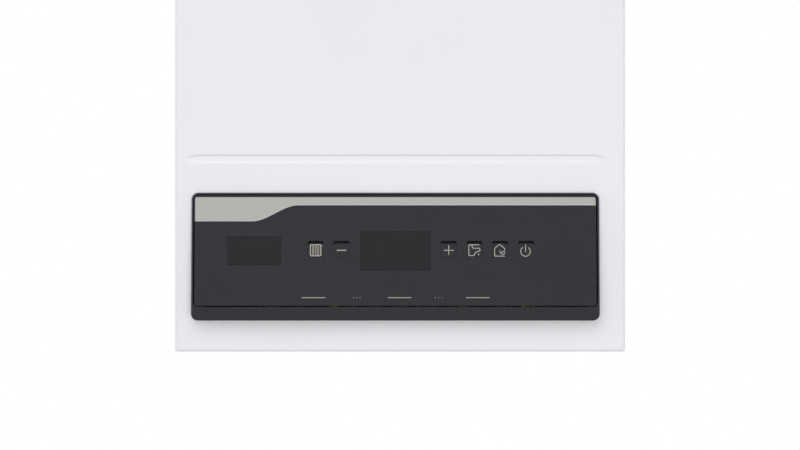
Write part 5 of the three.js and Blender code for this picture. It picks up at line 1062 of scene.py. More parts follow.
class BOILER_OT_silver_strip(bpy.types.Operator):
    """Silver strip: across the fascia's top, its border sloping back all round"""
    bl_idname = "boiler.silver_strip"
    bl_label = "Silver strip"

    def execute(self, context):
        bevel = context.scene.boiler_sizes.strip_bevel
        half = FASCIA_HALF - 0.1
        ends = np.array([0, 0.3, 0.7, 1.2, 1.9, 2.6])
        across = np.unique(np.concatenate([
            -half + ends, stations((-half + 4, -140, 4), (-140, -90, 0.9), (-90, half - 4, 6)),
            half - ends]))
        share = np.linspace(0, 1, 7)
        near = np.concatenate([share * bevel, [bevel + 0.5]])
        top = FASCIA_RISE - 0.8
        low = strip_edge(across)[:, None]
        # lines at fixed distances from both edges, and evenly between them
        inner = np.linspace(0, 1, 6)[None, 1:-1]
        up = np.concatenate([low + near[None], low + bevel + 0.5
                             + (top - low - 2 * bevel - 1.0) * inner,
                             np.broadcast_to(top - near[::-1][None], (len(across), len(near)))], 1)
        x = np.broadcast_to(across[:, None], up.shape)
        corner = 2.4
        gap = np.minimum(up - low, top - up)
        end_gap = half - np.abs(x)
        # the upper corners are drawn in on a quarter circle
        draw = np.clip(corner - (top - up), 0, corner)
        pull = corner - np.sqrt(np.maximum(corner ** 2 - draw ** 2, 0))
        x = np.sign(x) * np.minimum(np.abs(x), half - pull)
        away = np.clip(np.minimum(gap, end_gap) / bevel, 0, 1)
        y = -0.3 + 0.34 * (1 - away) ** 1.3
        front = np.stack([x, y, up], -1)
        back = front.copy()
        back[..., 1] = 0.7
        around = np.concatenate([front, back[:, ::-1]], 1)
        patch = capped(surface(around, along=True), around.shape[1])
        strip = piece("silver_strip_trim", "control_box", "silver_strip", "silver_lacquer",
                      own_frame=tilted, facets=50, silver=[patch])
        self.mark_painted_border_highlight(strip.data, bevel)
        return {"FINISHED"}

    def mark_painted_border_highlight(self, mesh, bevel):
        """Stores, on each point, how far it lies inside the sloping border, which the lacquer
        paints paler as a painted highlight.
        """
        x, y, z = placed_points(mesh).T - [[PANEL_X], [FASCIA_FACE], [FASCIA_MIDDLE]]
        up = (z + y * math.tan(TILT)) * math.cos(TILT)
        gap = np.minimum(np.minimum(up - strip_edge(x), FASCIA_RISE - 0.7 - up),
                         FASCIA_HALF - np.abs(x))
        store(mesh, "border", 1 - np.clip(gap / bevel - 0.35, 0, 1))


DIGIT_LEAN = 0.09


def segments(x, z, width, tall, bar):
    """A seven-segment digit: six-sided bars, pointed at both ends, leaning to the right."""
    half_w, half_t, cut = width / 2, tall / 2, bar / 2

    def across(height):
        return [(-half_w + cut, height), (-half_w + 2 * cut, height + cut),
                (half_w - 2 * cut, height + cut), (half_w - cut, height),
                (half_w - 2 * cut, height - cut), (-half_w + 2 * cut, height - cut)]

    def upright(side, low):
        high = low + half_t - 0.5 * cut
        return [(side - cut, low + cut * 1.6), (side, low + cut * 0.6),
                (side + cut, low + cut * 1.6), (side + cut, high - cut),
                (side, high), (side - cut, high - cut)]

    bars = [across(half_t - cut), across(0.0), across(-half_t + cut)]
    for side in (-half_w + cut, half_w - cut):
        bars.append(upright(side, 0.0))
        bars.append(upright(side, -half_t + 0.5 * cut))
    patches = []
    for outline in bars:
        line = np.array(outline, float)
        line[:, 0] += x + line[:, 1] * DIGIT_LEAN
        line[:, 1] += z
        patches.append(extruded("y", line, 1.75, 2.05, 0.15, 0.06, 1))
    return patches


class BOILER_OT_windows(bpy.types.Operator):
    """Display windows: smoked acrylic over two digit modules with unlit segments"""
    bl_idname = "boiler.windows"
    bl_label = "Display windows"

    def execute(self, context):
        for name, node, (x, wide, tall) in (("window_small_pane", "window_small", SMALL_WINDOW),
                                            ("window_large_pane", "window_large", LARGE_WINDOW)):
            line = box_outline(x - wide / 2, x + wide / 2, -tall / 2, tall / 2, 1.3)
            pane = extruded("y", line, 0.0, 1.5, 0, 0.1)
            piece(name, "control_box", node, "smoked_window", own_frame=tilted, window=[pane])
        digits = []
        for x in (-143.1, -126.6):
            digits += segments(x, -0.7, 10.4, 20.3, 1.9)
        for x in (-10.0, 9.4):
            digits += segments(x, -1.0, 15.2, 30.5, 2.7)
        piece("unlit_segments", "control_box", slot="smoked_window", own_frame=tilted,
              digit=digits)
        return {"FINISHED"}


PRINT_HIGH = 0.05


def stroke(line, width, closed=False):
    """A flat line on the fascia: points of the path moved to both sides by half the width
    along the path's own normal, mitred at corners, and given a little thickness."""
    line = np.array(line, float)
    ahead = unit(np.roll(line, -1, 0) - line if closed else np.diff(line, axis=0))
    first = np.roll(ahead, 1, 0) if closed else np.vstack([ahead[:1], ahead])
    second = ahead if closed else np.vstack([ahead, ahead[-1:]])
    way = unit(first + second)
    normal = np.stack([-way[:, 1], way[:, 0]], -1)
    spread = width / 2 / np.maximum(np.sum(way * first, axis=1), 0.6)[:, None]
    left, right = line + normal * spread, line - normal * spread
    front, back = np.full((len(line), 1), -PRINT_HIGH), np.full((len(line), 1), 0.1)
    points = np.stack([np.hstack([left, back]), np.hstack([left, front]),
                       np.hstack([right, front]), np.hstack([right, back])], 1)
    patch = surface(along_axis("y", points), around=closed, along=True)
    return patch if closed else capped(patch, 4)


def spot(outline):
    """A filled flat shape of the fascia's print."""
    return extruded("y", np.array(outline, float), -PRINT_HIGH, 0.1, 0.1, 0.02, 1)


def icon(name, x, width):
    """The printed sign of one key, as strokes round the key's middle."""
    if name == "key_heating":
        loops = [stroke(box_outline(x + dx - 1.24, x + dx + 1.24, -4.85, 6.05, 1.24, 5),
                        width * 1.25, True) for dx in (-3.4, -0.92, 1.56, 4.04)]
        shared = [stroke([(x + dx, -4.0), (x + dx, 5.2)], width * 2.1)
                  for dx in (-2.16, 0.32, 2.8)]
        return loops + shared + [spot([(x + 4.6, 4.6), (x + 5.6, 3.5), (x + 6.7, 4.6),
                                       (x + 5.6, 5.7)])]
    if name == "key_minus":
        return [stroke([(x - 4.1, 0.45), (x + 5.0, 0.45)], width * 1.3)]
    if name == "key_plus":
        return [stroke([(x - 4.8, 0.5), (x + 4.7, 0.5)], width),
                stroke([(x - 0.1, -4.0), (x - 0.1, 5.4)], width)]
    if name == "key_hot_water":
        body = rounded([(x + 4.4, 5.75), (x - 5.5, 5.75), (x - 5.5, -4.55), (x - 0.8, -4.55),
                        (x + 0.9, -1.6), (x + 2.6, -0.6), (x + 5.1, -0.6), (x + 5.1, 2.5),
                        (x - 2.3, 2.5), (x - 2.3, 5.6)],
                       [0, 0.9, 0.9, 0.8, 1.6, 1.6, 1.3, 1.3, 1.2, 0])
        return [stroke(body, width), stroke([(x + 3.8, -2.3), (x + 3.8, -4.2)], width)]
    if name == "key_eco":
        house = rounded([(x + 4.0, -0.1), (x + 4.0, 2.2), (x - 0.8, 6.2), (x - 5.5, 2.3),
                         (x - 5.5, -5.1), (x + 4.0, -5.1)], [0, 0.5, 0.4, 0.5, 0.9, 0])
        leaf = np.vstack([arc(x + 1.7, 0.3, 2.7, 162, 232, 9),
                          arc(x - 2.1, -1.2, 2.3, -24, 62, 9)])
        return [stroke(house, width), spot(leaf),
                stroke(arc(x + 2.6, -2.0, 1.35, 0, 342, 20), width * 0.9, True),
                stroke([(x - 0.1, -1.8), (x + 0.6, -2.6), (x + 1.5, -1.9)], width * 0.95),
                spot(arc(x + 2.35, -3.5, 0.75, 0, 330, 12))]
    ends = arc(x - 0.7, -0.6, 4.6, 56, -236, 44)
    return [stroke(ends, width), stroke([(x - 0.7, 6.2), (x - 0.7, -1.0)], width)]


class BOILER_OT_keys(bpy.types.Operator):
    """Flap keys: each a flush cap hinged at its lower edge, with its post and printed sign"""
    bl_idname = "boiler.keys"
    bl_label = "Flap keys"

    def execute(self, context):
        width = context.scene.boiler_sizes.line_width
        for name, x in KEYS.items():
            top = KEY_LOW + KEY_TALL
            bend = (0.1, 0.1, 0.6, 1.9) if x < 0 else (0.1, 0.1, 1.9, 0.6)
            outline = rounded([(x - 7.4, KEY_LOW), (x + 7.4, KEY_LOW), (x + 7.4, top),
                               (x - 7.4, top)], bend, closed=True)
            cap = extruded("y", outline, 0.0, 2.5, 0, 0.12)
            post = rod("y", 1.5, 2.2, 3.6, x, 2.6, 0.2, 24)
            ribs = [cushion_block(x + dx - 0.5, x + dx + 0.5, 2.2, 3.2, KEY_LOW + 1, top - 1,
                                  0.2, 1) for dx in (-5.6, 5.6)]
            piece(name + "_cap", name, name, "fascia_plastic", own_frame=tilted,
                  fascia=[cap, post, *ribs])
            piece(name + "_sign", name, slot="fascia_plastic", own_frame=tilted,
                  print=icon(name, x, width))
        return {"FINISHED"}


# ------------------------------------------------------------------------ casing

class BOILER_OT_side_panels(bpy.types.Operator):
    """Side panels: flat sheets with a return lip in front and flush screws behind"""
    bl_idname = "boiler.side_panels"
    bl_label = "Side panels"

    def execute(self, context):
        thick = context.scene.boiler_sizes.sheet
        heights = (52.0, 258.0, 470.0, 688.0)
        for name, side in (("left", -1), ("right", 1)):
            plate = box_outline(-269.4, -0.2, 0.2, 739.8, 0.4, 2)
            holes = [disc_outline(3.6, -12.0, h) for h in heights]
            low, high = sorted((side * 215.0, side * (215.0 - thick)))
            sheet = drilled(plate, holes, "x", low, high, 0.12)
            line = [(215.0, -269.2), (215.0, -271.4), (201.0, -271.4), (201.0, -268.6)]
            lip = folded("z", line, -thick, 0.2, 739.8, 1.2)
            if side < 0:
                lip = (lip[0] * (-1, 1, 1), lip[1])
            heads = screws("x", 3.3, side * 214.0, side * 214.85, product((-12.0,), heights), 40)
            backs = [rod("x", 2.0, *sorted((side * 214.1, side * 208.0)), -12.0, h, 0.4, 20)
                     for h in heights]
            piece("side_panel_%s_sheet" % name, "chassis", "side_panel_" + name, "white_enamel",
                  enamel=[sheet, lip], steel=heads + backs)
        return {"FINISHED"}


class BOILER_OT_top_panel(bpy.types.Operator):
    """Top panel: a sheet with a front lip, the flue's hole, two plugged holes and four screws"""
    bl_idname = "boiler.top_panel"
    bl_label = "Top panel"

    def execute(self, context):
        plate = box_outline(-213.9, 213.9, -268.0, -0.2, 0.3, 2)
        spare = [disc_outline(8, -150, -60), disc_outline(8, 150, -60)]
        sheet = drilled(plate, [disc_outline(50.2, *FLUE, 72), *spare], "z", 739.0, 740.0, 0.1)
        lip = folded("x", [(-268.0, 740.0), (-271.4, 740.0), (-271.4, 725.2), (-268.8, 725.2)],
                     1.0, -200.6, 200.6, 1.2)
        plugs = [turned("z", [(0, 737.5), (7.4, 737.5), (7.6, 739.2), (9.6, 739.3), (9.0, 740.0),
                              (0, 740.0)], x, -60, 0.4, 40) for x in (-150, 150)]
        heads = screws("z", 3.3, 739.0, 740.0,
                       ((-205, -20), (205, -20), (-205, -250), (205, -250)), 32)
        piece("top_panel_sheet", "chassis", "top_panel", "white_enamel", enamel=[sheet, lip],
              black=plugs, steel=heads)
        return {"FINISHED"}


class BOILER_OT_back(bpy.types.Operator):
    """Back plate with the hanging rail's pressed recess, and the rail itself"""
    bl_idname = "boiler.back"
    bl_label = "Back plate and rail"

    def execute(self, context):
        outline = rounded([(-213.9, 0.2), (-170, 0.2), (-170, 30), (170, 30), (170, 0.2),
                           (213.9, 0.2), (213.9, 738.9), (-213.9, 738.9)],
                          [0.3, 0.3, 6, 6, 0.3, 0.3, 0.3, 0.3], closed=True)
        recess = box_outline(-129, 129, 681, 729, 5)
        holes = [inset(recess, 0.5)]
        sheet = drilled(outline, holes, "y", -1.0, 0.0, 0.1)
        tray = stacked("y", recess, [(1.5, -12.0), (1.1, -11.9), (1.0, -11.4), (0.9, -0.6),
                                     (0.4, 0.0), (0.1, -0.4), (0.0, -1.2), (0.0, -12.3),
                                     (0.3, -12.8), (0.8, -13.0)])
        ribs = [stacked("y", box_outline(x - 5, x + 5, 60, 640, 5),
                        [(0, -0.9), (0.8, -1.6), (2.2, -2.0), (4.0, -2.1)]) for x in (-195, 195)]
        rivets = [turned("y", [(0, -2.2), (2.6, -2.1), (3.2, -1.0), (0, -1.0)], x, h, 0.4, 28)
                  for x in (-195, 195) for h in (44, 664)]
        rivets += [turned("y", [(0, -14.0), (2.6, -13.9), (3.2, -12.9), (0, -12.9)], x, 705, 0.4,
                          28) for x in (-112, -56, 56, 112)]
        piece("back_plate_sheet", "chassis", "back_plate", "zinc_sheet", zinc=[sheet, tray, *ribs],
              steel=rivets)
        web = drilled(box_outline(-119.9, 119.9, 692.6, 713.0, 2.0),
                      [disc_outline(4, x, 705.5) for x in (-96, 0, 96)], "y", -2.5, 0.0, 0.2)
        hook = extruded("x", rounded([(0, 713.0), (0, 718.5), (-5.5, 718.5), (-5.5, 728.0),
                                      (-8.0, 728.0), (-8.0, 716.0), (-2.5, 716.0),
                                      (-2.5, 713.0)],
                                     [0, 3.2, 0.7, 0.8, 0.8, 3.0, 0.8, 0], closed=True),
                        -119.9, 119.9, 0, 0.3)
        piece("hanging_rail_bar", "chassis", "hanging_rail", "zinc_sheet", zinc=[web, hook])
        return {"FINISHED"}


class BOILER_OT_base(bpy.types.Operator):
    """Base: the bottom plate with its pipe holes, cover feet and control box ears"""
    bl_idname = "boiler.base"
    bl_label = "Base"

    def execute(self, context):
        round_holes = [(x, -60.0, 12.0) for x in (-130, -65, 0, 65, 130)]
        round_holes += [(-180.0, -120.0, 8.0), (76.0, -106.0, 9.0), (104.0, -98.0, 5.5)]
        holes = [disc_outline(radius, x, y, 48) for x, y, radius in round_holes]
        plate = drilled(box_outline(-213.8, 213.8, -265.9, -1.2, 1.5), holes, "z",
                        35.0, 36.5, 0.2)
        rims = [ring("z", radius + 2.4, radius, 36.4, 37.1, x, y, 0.3, 56)
                for x, y, radius in round_holes[:5]]
        mould = [plate, *rims]
        for x in (-150, 150):
            outline = rounded([(-266, 36.0), (-266, 4.0), (-244, 4.0), (-244, 5.5),
                               (-264.5, 5.5), (-264.5, 36.0)], [0, 1.8, 0.5, 0.5, 0.5, 0],
                              closed=True)
            mould.append(extruded("x", outline, x - 12, x + 12, 0, 0.3))
            mould += [extruded("x", [(-264.8, 30), (-264.8, 35.2), (-258, 35.2)], x + dx - 0.7,
                               x + dx + 0.7, 0.2, 0.1) for dx in (-10.5, 10.5)]
            mould.append(ring("z", 4.4, 2.3, 5.4, 6.6, x, -256, 0.3, 36))
        for side in (-1, 1):
            ear = rounded([(-244, 36.5), (-244, 45), (-295, 45), (-295, 35), (-266, 35),
                           (-266, 36.5)], [0.4, 5, 4.9, 4.9, 0.4, 0], closed=True, steps=8)
            low, high = sorted((PANEL_X + side * 191.1, PANEL_X + side * 194.1))
            mould.append(drilled(ear, [disc_outline(3.1, *BOX_HINGE)], "x", low, high, 0.25))
        weld = [turned("z", [(0, 36.4), (2.2, 36.4), (1.6, 36.75), (0, 36.8)], x, y, 0.2, 24)
                for x in (-200, -100, 0, 100, 200) for y in (-258, -8)]
        piece("bottom_plate_sheet", "chassis", "bottom_plate", "zinc_sheet", zinc=mould + weld)
        for name, x in (("left", -150.0), ("right", 150.0)):
            head = screw("z", 4.5, 2.7, 0.5, x, -256)
            shank = thread("z", 2.0, 0.8, 2.6, 11.0, x, -256, 28)
            tip = turned("z", [(0, 10.9), (1.5, 10.9), (0.8, 11.5), (0, 11.5)], x, -256, 0.1, 28)
            piece("cover_screw_%s_part" % name, "chassis", "cover_screw_" + name, "steel",
                  steel=[head, shank, tip])
        dome = turned("z", [(4.5, 26), (4.5, 23), (9.2, 23), (10.4, 25.5), (11.4, 29.5),
                            (11.4, 31.0), (6.0, 31.0), (4.5, 26)], *GLAND, 0.5, 48)
        grips = spokes(cushion_block(-181.1, -178.9, -108.9, -107.9, 25.5, 31, 0.3, 1), "z",
                       *GLAND, range(0, 360, 24))
        hexagon = nut("z", 11.9, 31.0, 34.9, *GLAND, 0.5, bore=5.0)
        locknut = nut("z", 11.0, 36.6, 41.0, *GLAND, 0.5, bore=7.6)
        tube = ring("z", 7.6, 4.5, 31.2, 41.5, *GLAND, 0.4, 40)
        piece("cable_gland_body", "chassis", "cable_gland", "black_plastic",
              black=[dome, *grips, hexagon, locknut, tube])
        return {"FINISHED"}


# ------------------------------------------------------------------ flue and fan

class BOILER_OT_flue_collar(bpy.types.Operator):
    """Flue collar: a screwed flange, a rolled outer tube and an inner tube on three vanes"""
    bl_idname = "boiler.flue_collar"
    bl_label = "Flue collar"

    def execute(self, context):
        flange = drilled(disc_outline(68, *FLUE, 96), [disc_outline(48.6, *FLUE, 96)], "z", 740.0,
                         742.0, 0.5)
        outer = turned("z", [(50.0, 741.5), (50.0, 759.6), (49.4, 760.4), (49.4, 761.6),
                             (50.0, 762.4), (50.0, 765.0), (48.5, 765.0), (48.5, 762.4),
                             (47.9, 761.6), (47.9, 760.4), (48.5, 759.6), (48.5, 740.3)], *FLUE,
                       0.35, 96)
        inner = turned("z", [(30, 727), (30, 758.6), (29.4, 759.4), (29.4, 760.6), (30, 761.4),
                             (30, 765), (28.5, 765), (28.5, 761.4), (27.9, 760.6), (27.9, 759.4),
                             (28.5, 758.6), (28.5, 727), (30, 727)], *FLUE, 0.3, 72)
        vanes = spokes(cushion_block(29.6, 48.9, -158.9, -157.1, 740.0, 750.0, 0.5, 2), "z",
                       *FLUE, (30, 150, 270))
        bead = ring("z", 51.9, 49.7, 742.0, 743.6, *FLUE, 0.7, 96)
        heads = screws("z", 3.6, 742.0, 743.9, arc(*FLUE, 61, 45, 315, 4), 32)
        caps = [turned("z", [(0, 742), (4.4, 742), (4.4, 746.2), (3.6, 747.4), (0, 747.4)], x,
                       FLUE[1], 0.5, 36) for x in (-59.5, 59.5)]
        piece("flue_collar_body", "chassis", "flue_collar", "white_enamel",
              enamel=[flange, outer, inner, *vanes, bead], steel=heads, black=caps)
        return {"FINISHED"}


class BOILER_OT_fan(bpy.types.Operator):
    """Fan: a round drum with its outlet, the wheel inside it and the motor in front"""
    bl_idname = "boiler.fan"
    bl_label = "Fan"

    def execute(self, context):
        drum = turned("y", [(36.0, -128.0), (37.4, -126.9), (38.6, -128.0), (69.2, -128.0),
                            (70.0, -128.8), (70.0, -187.2), (69.2, -188.0), (22.0, -188.0),
                            (20.5, -187.0), (6.0, -187.0), (6.0, -185.8), (21.0, -185.8),
                            (68.5, -186.5), (68.5, -129.5), (38.0, -129.5), (36.0, -128.0)], *FAN,
                      0.5, 96)
        seams = [ring("y", 70.5, 67.5, y - 1.5, y, *FAN, 0.5, 96) for y in (-127.6, -186.9)]
        ribs = spokes(stacked("y", rounded([(-2.2, 683), (2.2, 683), (3.4, 713), (-3.4, 713)], 1.8,
                                           closed=True),
                              [(0, -187.6), (0.6, -188.3), (1.6, -188.7)]), "y", *FAN,
                      (22, 67, 112, 157, 202, 247, 292, 337))
        neck = shell("z", box_outline(-32, 32, -187.3, -128.7, 4), 1.5, 700.0, 725.0, 0.3)
        collar = drilled(box_outline(-31.9, 31.9, -187.2, -128.8, 4),
                         [disc_outline(26.8, *FLUE, 64)], "z", 723.6, 725.2, 0.3)
        outlet = ring("z", 28.1, 26.7, 692, 739, *FLUE, 0.4, 72)
        heads = screws("y", 3.2, -188.0, -190.0, arc(*FAN, 57, 0, 270, 4))
        piece("fan_housing_drum", "chassis", "fan_housing", "zinc_sheet",
              zinc=[drum, *seams, *ribs, neck, collar, outlet], steel=heads)

        motor = turned("y", [(5.4, -188.4), (45.0, -188.4), (45.6, -189.2), (45.6, -194.2),
                             (45.0, -195.0), (38.0, -195.0), (38.0, -220.0), (36.8, -224.5),
                             (30.4, -231.0), (29.0, -232.0), (13.0, -232.0), (12.0, -230.6),
                             (0, -230.6), (0, -190.0), (5.4, -190.0), (5.4, -188.4)], *FAN, 0.6,
                       96)
        fins = spokes(cushion_block(-0.8, 0.8, -219.5, -196.0, 691.5, 694.4, 0.4, 1), "y", *FAN,
                      range(0, 360, 15))
        vents = spokes(cushion_block(-1.3, 1.3, -232.15, -230.9, 671, 681, 1.0, 2), "y", *FAN,
                       range(0, 360, 20))
        plug = cushion_block(-10, 10, -214, -200, 612.5, 620.5, 1.0)
        pins = [cushion_block(x - 1.6, x + 1.6, -211, -204, 610.2, 613.2, 0.4, 1)
                for x in (-6, 0, 6)]
        bolts = screws("y", 3.0, -195.0, -197.0, arc(*FAN, 41.8, 45, 315, 4))
        piece("fan_motor_body", "chassis", "fan_motor", "black_plastic",
              black=[motor, *fins, plug], rubber=vents, steel=bolts, cream=pins)

        disc = turned("y", [(0, -178), (61.6, -178), (61.6, -176.8), (12.4, -176.8),
                            (12.4, -150.5), (4.6, -150.5), (4.6, -152), (0, -152)], *FAN, 0.3)
        hoop = ring("y", 61.8, 55.0, -139.6, -138.2, *FAN, 0.4)
        blades = spokes(folded("y", arc(60.4, 662.6, 9.2, 200, 262, 7), 0.8, -177.0, -139.0, 0,
                               0.15), "y", *FAN, range(0, 360, 10))
        shaft = rod("y", 4.0, -202.0, -160.0, *FAN, 0.5, 36)
        cap = turned("y", [(0, -149.0), (5.0, -149.5), (7.0, -151.0), (0, -151.0)], *FAN, 0.4, 36)
        piece("fan_impeller_wheel", "fan_wheel", "fan_impeller", "steel",
              steel=[disc, hoop, *blades, shaft, cap])
        return {"FINISHED"}


class BOILER_OT_flue_hood(bpy.types.Operator):
    """Flue hood: a folded box over the exchanger that rises behind the fan"""
    bl_idname = "boiler.flue_hood"
    bl_label = "Flue hood"

    def execute(self, context):
        side = rounded([(-97, 530.2), (-97, 580), (-220, 580), (-260, 542), (-260, 530.2)],
                       [0.5, 2, 4, 3, 0.5], closed=True)
        body = extruded("x", side, -112.2, 112.2, 0, 0.6)
        seams = [extruded("x", inset(side, -0.6), *sorted((s * 110.6, s * 113.0)), 0, 0.3)
                 for s in (-1, 1)]
        rear = stacked("y", rounded([(-50, 578), (50, 578), (50, 709), (-50, 709)], 3,
                                    closed=True),
                       [(0.8, -97.0), (0.0, -97.8), (0.0, -127.2), (0.3, -127.8), (0.8, -128.0)])
        throat = ring("y", 38.6, 36.0, -128.9, -127.8, *FAN, 0.4)
        flange = stacked("z", box_outline(-113.5, 113.5, -260.5, -96.5, 2),
                         [(0, 530.1), (0, 532.4), (0.5, 532.9)])
        ribs = [extruded("z", box_outline(x - 3, x + 3, -214, -134, 3), 579.8, 581.4, 0, 0.7)
                for x in (-84, -28, 28, 84)]
        heads = [screw("x", 3.2, s * 113.0, s * 114.6, y, 538, 28)
                 for s in (-1, 1) for y in (-240, -178, -116)]
        heads += screws("y", 3.2, -128.0, -129.8, product((-44, 44), (590, 703)))
        piece("flue_hood_box", "chassis", "flue_hood", "zinc_sheet",
              zinc=[body, *seams, rear, throat, flange, *ribs], steel=heads)
        return {"FINISHED"}


class BOILER_OT_pressure_switch(bpy.types.Operator):
    """Air pressure switch: a two-part diaphragm case, spade terminals and two nipples"""
    bl_idname = "boiler.pressure_switch"
    bl_label = "Air pressure switch"

    def execute(self, context):
        case = turned("x", [(0, 213.8), (20, 213.8), (28, 210), (28, 204.6), (27.2, 203.6),
                            (28, 202.6), (28, 198), (24, 192.2), (0, 192.2)], *AIR_SWITCH, 0.8)
        cap = turned("x", [(0, 193), (16, 193), (15, 183.0), (12, 182), (0, 182)], *AIR_SWITCH,
                     0.7)
        clips = spokes(cushion_block(197, 210, -190.5, -185.5, 667.2, 668.0, 0.35, 1), "x",
                       *AIR_SWITCH, range(0, 360, 45))
        ribs = spokes(cushion_block(191.5, 200, -188.7, -187.3, 656.5, 664, 0.5, 1), "x",
                      *AIR_SWITCH, range(22, 382, 45))
        nipples = [turned("x", [(0, 184), (2.5, 184), (2.5, 178), (2.1, 177.4), (2.5, 176.4),
                                (2.0, 173.5), (1.4, 172), (0, 172)], -188 + dy, 640, 0.15, 28)
                   for dy in (-9, 9)]
        tabs = [cushion_block(175.5, 184, -191.2 + dy, -184.9 + dy, 647.6, 648.4, 0.2, 1)
                for dy in (-3.6, 3.6)]
        tabs.append(cushion_block(175.5, 184, -191.2, -184.9, 631.6, 632.4, 0.2, 1))
        piece("air_pressure_switch_case", "chassis", "air_pressure_switch", "grey_plastic",
              grey=[case, cap, *clips, *ribs, *nipples], brass=tabs)
        return {"FINISHED"}


# ------------------------------------------------------------- combustion and gas

class BOILER_OT_heat_exchanger(bpy.types.Operator):
    """Heat exchanger: thin collared fins between two headers, with three tubes through them"""
    bl_idname = "boiler.heat_exchanger"
    bl_label = "Heat exchanger"

    def execute(self, context):
        mould = []
        notch = []
        for share in np.linspace(0, 1, 9)[1:-1]:
            y = -97 - 163 * share
            notch += [(y + 4.0, 529.8), (y + 2.2, 526.6), (y - 2.2, 526.6), (y - 4.0, 529.8)]
        fin = np.array([(-97.2, 470.2), (-97.2, 529.8), *notch, (-259.8, 529.8),
                        (-259.8, 470.2)])
        for x in np.linspace(-109.2, 109.2, 53):
            mould.append(extruded("x", fin, x - 0.35, x + 0.35, 0, 0.08, 1))
        ends = [extruded("x", box_outline(-260, -97, 470.0, 530.0, 3),
                         *sorted((s * 111.0, s * 113.0)), 0, 0.4) for s in (-1, 1)]
        tubes = [rod("x", 7.0, -113.5, 113.5, y, 500, 0.4, 36) for y in (-138, -178.5, -219)]
        headers = []
        for s in (-1, 1):
            box = cushion_block(*sorted((s * 113.0, s * 125.8)), -247, -110, 487, 513, 4.0, 4)
            headers.append(box)
            headers += [ring("x", 10.5, 7.2, *sorted((s * 112.6, s * 114.4)), y, 500, 0.5, 40)
                        for y in (-138, -219)]
            headers.append(turned("x", [(7.6, s * 125.0), (12.0, s * 125.4), (12.0, s * 126.0),
                                        (7.6, s * 126.3)], -178.5, 500, 0.2, 44))
            headers += [cushion_block(s * 117 - 1.5, s * 117 + 4.5, y - 0.7, y + 0.7, 512.6,
                                      513.4, 0.3, 1) for y in (-232, -205, -151, -125)]
        piece("heat_exchanger_block", "chassis", "heat_exchanger", "copper",
              copper=[*mould, *ends, *tubes, *headers])
        return {"FINISHED"}


class BOILER_OT_firebox(bpy.types.Operator):
    """Firebox: folded walls with pressed ribs, a lined sight glass and the electrode"""
    bl_idname = "boiler.firebox"
    bl_label = "Firebox"

    def execute(self, context):
        outline = box_outline(-115, 115, -262, -95, 4)
        walls = shell("z", outline, 1.5, 322.2, 469.8, 0.3)
        lining = shell("z", inset(outline, 1.5), 8.0, 324.0, 468.0, 1.5)
        hems = [shell("z", inset(outline, -0.5), 2.7, low, low + 3.4, 0.5) for low in (322, 466.4)]
        ribs = [stacked("y", box_outline(x - 26, x + 26, h - 2.4, h + 2.4, 2.3),
                        [(0, -261.8), (0.6, -262.5), (1.5, -262.9)])
                for x in (-76, 76) for h in (380, 400, 420, 440)]
        ribs += [stacked("x", box_outline(-232, -125, h - 2.4, h + 2.4, 2.3),
                         [(0, s * 114.8), (0.6, s * 115.5), (1.5, s * 115.9)])
                 for s in (-1, 1) for h in (372, 408, 444)]
        heads = screws("y", 3.0, -262.0, -263.8, product((-106, -36, 36, 106), (331, 461)))
        heads += screws("y", 2.6, -264.0, -265.6, product((-40.5, -19.5), (350,)))
        glass = turned("y", [(0, -263.2), (8.0, -263.2), (8.4, -264.6), (10.6, -264.9),
                             (12.0, -262.4), (12.0, -261.0), (0, -261.0)], 0, 425, 0.4, 48)
        pane = turned("y", [(0, -264.0), (8.2, -263.9), (8.2, -262.6), (0, -262.6)], 0, 425, 0.2)
        piece("firebox_walls", "chassis", "firebox", "zinc_sheet",
              zinc=[walls, *hems, *ribs, glass], ceramic=[lining], steel=heads, window=[pane])
        base = drilled(rounded([(-44, 341), (-16, 341), (-16, 359), (-44, 359)], 4, closed=True),
                       [disc_outline(3.4, -30, 350)], "y", -263.9, -262.1, 0.3)
        sleeve = turned("y", [(0, -277), (3.4, -277), (4.0, -276.2), (4.0, -272.6), (3.3, -272),
                              (4.0, -271.4), (4.0, -269.6), (3.3, -269), (4.0, -268.4),
                              (4.0, -247.6), (3.4, -247), (0, -247)], -30, 350, 0.2, 40)
        wire = pipe([(-30, -281, 350), (-30, -230, 350), (-30, -228, 352)], 1.2, 1.5, 16, 3)
        tip = turned("y", [(0, -281), (1.7, -280.8), (1.7, -277.6), (1.0, -277), (0, -277)],
                     -30, 350, 0.2, 20)
        piece("ignition_electrode_part", "chassis", "ignition_electrode", "ceramic",
              ceramic=[sleeve], steel=[base, wire, tip])
        return {"FINISHED"}


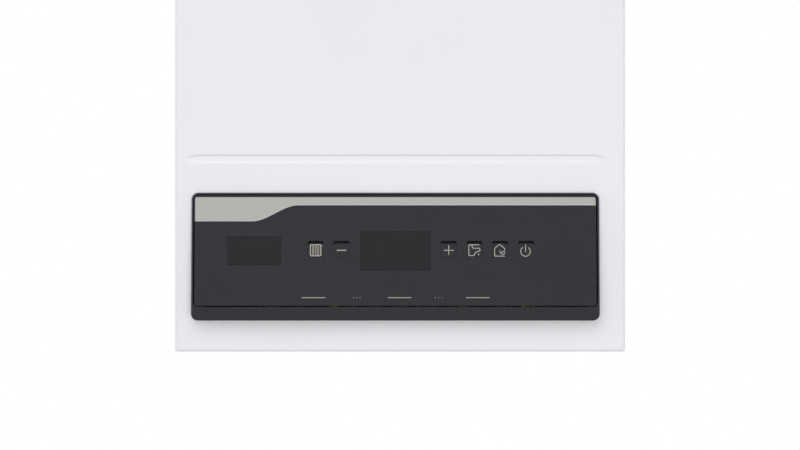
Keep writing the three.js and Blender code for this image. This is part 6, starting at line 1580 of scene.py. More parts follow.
class BOILER_OT_burner(bpy.types.Operator):
    """Burner: the tray with its row of nozzle ports, and twelve slotted bars in it"""
    bl_idname = "boiler.burner"
    bl_label = "Burner"

    def execute(self, context):
        outline = box_outline(-115, 115, -262, -95, 3)
        tray = stacked("z", outline, [(0, 262.4), (0, 321.6), (0.1, 321.9), (0.5, 322.0),
                                      (1.1, 322.0), (1.4, 321.9), (1.5, 321.6), (1.5, 264.2)])
        rails = [folded("x", [(y, 319.5), (y, 315.0), (y + side * 5.0, 315.0)], 1.0, -113.2,
                        113.2, 0.8) for y, side in ((-259.6, 1), (-98.4, -1))]
        ports = [turned("y", [(7.4, -261.4), (7.4, -262.0), (5.6, -262.9), (4.7, -262.9),
                              (4.7, -256.0), (5.2, -256.0), (5.2, -261.4), (7.4, -261.4)], x, 290,
                        0.3, 32) for x in BURNER_ROW]
        holes = [rod("y", 4.7, -262.3, -261.6, x, 290, 0.1, 32) for x in BURNER_ROW]
        flange = shell("z", inset(outline, -0.5), 2.9, 318.0, 322.0, 0.5)
        swages = [stacked("y", box_outline(-100, 100, 272, 276, 2),
                          [(0, -261.8), (0.5, -262.4), (1.2, -262.7)])]
        heads = [screw("x", 2.8, s * 115.0, s * 116.5, y, 300, 28)
                 for s in (-1, 1) for y in (-250, -178, -107)]
        piece("burner_tray_pan", "chassis", "burner_tray", "zinc_sheet",
              zinc=[tray, *rails, *ports, flange, *swages], rubber=holes, steel=heads)
        bars, slots = [], []
        for x in BURNER_ROW:
            side = rounded([(x - 4.5, 304.2), (x + 4.5, 304.2), (x + 4.5, 313.0),
                            (x + 2.6, 318.0), (x - 2.6, 318.0), (x - 4.5, 313.0)], 1.0,
                           closed=True)
            bars.append(extruded("y", side, -254.4, -102.6, 0, 0.6))
            slots += [cushion_block(x - 2.3, x + 2.3, y - 0.5, y + 0.5, 317.6, 318.06, 0.05, 1)
                      for y in np.arange(28) * 5.2 - 248.7]
        links = [cushion_block(-113.4, 113.4, y - 2, y + 2, 301.1, 304.6, 0.5) for y in
                 (-240, -116)]
        piece("burner_bars_set", "chassis", "burner_bars", "steel", steel=bars + links,
              rubber=slots)
        return {"FINISHED"}


def threaded_stub(x, top, bore_top):
    """A pipe end below the casing: a wall that widens at its top, and its ridges outside."""
    wall = turned("z", [(7, 8), (9.4, 8), (10, 8.8), (10, top), (8, top), (7, bore_top), (7, 8)],
                  x, PORTS_Y, 0.3, 56)
    ridges = [turned("z", [(8.0, low), (9.9, low), (10.3, low + 0.45), (10.3, low + 0.75),
                           (9.9, low + 1.2), (8.0, low + 1.2)], x, PORTS_Y, 0.15, 56)
              for low in np.arange(10, 26, 1.8)]
    return [wall, *ridges]


def water_stub(x):
    """A water pipe's end below the casing, with a nut under and over the bottom plate."""
    return [*threaded_stub(x, 46, 44), *[nut("z", 14.5, low, high, x, PORTS_Y, 0.8, bore=9.8)
                                         for low, high in ((30, 34.6), (37.2, 43.0))]]


class BOILER_OT_gas_line(bpy.types.Operator):
    """Gas line: inlet pipe with its nut, the gas valve, the supply pipe and the manifold"""
    bl_idname = "boiler.gas_line"
    bl_label = "Gas line"

    def execute(self, context):
        self.manifold()
        self.valve()
        collar = nut("z", 15, 36.6, 40.5, 0, -60, 0.8)
        joint = nut("z", 13.5, 41.0, 50.0, 0, -60, 1.0)
        run = pipe([(0, -60, 27), (0, -60, 70), (0, -160, 70), (0, -160, 166)], 7.5, 20, 32, 10)
        union = nut("z", 13.0, 158, 171, 0, -160, 1.2)
        flange = drilled(rounded([(-16, -172), (16, -172), (16, -148), (-16, -148)], 5,
                                 closed=True), [disc_outline(6, 0, -160)], "z", 171.5, 175.6, 0.5)
        heads = screws("z", 3.0, 171.6, 169.4, product((-12.0, 12.0), (-160,)))
        piece("gas_inlet_pipe_run", "chassis", "gas_inlet_pipe", "brass",
              brass=[*threaded_stub(0, 35, 28), collar, joint, union, flange], copper=[run],
              steel=heads)
        run = pipe([(0, -160, 229), (0, -160, 250), (0, -276, 250), (0, -276, 280.4)], 7.5, 16,
                   32, 10)
        lower = nut("z", 12.5, 228.5, 239.5, 0, -160, 1.2)
        upper = nut("z", 12.5, 267.0, 277.0, 0, -276, 1.2)
        piece("gas_supply_pipe_run", "chassis", "gas_supply_pipe", "steel", copper=[run],
              brass=[lower, upper])
        return {"FINISHED"}

    def manifold(self):
        """Bar, twelve nozzles, end blocks and the two injector coils."""
        bar = rod("x", 9.0, -102, 102, -276, 290, 1.2, 56)
        nozzles = []
        for x in BURNER_ROW:
            nozzles.append(nut("y", 5.2, -268.5, -264.5, x, 290, 0.4))
            nozzles.append(turned("y", [(0, -266), (3.4, -266), (2.5, -260), (2.5, -256.4),
                                        (1.0, -256.0), (0, -257.0)], x, 290, 0.2, 28))
        blocks = [cushion_block(s * 102 - 5, s * 102 + 5, -276, -262.1, 283, 297, 1.0)
                  for s in (-1, 1)]
        blocks += [turned("x", [(0, s * 101), (9.6, s * 101), (9.6, s * 104.0),
                                (6, s * 106.8), (0, s * 107)], -276, 290, 0.6, 44)
                   for s in (-1, 1)]
        coils, parts = [], []
        for x in (-60, 60):
            coils.append(turned("z", [(0, 252), (9.6, 252), (11.0, 253), (11.0, 277),
                                      (9.6, 278), (0, 278)], x, -276, 0.6, 44))
            coils.append(cushion_block(x - 4, x + 4, -287, -282, 256, 264, 0.6))
            parts.append(rod("z", 3.6, 250, 253, x, -276, 0.4, 72))
            parts.append(nut("z", 8.0, 278, 283, x, -276, 0.6))
            parts.append(turned("z", [(0, 296), (6, 296), (6, 298.4), (5, 299), (0, 299)], x, -276,
                                0.3, 36))
        heads = [screw("y", 2.6, -276.0, -277.6, s * 102, h, 24) for s in (-1, 1)
                 for h in (285.5, 294.5)]
        piece("gas_manifold_bar", "chassis", "gas_manifold", "cast_aluminium",
              aluminium=[bar, *blocks], brass=nozzles + parts, black=coils, steel=heads)

    def valve(self):
        """Cast body, two coils, the regulator's cap, test points and the bracket."""
        body = cushion_block(-28, 28, -183.8, -136, 176.2, 228, 3.0, 3)
        pads = [stacked("y", box_outline(-25, 25, 181, 224, 4),
                        [(0, -183.0), (0, -184.6), (0.5, -185.2)])]
        ports = [rod("z", 12.5, low, high, 0, -160, 0.8, 44)
                 for low, high in ((175.8, 178.2), (226.4, 228.3))]
        coils = [turned("y", [(0, -184), (11.2, -184), (12, -185.2), (12, -206), (10.4, -208),
                              (0, -208)], x, 210, 0.7, 48) for x in (-13, 13)]
        coils.append(cushion_block(-20, 20, -213.5, -205, 203.5, 216.5, 1.2))
        pins = [cushion_block(x - 0.4, x + 0.4, -216, -213, 206.5, 213.5, 0.15, 1)
                for x in (-12, 0, 12)]
        cap = turned("y", [(0, -184), (9, -184), (9, -194), (8.4, -195), (8.4, -199.4),
                           (7.2, -202), (0, -202)], 0, 189.5, 0.6, 48)
        grips = spokes(cushion_block(-0.5, 0.5, -193.5, -186, 197.9, 198.9, 0.3, 1), "y", 0, 189.5,
                       range(0, 360, 20))
        taps = [turned("y", [(0, -185), (3.2, -185), (3.2, -189), (1.8, -190.5), (0, -190.5)],
                       x, 187, 0.3, 28) for x in (-19, 19)]
        bracket = drilled(rounded([(-28, 176), (28, 176), (28, 248), (-28, 248)], 3, closed=True),
                          [disc_outline(2.6, x, 241) for x in (-18, 18)], "y", -136.0, -134.1,
                          0.3)
        heads = screws("y", 2.8, -185.2, -186.8, product((-22, 22), (196, 221)))
        piece("gas_valve_body", "chassis", "gas_valve", "cast_aluminium",
              aluminium=[body, *pads, *ports], black=coils, brass=pins + taps, cream=[cap, *grips],
              zinc=[bracket], steel=heads)


# --------------------------------------------------------------------- water side

class BOILER_OT_flow_side(bpy.types.Operator):
    """Flow side: the cast block with its two stubs, the diverter's motor and its spindle"""
    bl_idname = "boiler.flow_side"
    bl_label = "Flow side"

    def execute(self, context):
        mould = [cushion_block(-149.8, -48.2, -87.8, -38.2, 44.2, 109.8, 5.0, 4)]
        mould += [cushion_block(-146, -100, -88.0, -86.0, 50, 104, 1.0, 2)]
        mould += [turned("z", [(0, 108.6), (18, 108.6), (18, 114), (16.6, 115.6), (16.6, 143),
                               (18, 144.6), (18, 149.8), (3.8, 149.8), (3.8, 146), (0, 146)],
                         *DIVERTER, 0.8, 64)]
        mould += [cushion_block(-131.2, -128.8, y - 1.2, y + 1.2, 114, 145, 0.6, 1)
                  for y in (-80, -46)]
        mould += [cushion_block(x - 5, x + 5, -78, -48, 36.5, 46, 1.2, 2) for x in (-54, -144)]
        mould += [turned("y", [(0, -89.6), (9.5, -89.6), (11, -88.0), (12.4, -86.5), (0, -86.5)],
                         x, h, 0.5, 44) for x, h in ((-66, 71), (-96, 78))]
        mould += [cushion_block(-92, -70, -88.6, -86, 88, 92, 0.8, 2)]
        stubs = [*water_stub(-130), *water_stub(-65)]
        piece("flow_block_body", "chassis", "flow_block", "brass", rough_brass=mould, brass=stubs)

        case = turned("z", [(0, 164.2), (19, 164.2), (21, 166), (21, 190), (19.6, 192.4),
                            (12, 197.8), (0, 198)], *DIVERTER, 1.0, 64)
        belt = ring("z", 21.0, 20.0, 176, 180, *DIVERTER, 0.6, 64)
        plug = cushion_block(-139, -121, -90, -80, 170.1, 181.9, 1.2, 2)
        pins = [cushion_block(x - 1.4, x + 1.4, -90.1, -88.6, 174, 178, 0.3, 1)
                for x in (-135.5, -130, -124.5)]
        legs = [cushion_block(-130 + s * 12 - 2, -130 + s * 12 + 2, -67, -59, 150.2, 166, 1.0, 2)
                for s in (-1, 1)]
        clip = pipe([(-143.6, -52, 152.2), (-143.6, -74, 152.2), (-116.4, -74, 152.2),
                     (-116.4, -52, 152.2)], 1.0, 8, 14, 6)
        arrow = extruded("z", [(-133, -61), (-127, -61), (-130, -69)], 197.6, 198.0, 0.4, 0.1)
        piece("diverter_motor_case", "chassis", "diverter_motor", "black_plastic",
              black=[case, belt, plug, *legs], steel=[clip], cream=[*pins, arrow])
        spindle = turned("z", [(0, 129), (3.1, 129), (3.5, 129.6), (3.5, 143.0), (2.7, 143.6),
                               (2.7, 145.4), (3.5, 146), (3.5, 151), (6.5, 151), (6.5, 153),
                               (3.5, 153), (3.5, 185.4), (2.9, 186), (0, 186)], *DIVERTER, 0.25,
                         40)
        piece("diverter_spindle_pin", "diverter", "diverter_spindle", "steel", steel=[spindle])
        return {"FINISHED"}


class BOILER_OT_return_side(bpy.types.Operator):
    """Return side: the block with its stubs, and the pump's volute, wheel and motor"""
    bl_idname = "boiler.return_side"
    bl_label = "Return side"

    def execute(self, context):
        mould = [cushion_block(48.2, 149.8, -87.8, -38.2, 44.2, 109.8, 5.0, 4)]
        mould += [cushion_block(x - 5, x + 5, -78, -48, 36.5, 46, 1.2, 2) for x in (54, 144)]
        mould += [turned("y", [(0, -89.4), (radius - 1, -89.4), (radius, -88),
                               (radius + 1.4, -86.4), (0, -86.4)], x, h, 0.5, 44)
                  for x, h, radius in ((76, 78, 12.5), (60, 60, 8.5))]
        mould += [rod("z", 11, 108.8, 110.3, x, -63, 0.5, 44) for x in (134, 110)]
        stubs = [*water_stub(65), *water_stub(130)]
        piece("return_block_body", "chassis", "return_block", "brass", rough_brass=mould,
              brass=stubs)

        volute = turned("y", [(0, -88), (36, -88), (41, -91), (42, -95), (42, -126), (40.6, -128),
                              (42, -129.5), (42, -131.2), (41, -132), (36.0, -132), (34.6, -131),
                              (34.6, -98), (0, -97)], *PUMP, 1.0, 84)
        outlet = turned("z",
                        [(7.0, 126), (12, 126), (12, 158.6), (11.2, 160), (7.0, 160), (7.0, 126)],
                        *PUMP_OUTLET, 0.6, 48)
        swirl = pipe([(x, -109, h) for x, h in arc(*PUMP, 34, -120, 80, 26)], 9.0, 1.0, 24, 2,
                     profile=((0, 0.45), (1, 1.0)))
        lugs = [turned("y", [(0, -131.9), (4.4, -131.9), (4.4, -122), (3.0, -120), (0, -120)], x,
                       h, 0.4, 28) for x, h in arc(*PUMP, 36.8, 45, 315, 4)]
        union = nut("z", 15.5, 146, 156.5, *PUMP_OUTLET, 1.2, bore=11.6)
        piece("pump_body_casting", "chassis", "pump_body", "cast_iron",
              iron=[volute, outlet, swirl, *lugs], brass=[union])

        motor = turned("y", [(0, -132.2), (41.2, -132.2), (42, -133), (42, -139.2), (41, -140),
                             (38, -140), (38, -190), (36.4, -196), (28.5, -203), (27.2, -204),
                             (10.5, -204), (9.6, -202.6), (0, -202.6)], *PUMP, 0.8, 96)
        fins = spokes(cushion_block(133.1, 134.9, -188, -141, 142.5, 145.3, 0.5, 1), "y", *PUMP,
                      [*range(0, 61, 12), *range(120, 360, 12)])
        box = cushion_block(112, 156, -188, -148, 131, 157.3, 3.0, 3)
        lid = cushion_block(113.5, 154.5, -186.5, -149.5, 155.6, 158.0, 1.0, 2)
        entry = turned("y", [(0, -194), (7.5, -194), (8.5, -192.6), (8.5, -187), (0, -187)], 134,
                       144, 0.6, 40)
        vent = screw("y", 7.5, -202.8, -204.0, *PUMP, 48)
        bolts = screws("y", 3.4, -140.0, -142.2, arc(*PUMP, 38.4, 45, 315, 4))
        switch = rod("z", 5.2, 157.6, 158.4, 122, -160, 0.1, 72)
        piece("pump_motor_case", "chassis", "pump_motor", "black_plastic",
              black=[motor, *fins, box, lid, entry], steel=[vent, *bolts], red=[switch])

        discs = [turned("y", [(inner, y), (32.6, y), (33, y + 0.5), (32.6, y + 1.4),
                              (inner, y + 1.4), (inner, y)], *PUMP, 0.2, 72)
                 for inner, y in ((0.5, -121.3), (15.0, -99.9))]
        blades = spokes(folded("y", arc(159, 120, 20, 150, 232, 10), 1.2, -120.2, -99.6, 0, 0.2),
                        "y", *PUMP, range(0, 360, 60))
        shaft = turned("y", [(0, -146), (3.4, -146), (4, -145.4), (4, -121), (7, -121), (7, -112),
                             (4, -110), (0, -109.6)], *PUMP, 0.3, 40)
        piece("pump_impeller_wheel", "pump_wheel", "pump_impeller", "grey_plastic",
              grey=[*discs, *blades, shaft])
        return {"FINISHED"}


class BOILER_OT_plate_exchanger(bpy.types.Operator):
    """Plate exchanger: brazed plates stacked upwards, each with its rim, and corner ports"""
    bl_idname = "boiler.plate_exchanger"
    bl_label = "Plate exchanger"

    def execute(self, context):
        outline = box_outline(-94, 94, -88, -38, 16, 8)
        line = []
        for low in np.arange(16) * 2.36 + 111.0:
            line += [(0.0, low + 0.25), (0.0, low + 0.95), (0.5, low + 1.15), (1.3, low + 1.3),
                     (1.3, low + 2.0), (0.4, low + 2.2)]
        stack = stacked("z", outline, [(1.2, 110.0), (0.3, 110.4), *line, (0.0, 149.0 - 0.25),
                                       (0.3, 149.0)])
        chevrons = []
        for x in np.arange(-52, 53, 8.0):
            for side in (-1, 1):
                base = [(x, -63), (x + 3.0, -63), (x + 13.0, -63 + side * 17),
                        (x + 10.0, -63 + side * 17)]
                chevrons.append(extruded("z", base, 148.8, 149.5, 0.6, 0.15, 1))
        bosses = [rod("z", 9, 148.6, 149.5, x, y, 0.2, 40) for x in (-78, 78) for y in (-76, -50)]
        piece("plate_exchanger_stack", "chassis", "plate_exchanger", "steel",
              steel=[stack, *chevrons], copper=bosses)
        return {"FINISHED"}


class BOILER_OT_fittings(bpy.types.Operator):
    """Fittings: air vent, relief valve, filling valve, both knobs and the two sensors"""
    bl_idname = "boiler.fittings"
    bl_label = "Fittings"

    def execute(self, context):
        vent = [turned("z", [(0, 110), (7, 110), (7, 117), (12, 121), (13, 124), (13, 138),
                             (12.2, 139), (13, 140), (13, 152), (12, 154), (6, 155), (0, 155)],
                       *AIR_VENT, 0.6, 52), nut("z", 10.5, 111, 116.5, *AIR_VENT, 0.8)]
        cap = [turned("z", [(0, 154), (5.0, 154), (5.0, 160.6), (6, 161), (6, 167), (5.2, 168),
                            (0, 168)], *AIR_VENT, 0.4, 40)]
        grips = spokes(cushion_block(133.6, 134.4, -57.6, -56.8, 161.6, 166.6, 0.3, 1), "z",
                       *AIR_VENT, range(0, 360, 30))
        piece("air_vent_body", "chassis", "air_vent", "brass", brass=vent, black=cap + grips)

        piece("relief_valve_body", "chassis", "relief_valve", "brass",
              brass=[turned("y", [(0, -88), (10, -88), (10, -94), (9, -95), (9, -108), (10, -109),
                                  (10, -117.4), (9.4, -118), (0, -118)], *RELIEF, 0.5, 48),
                     nut("y", 12.5, -100.5, -92.5, *RELIEF, 0.9),
                     turned("z", [(4.5, 12), (6.4, 12), (7, 12.8), (7, 17), (6.4, 17.5), (7, 18),
                                  (7, 22), (6.4, 22.5), (7, 23), (7, 70), (4.5, 70), (4.5, 12)],
                            76, -106, 0.3, 48)])
        knob = [turned("y", [(0, -118.6), (13.2, -118.6), (14, -119.6), (14, -130.6),
                             (12.6, -132.3), (0, -132.3)], *RELIEF, 0.6, 56),
                cushion_block(60.2, 91.8, -138.2, -125.4, 75.2, 80.8, 1.8, 3)]
        knob += spokes(cushion_block(75.2, 76.8, -130, -120.5, 91.2, 92.0, 0.35, 1), "y", *RELIEF,
                       range(15, 375, 30))
        piece("relief_knob_cap", "relief_handle", "relief_knob", "red_plastic", red=knob)

        piece("filling_valve_body", "chassis", "filling_valve", "brass",
              brass=[turned("z", [(3.7, 36.8), (7.4, 36.8), (8, 37.6), (8, 42), (7, 43), (7, 52),
                                  (8, 53), (8, 55.4), (7.4, 56), (0, 56), (0, 47), (3.7, 47),
                                  (3.7, 36.8)], *FILLING, 0.4, 44),
                     nut("y", 5.6, -93.6, -88.0, 104, 50, 0.5),
                     rod("y", 4.6, -97, -92, 104, 50, 0.4, 32)])
        handle = [turned("z", [(0, 46), (3.0, 46), (3.5, 45.2), (3.5, 30), (10, 30), (11, 28.8),
                               (11, 13), (10, 11.5), (0, 11.5)], *FILLING, 0.5, 48),
                  cushion_block(90.2, 117.8, -101.4, -94.6, 8.1, 26.4, 2.0, 3)]
        handle += spokes(cushion_block(103.4, 104.6, -87.4, -87.0, 14, 27, 0.15, 1), "z", *FILLING,
                         range(15, 375, 30))
        piece("filling_knob_cap", "filling_handle", "filling_knob", "black_plastic", black=handle)

        sensor = [cushion_block(54.1, 65.9, -99.9, -88, 52.1, 67.9, 1.4, 3),
                  cushion_block(56.1, 63.9, -108, -99, 56.1, 63.9, 0.9, 2),
                  cushion_block(58, 62, -104.5, -99.5, 63.4, 65.2, 0.5, 1)]
        pins = [cushion_block(x - 0.4, x + 0.4, -108.06, -107.5, 58.4, 61.6, 0.02, 1)
                for x in (58, 60, 62)]
        piece("flow_sensor_body", "chassis", "flow_sensor", "black_plastic", black=sensor,
              brass=pins)
        gauge = [nut("y", 9.0, -97, -88, -66, 71, 0.7),
                 turned("y", [(0, -96), (7, -96.6), (7, -105), (6.5, -105.5), (7, -106),
                              (7, -110), (0, -110)], -66, 71, 0.4, 44)]
        plug = [turned("y", [(0, -109), (6.4, -109), (6.4, -117), (5.4, -118), (0, -118)], -66,
                       71, 0.4, 40), cushion_block(-68, -64, -117, -109, 76.2, 78.0, 0.4, 1)]
        piece("pressure_sensor_body", "chassis", "pressure_sensor", "brass", brass=gauge,
              black=plug)
        return {"FINISHED"}


class BOILER_OT_heating_pipes(bpy.types.Operator):
    """Heating pipes: bent copper with brazed ends and union nuts"""
    bl_idname = "boiler.heating_pipes"
    bl_label = "Heating pipes"

    def execute(self, context):
        run = pipe([(-126.3, -178.5, 500), (-160, -178.5, 500), (-160, -178.5, 232),
                    (-96, -178.5, 187), (-96, -178.5, 78), (-96, -88.4, 78)], 7.5, 20, 32, 10)
        parts = [nut("x", 12.5, -138.5, -128.5, -178.5, 500, 1.2, bore=7.4),
                 nut("y", 12.5, -100.0, -90.0, -96, 78, 1.2, bore=7.4)]
        bands = [ring("z", 8.6, 7.4, h, h + 5, -160, -178.5, 0.5, 40) for h in (300, 452)]
        piece("heating_flow_pipe_run", "chassis", "heating_flow_pipe", "copper", copper=[run],
              brass=parts, solder=bands)
        run = pipe([(134, -110, 160.4), (134, -110, 202), (160, -178.5, 244),
                    (160, -178.5, 500), (126.3, -178.5, 500)], 7.5, 20, 32, 10)
        parts = [nut("x", 12.5, 128.5, 138.5, -178.5, 500, 1.2, bore=7.4),
                 nut("z", 13.5, 161.0, 171.0, *PUMP_OUTLET, 1.2, bore=7.4)]
        bands = [ring("z", 8.6, 7.4, h, h + 5, 160, -178.5, 0.5, 40) for h in (300, 452)]
        piece("heating_return_pipe_run", "chassis", "heating_return_pipe", "copper", copper=[run],
              brass=parts, solder=bands)
        return {"FINISHED"}


class BOILER_OT_vessel(bpy.types.Operator):
    """Expansion vessel with its rolled seam, nipple and valve, and the braided hose"""
    bl_idname = "boiler.vessel"
    bl_label = "Expansion vessel"

    def execute(self, context):
        body = turned("y", [(0, -83), (128, -83), (148, -78.6), (156, -72), (162.5, -50),
                            (163.4, -46.2), (165, -45.2), (165, -38.8), (163.4, -37.8),
                            (162.5, -34), (156, -12), (148, -5.4), (128, -1), (0, -1)], 0, 505,
                      3.0, 128)
        step = stacked("y", disc_outline(60, 0, 505, 72),
                       [(0, -82.6), (0.3, -83.3), (0.9, -83.6)])
        nipple = [nut("z", 10.5, 331, 340, 0, -42, 0.9),
                  turned("z", [(0, 324), (6.4, 324), (7, 324.8), (7, 350), (0, 350)], 0, -42, 0.4,
                         44),
                  turned("z", [(0, 340), (12, 340), (12.6, 344), (9, 350), (0, 350)], 0, -42, 0.8,
                         44)]
        stem = [turned("y", [(0, -84.0), (5, -83.6), (5, -80), (0, -80)], 40, 600, 0.3, 32)]
        piece("expansion_vessel_shell", "chassis", "expansion_vessel", "red_lacquer",
              vessel=[body, step], steel=nipple, black=stem)
        path = [(0, -42, 312), (0, -42, 269), (110, -63, 214), (110, -63, 124)]
        hose = pipe(path, 5.0, 30, 32, 14)
        ends = [turned("z", [(3.4, 323.6), (8.6, 323.6), (8.6, 313.0), (6.0, 312.0), (6.0, 304),
                             (3.4, 304)], 0, -42, 0.4, 40),
                turned("z", [(3.4, 110.4), (8.6, 110.4), (8.6, 121.0), (6.0, 122.0), (6.0, 131),
                             (3.4, 131)], 110, -63, 0.4, 40),
                nut("z", 10.2, 313.5, 323.5, 0, -42, 0.8),
                nut("z", 10.2, 110.4, 120.5, 110, -63, 0.8)]
        item = piece("vessel_hose_run", "chassis", "vessel_hose", "steel", braid=[hose],
                     steel=ends)
        self.braid_map(item.data, rounded(path, 30, steps=14))
        return {"FINISHED"}

    def braid_map(self, mesh, line):
        """Stores on every point how far along the hose it lies and where round it."""
        away = placed_points(mesh)[:, None] - line[None]
        near = np.argmin(np.linalg.norm(away, axis=2), axis=1)
        offset = away[np.arange(len(away)), near]
        ahead = unit(np.gradient(line, axis=0)[near])
        side = unit(np.cross(ahead, (0.0, 1.0, 0.0)))
        store(mesh, "round_x", np.sum(offset * side, 1))
        store(mesh, "round_y", np.sum(offset * np.cross(ahead, side), 1))
        store(mesh, "run", (travelled(line)[near] + np.sum(offset * ahead, 1)) * MM)


# -------------------------------------------------------------------- control box

def box_front(height):
    """Where the control box's front edge lies: on the plane behind the tilted fascia."""
    rise = (height - FASCIA_MIDDLE + 2.8 * math.sin(TILT)) / math.cos(TILT)
    return FASCIA_FACE + 2.8 * math.cos(TILT) + rise * math.sin(TILT)


class BOILER_OT_control_box(bpy.types.Operator):
    """Control box: a moulded tray with ribs and slots that tilts on its two stub axles"""
    bl_idname = "boiler.control_box"
    bl_label = "Control box"

    def execute(self, context):
        outline = box_outline(PANEL_X - 186, PANEL_X + 186, 46, 140, 3, 5)
        loops = []
        for amount, y in ((1.6, -224.0), (0.5, -224.4), (0.0, -225.4), (0.0, None),
                          (0.3, None), (1.7, None), (2.0, None), (2.0, -227.0), (2.6, -226.2),
                          (4.0, -226.0)):
            line = inset(outline, amount)
            at = np.full(len(line), y) if y is not None else box_front(line[:, 1])
            if y is None and amount in (0.0, 2.0):
                at = at + 0.3
            loops.append(np.column_stack([line[:, 0], at, line[:, 1]]))
        mould = [capped(surface(np.stack(loops), along=True), len(outline))]
        for x in np.arange(-150, 151, 25.0):
            mould.append(cushion_block(PANEL_X + x - 0.8, PANEL_X + x + 0.8, -296, -232, 139.4,
                                       141.2, 0.5, 1))
            mould.append(cushion_block(PANEL_X + x - 0.8, PANEL_X + x + 0.8, -292, -232, 44.9,
                                       46.6, 0.5, 1))
        for h in (62, 93, 124):
            mould.append(cushion_block(PANEL_X - 178, PANEL_X + 178, -224.6, -222.9, h - 0.8,
                                       h + 0.8, 0.5, 1))
        for side in (-1, 1):
            low, high = sorted((PANEL_X + side * 184, PANEL_X + side * 190.5))
            mould.append(rod("x", 5, low, high, *BOX_HINGE, 0.6, 48))
            low, high = sorted((PANEL_X + side * 190, PANEL_X + side * 194.1))
            mould.append(rod("x", 2.5, low, high, *BOX_HINGE, 0.5, 36))
            low, high = sorted((PANEL_X + side * 184.1, PANEL_X + side * 190.4))
            mould.append(cushion_block(low, high, -294.9, -285.1, 40, 47, 0.8, 2))
            low, high = sorted((PANEL_X + side * 185.6, PANEL_X + side * 187.2))
            mould += [cushion_block(low, high, y - 3, y + 3, 128, 137, 0.7, 2)
                      for y in (-284, -244)]
        mould += [turned("y", [(0, -226), (4.6, -226), (4.0, -228), (4.0, -232), (1.4, -232),
                               (1.4, -229), (0, -229)], PANEL_X + x, h, 0.3, 36)
                  for x in (-155, 0, 155) for h in (60, 126)]
        slots = [cushion_block(PANEL_X + x - 1.2, PANEL_X + x + 1.2, -280, -244, 139.3, 140.1, 0.3,
                               1) for x in np.arange(-140, 141, 12.5)]
        glands = [turned("y", [(0, -223.2), (6.5, -223.2), (8, -222.6), (9, -224.4), (0, -224.4)],
                         PANEL_X + x, 52, 0.4, 40) for x in (-160, -130, 130)]
        piece("control_box_shell_tray", "control_box", "control_box_shell", "grey_plastic",
              grey=mould, rubber=slots + glands)
        return {"FINISHED"}


class BOILER_OT_main_board(bpy.types.Operator):
    """Main board: transformer, relays, capacitors, plug sockets and small parts"""
    bl_idname = "boiler.main_board"
    bl_label = "Main board"

    def execute(self, context):
        face = -233.6
        holes = [disc_outline(1.6, PANEL_X + x, h, 20) for x in (-155, 0, 155) for h in (60, 126)]
        board = drilled(box_outline(PANEL_X - 165, PANEL_X + 165, 54, 132, 1.5), holes, "y",
                        face, -232.0, 0.1)
        steel, black, blue, cans, sockets, brass = [], [], [], [], [], []
        x = PANEL_X - 117.9
        steel += [cushion_block(x - 22, x + 22, face - 4.4 - layer, face - 3.1 - layer, 78, 108,
                                0.3, 1) for layer in np.arange(18) * 1.5]
        black.append(cushion_block(x - 15, x + 15, face - 34, face, 71.2, 114.8, 3.0, 3))
        for dx in (-58.9, -35.4, -11.8, 11.8):
            x = PANEL_X + dx
            blue.append(cushion_block(x - 9, x + 9, face - 15, face, 60.5, 86.5, 0.8, 2))
            black.append(cushion_block(x - 6.5, x + 6.5, face - 15.2, face - 14.8, 63, 84, 0.1, 1))
            cans.append(turned("y", [(0, face - 21.6), (4.6, face - 22), (5.6, face - 22),
                                     (6, face - 21.4), (6, face - 3.2), (5.5, face - 2.6),
                                     (6, face - 2.0), (6, face), (0, face)], x, 112.5, 0.25, 40))
            black.append(cushion_block(x - 3, x + 3, face - 1.6, face, 92, 99, 0.3, 1))
            steel += [cushion_block(x - 3.6, x + 3.6, face - 0.9, face, h, h + 1.0, 0.2, 1)
                      for h in (93, 97)]
        for dx in (51.9, 80.1, 108.4, 136.7):
            x = PANEL_X + dx
            outline = box_outline(x - 11, x + 11, 114, 126, 0.8, 3)
            sockets.append(stacked("y", outline,
                                   [(0, face), (0, face - 11.7), (0.3, face - 12),
                                    (0.9, face - 12), (1.2, face - 11.7), (1.2, face - 3)]))
            steel += [cushion_block(x + pin - 0.5, x + pin + 0.5, face - 9, face - 2, 119.5, 120.5,
                                    0.2, 1) for pin in (-7.5, -2.5, 2.5, 7.5)]
            for low in (62, 73.5, 85, 96.5):
                black.append(cushion_block(x - 4, x + 4, face - 2.4, face, low, low + 5, 0.3, 1))
                brass.append(rod("x", 1.3, x - 9.6, x - 6.2, face - 1.3, low + 2.5, 0.4, 20))
        chip = PANEL_X + 30
        black.append(cushion_block(chip - 6, chip + 6, face - 2.6, face, 84, 104, 0.4, 1))
        steel += [cushion_block(chip + dx - 0.8, chip + dx + 0.8, face - 1.2, face, h - 0.4,
                                h + 0.4, 0.1, 1) for dx in (-6.4, 6.4)
                  for h in np.arange(85, 104, 2.0)]
        piece("main_board_set", "control_box", "main_board", "circuit_board", board=[board],
              steel=steel, black=black, blue=blue, aluminium=cans, cream=sockets, brass=brass)
        return {"FINISHED"}


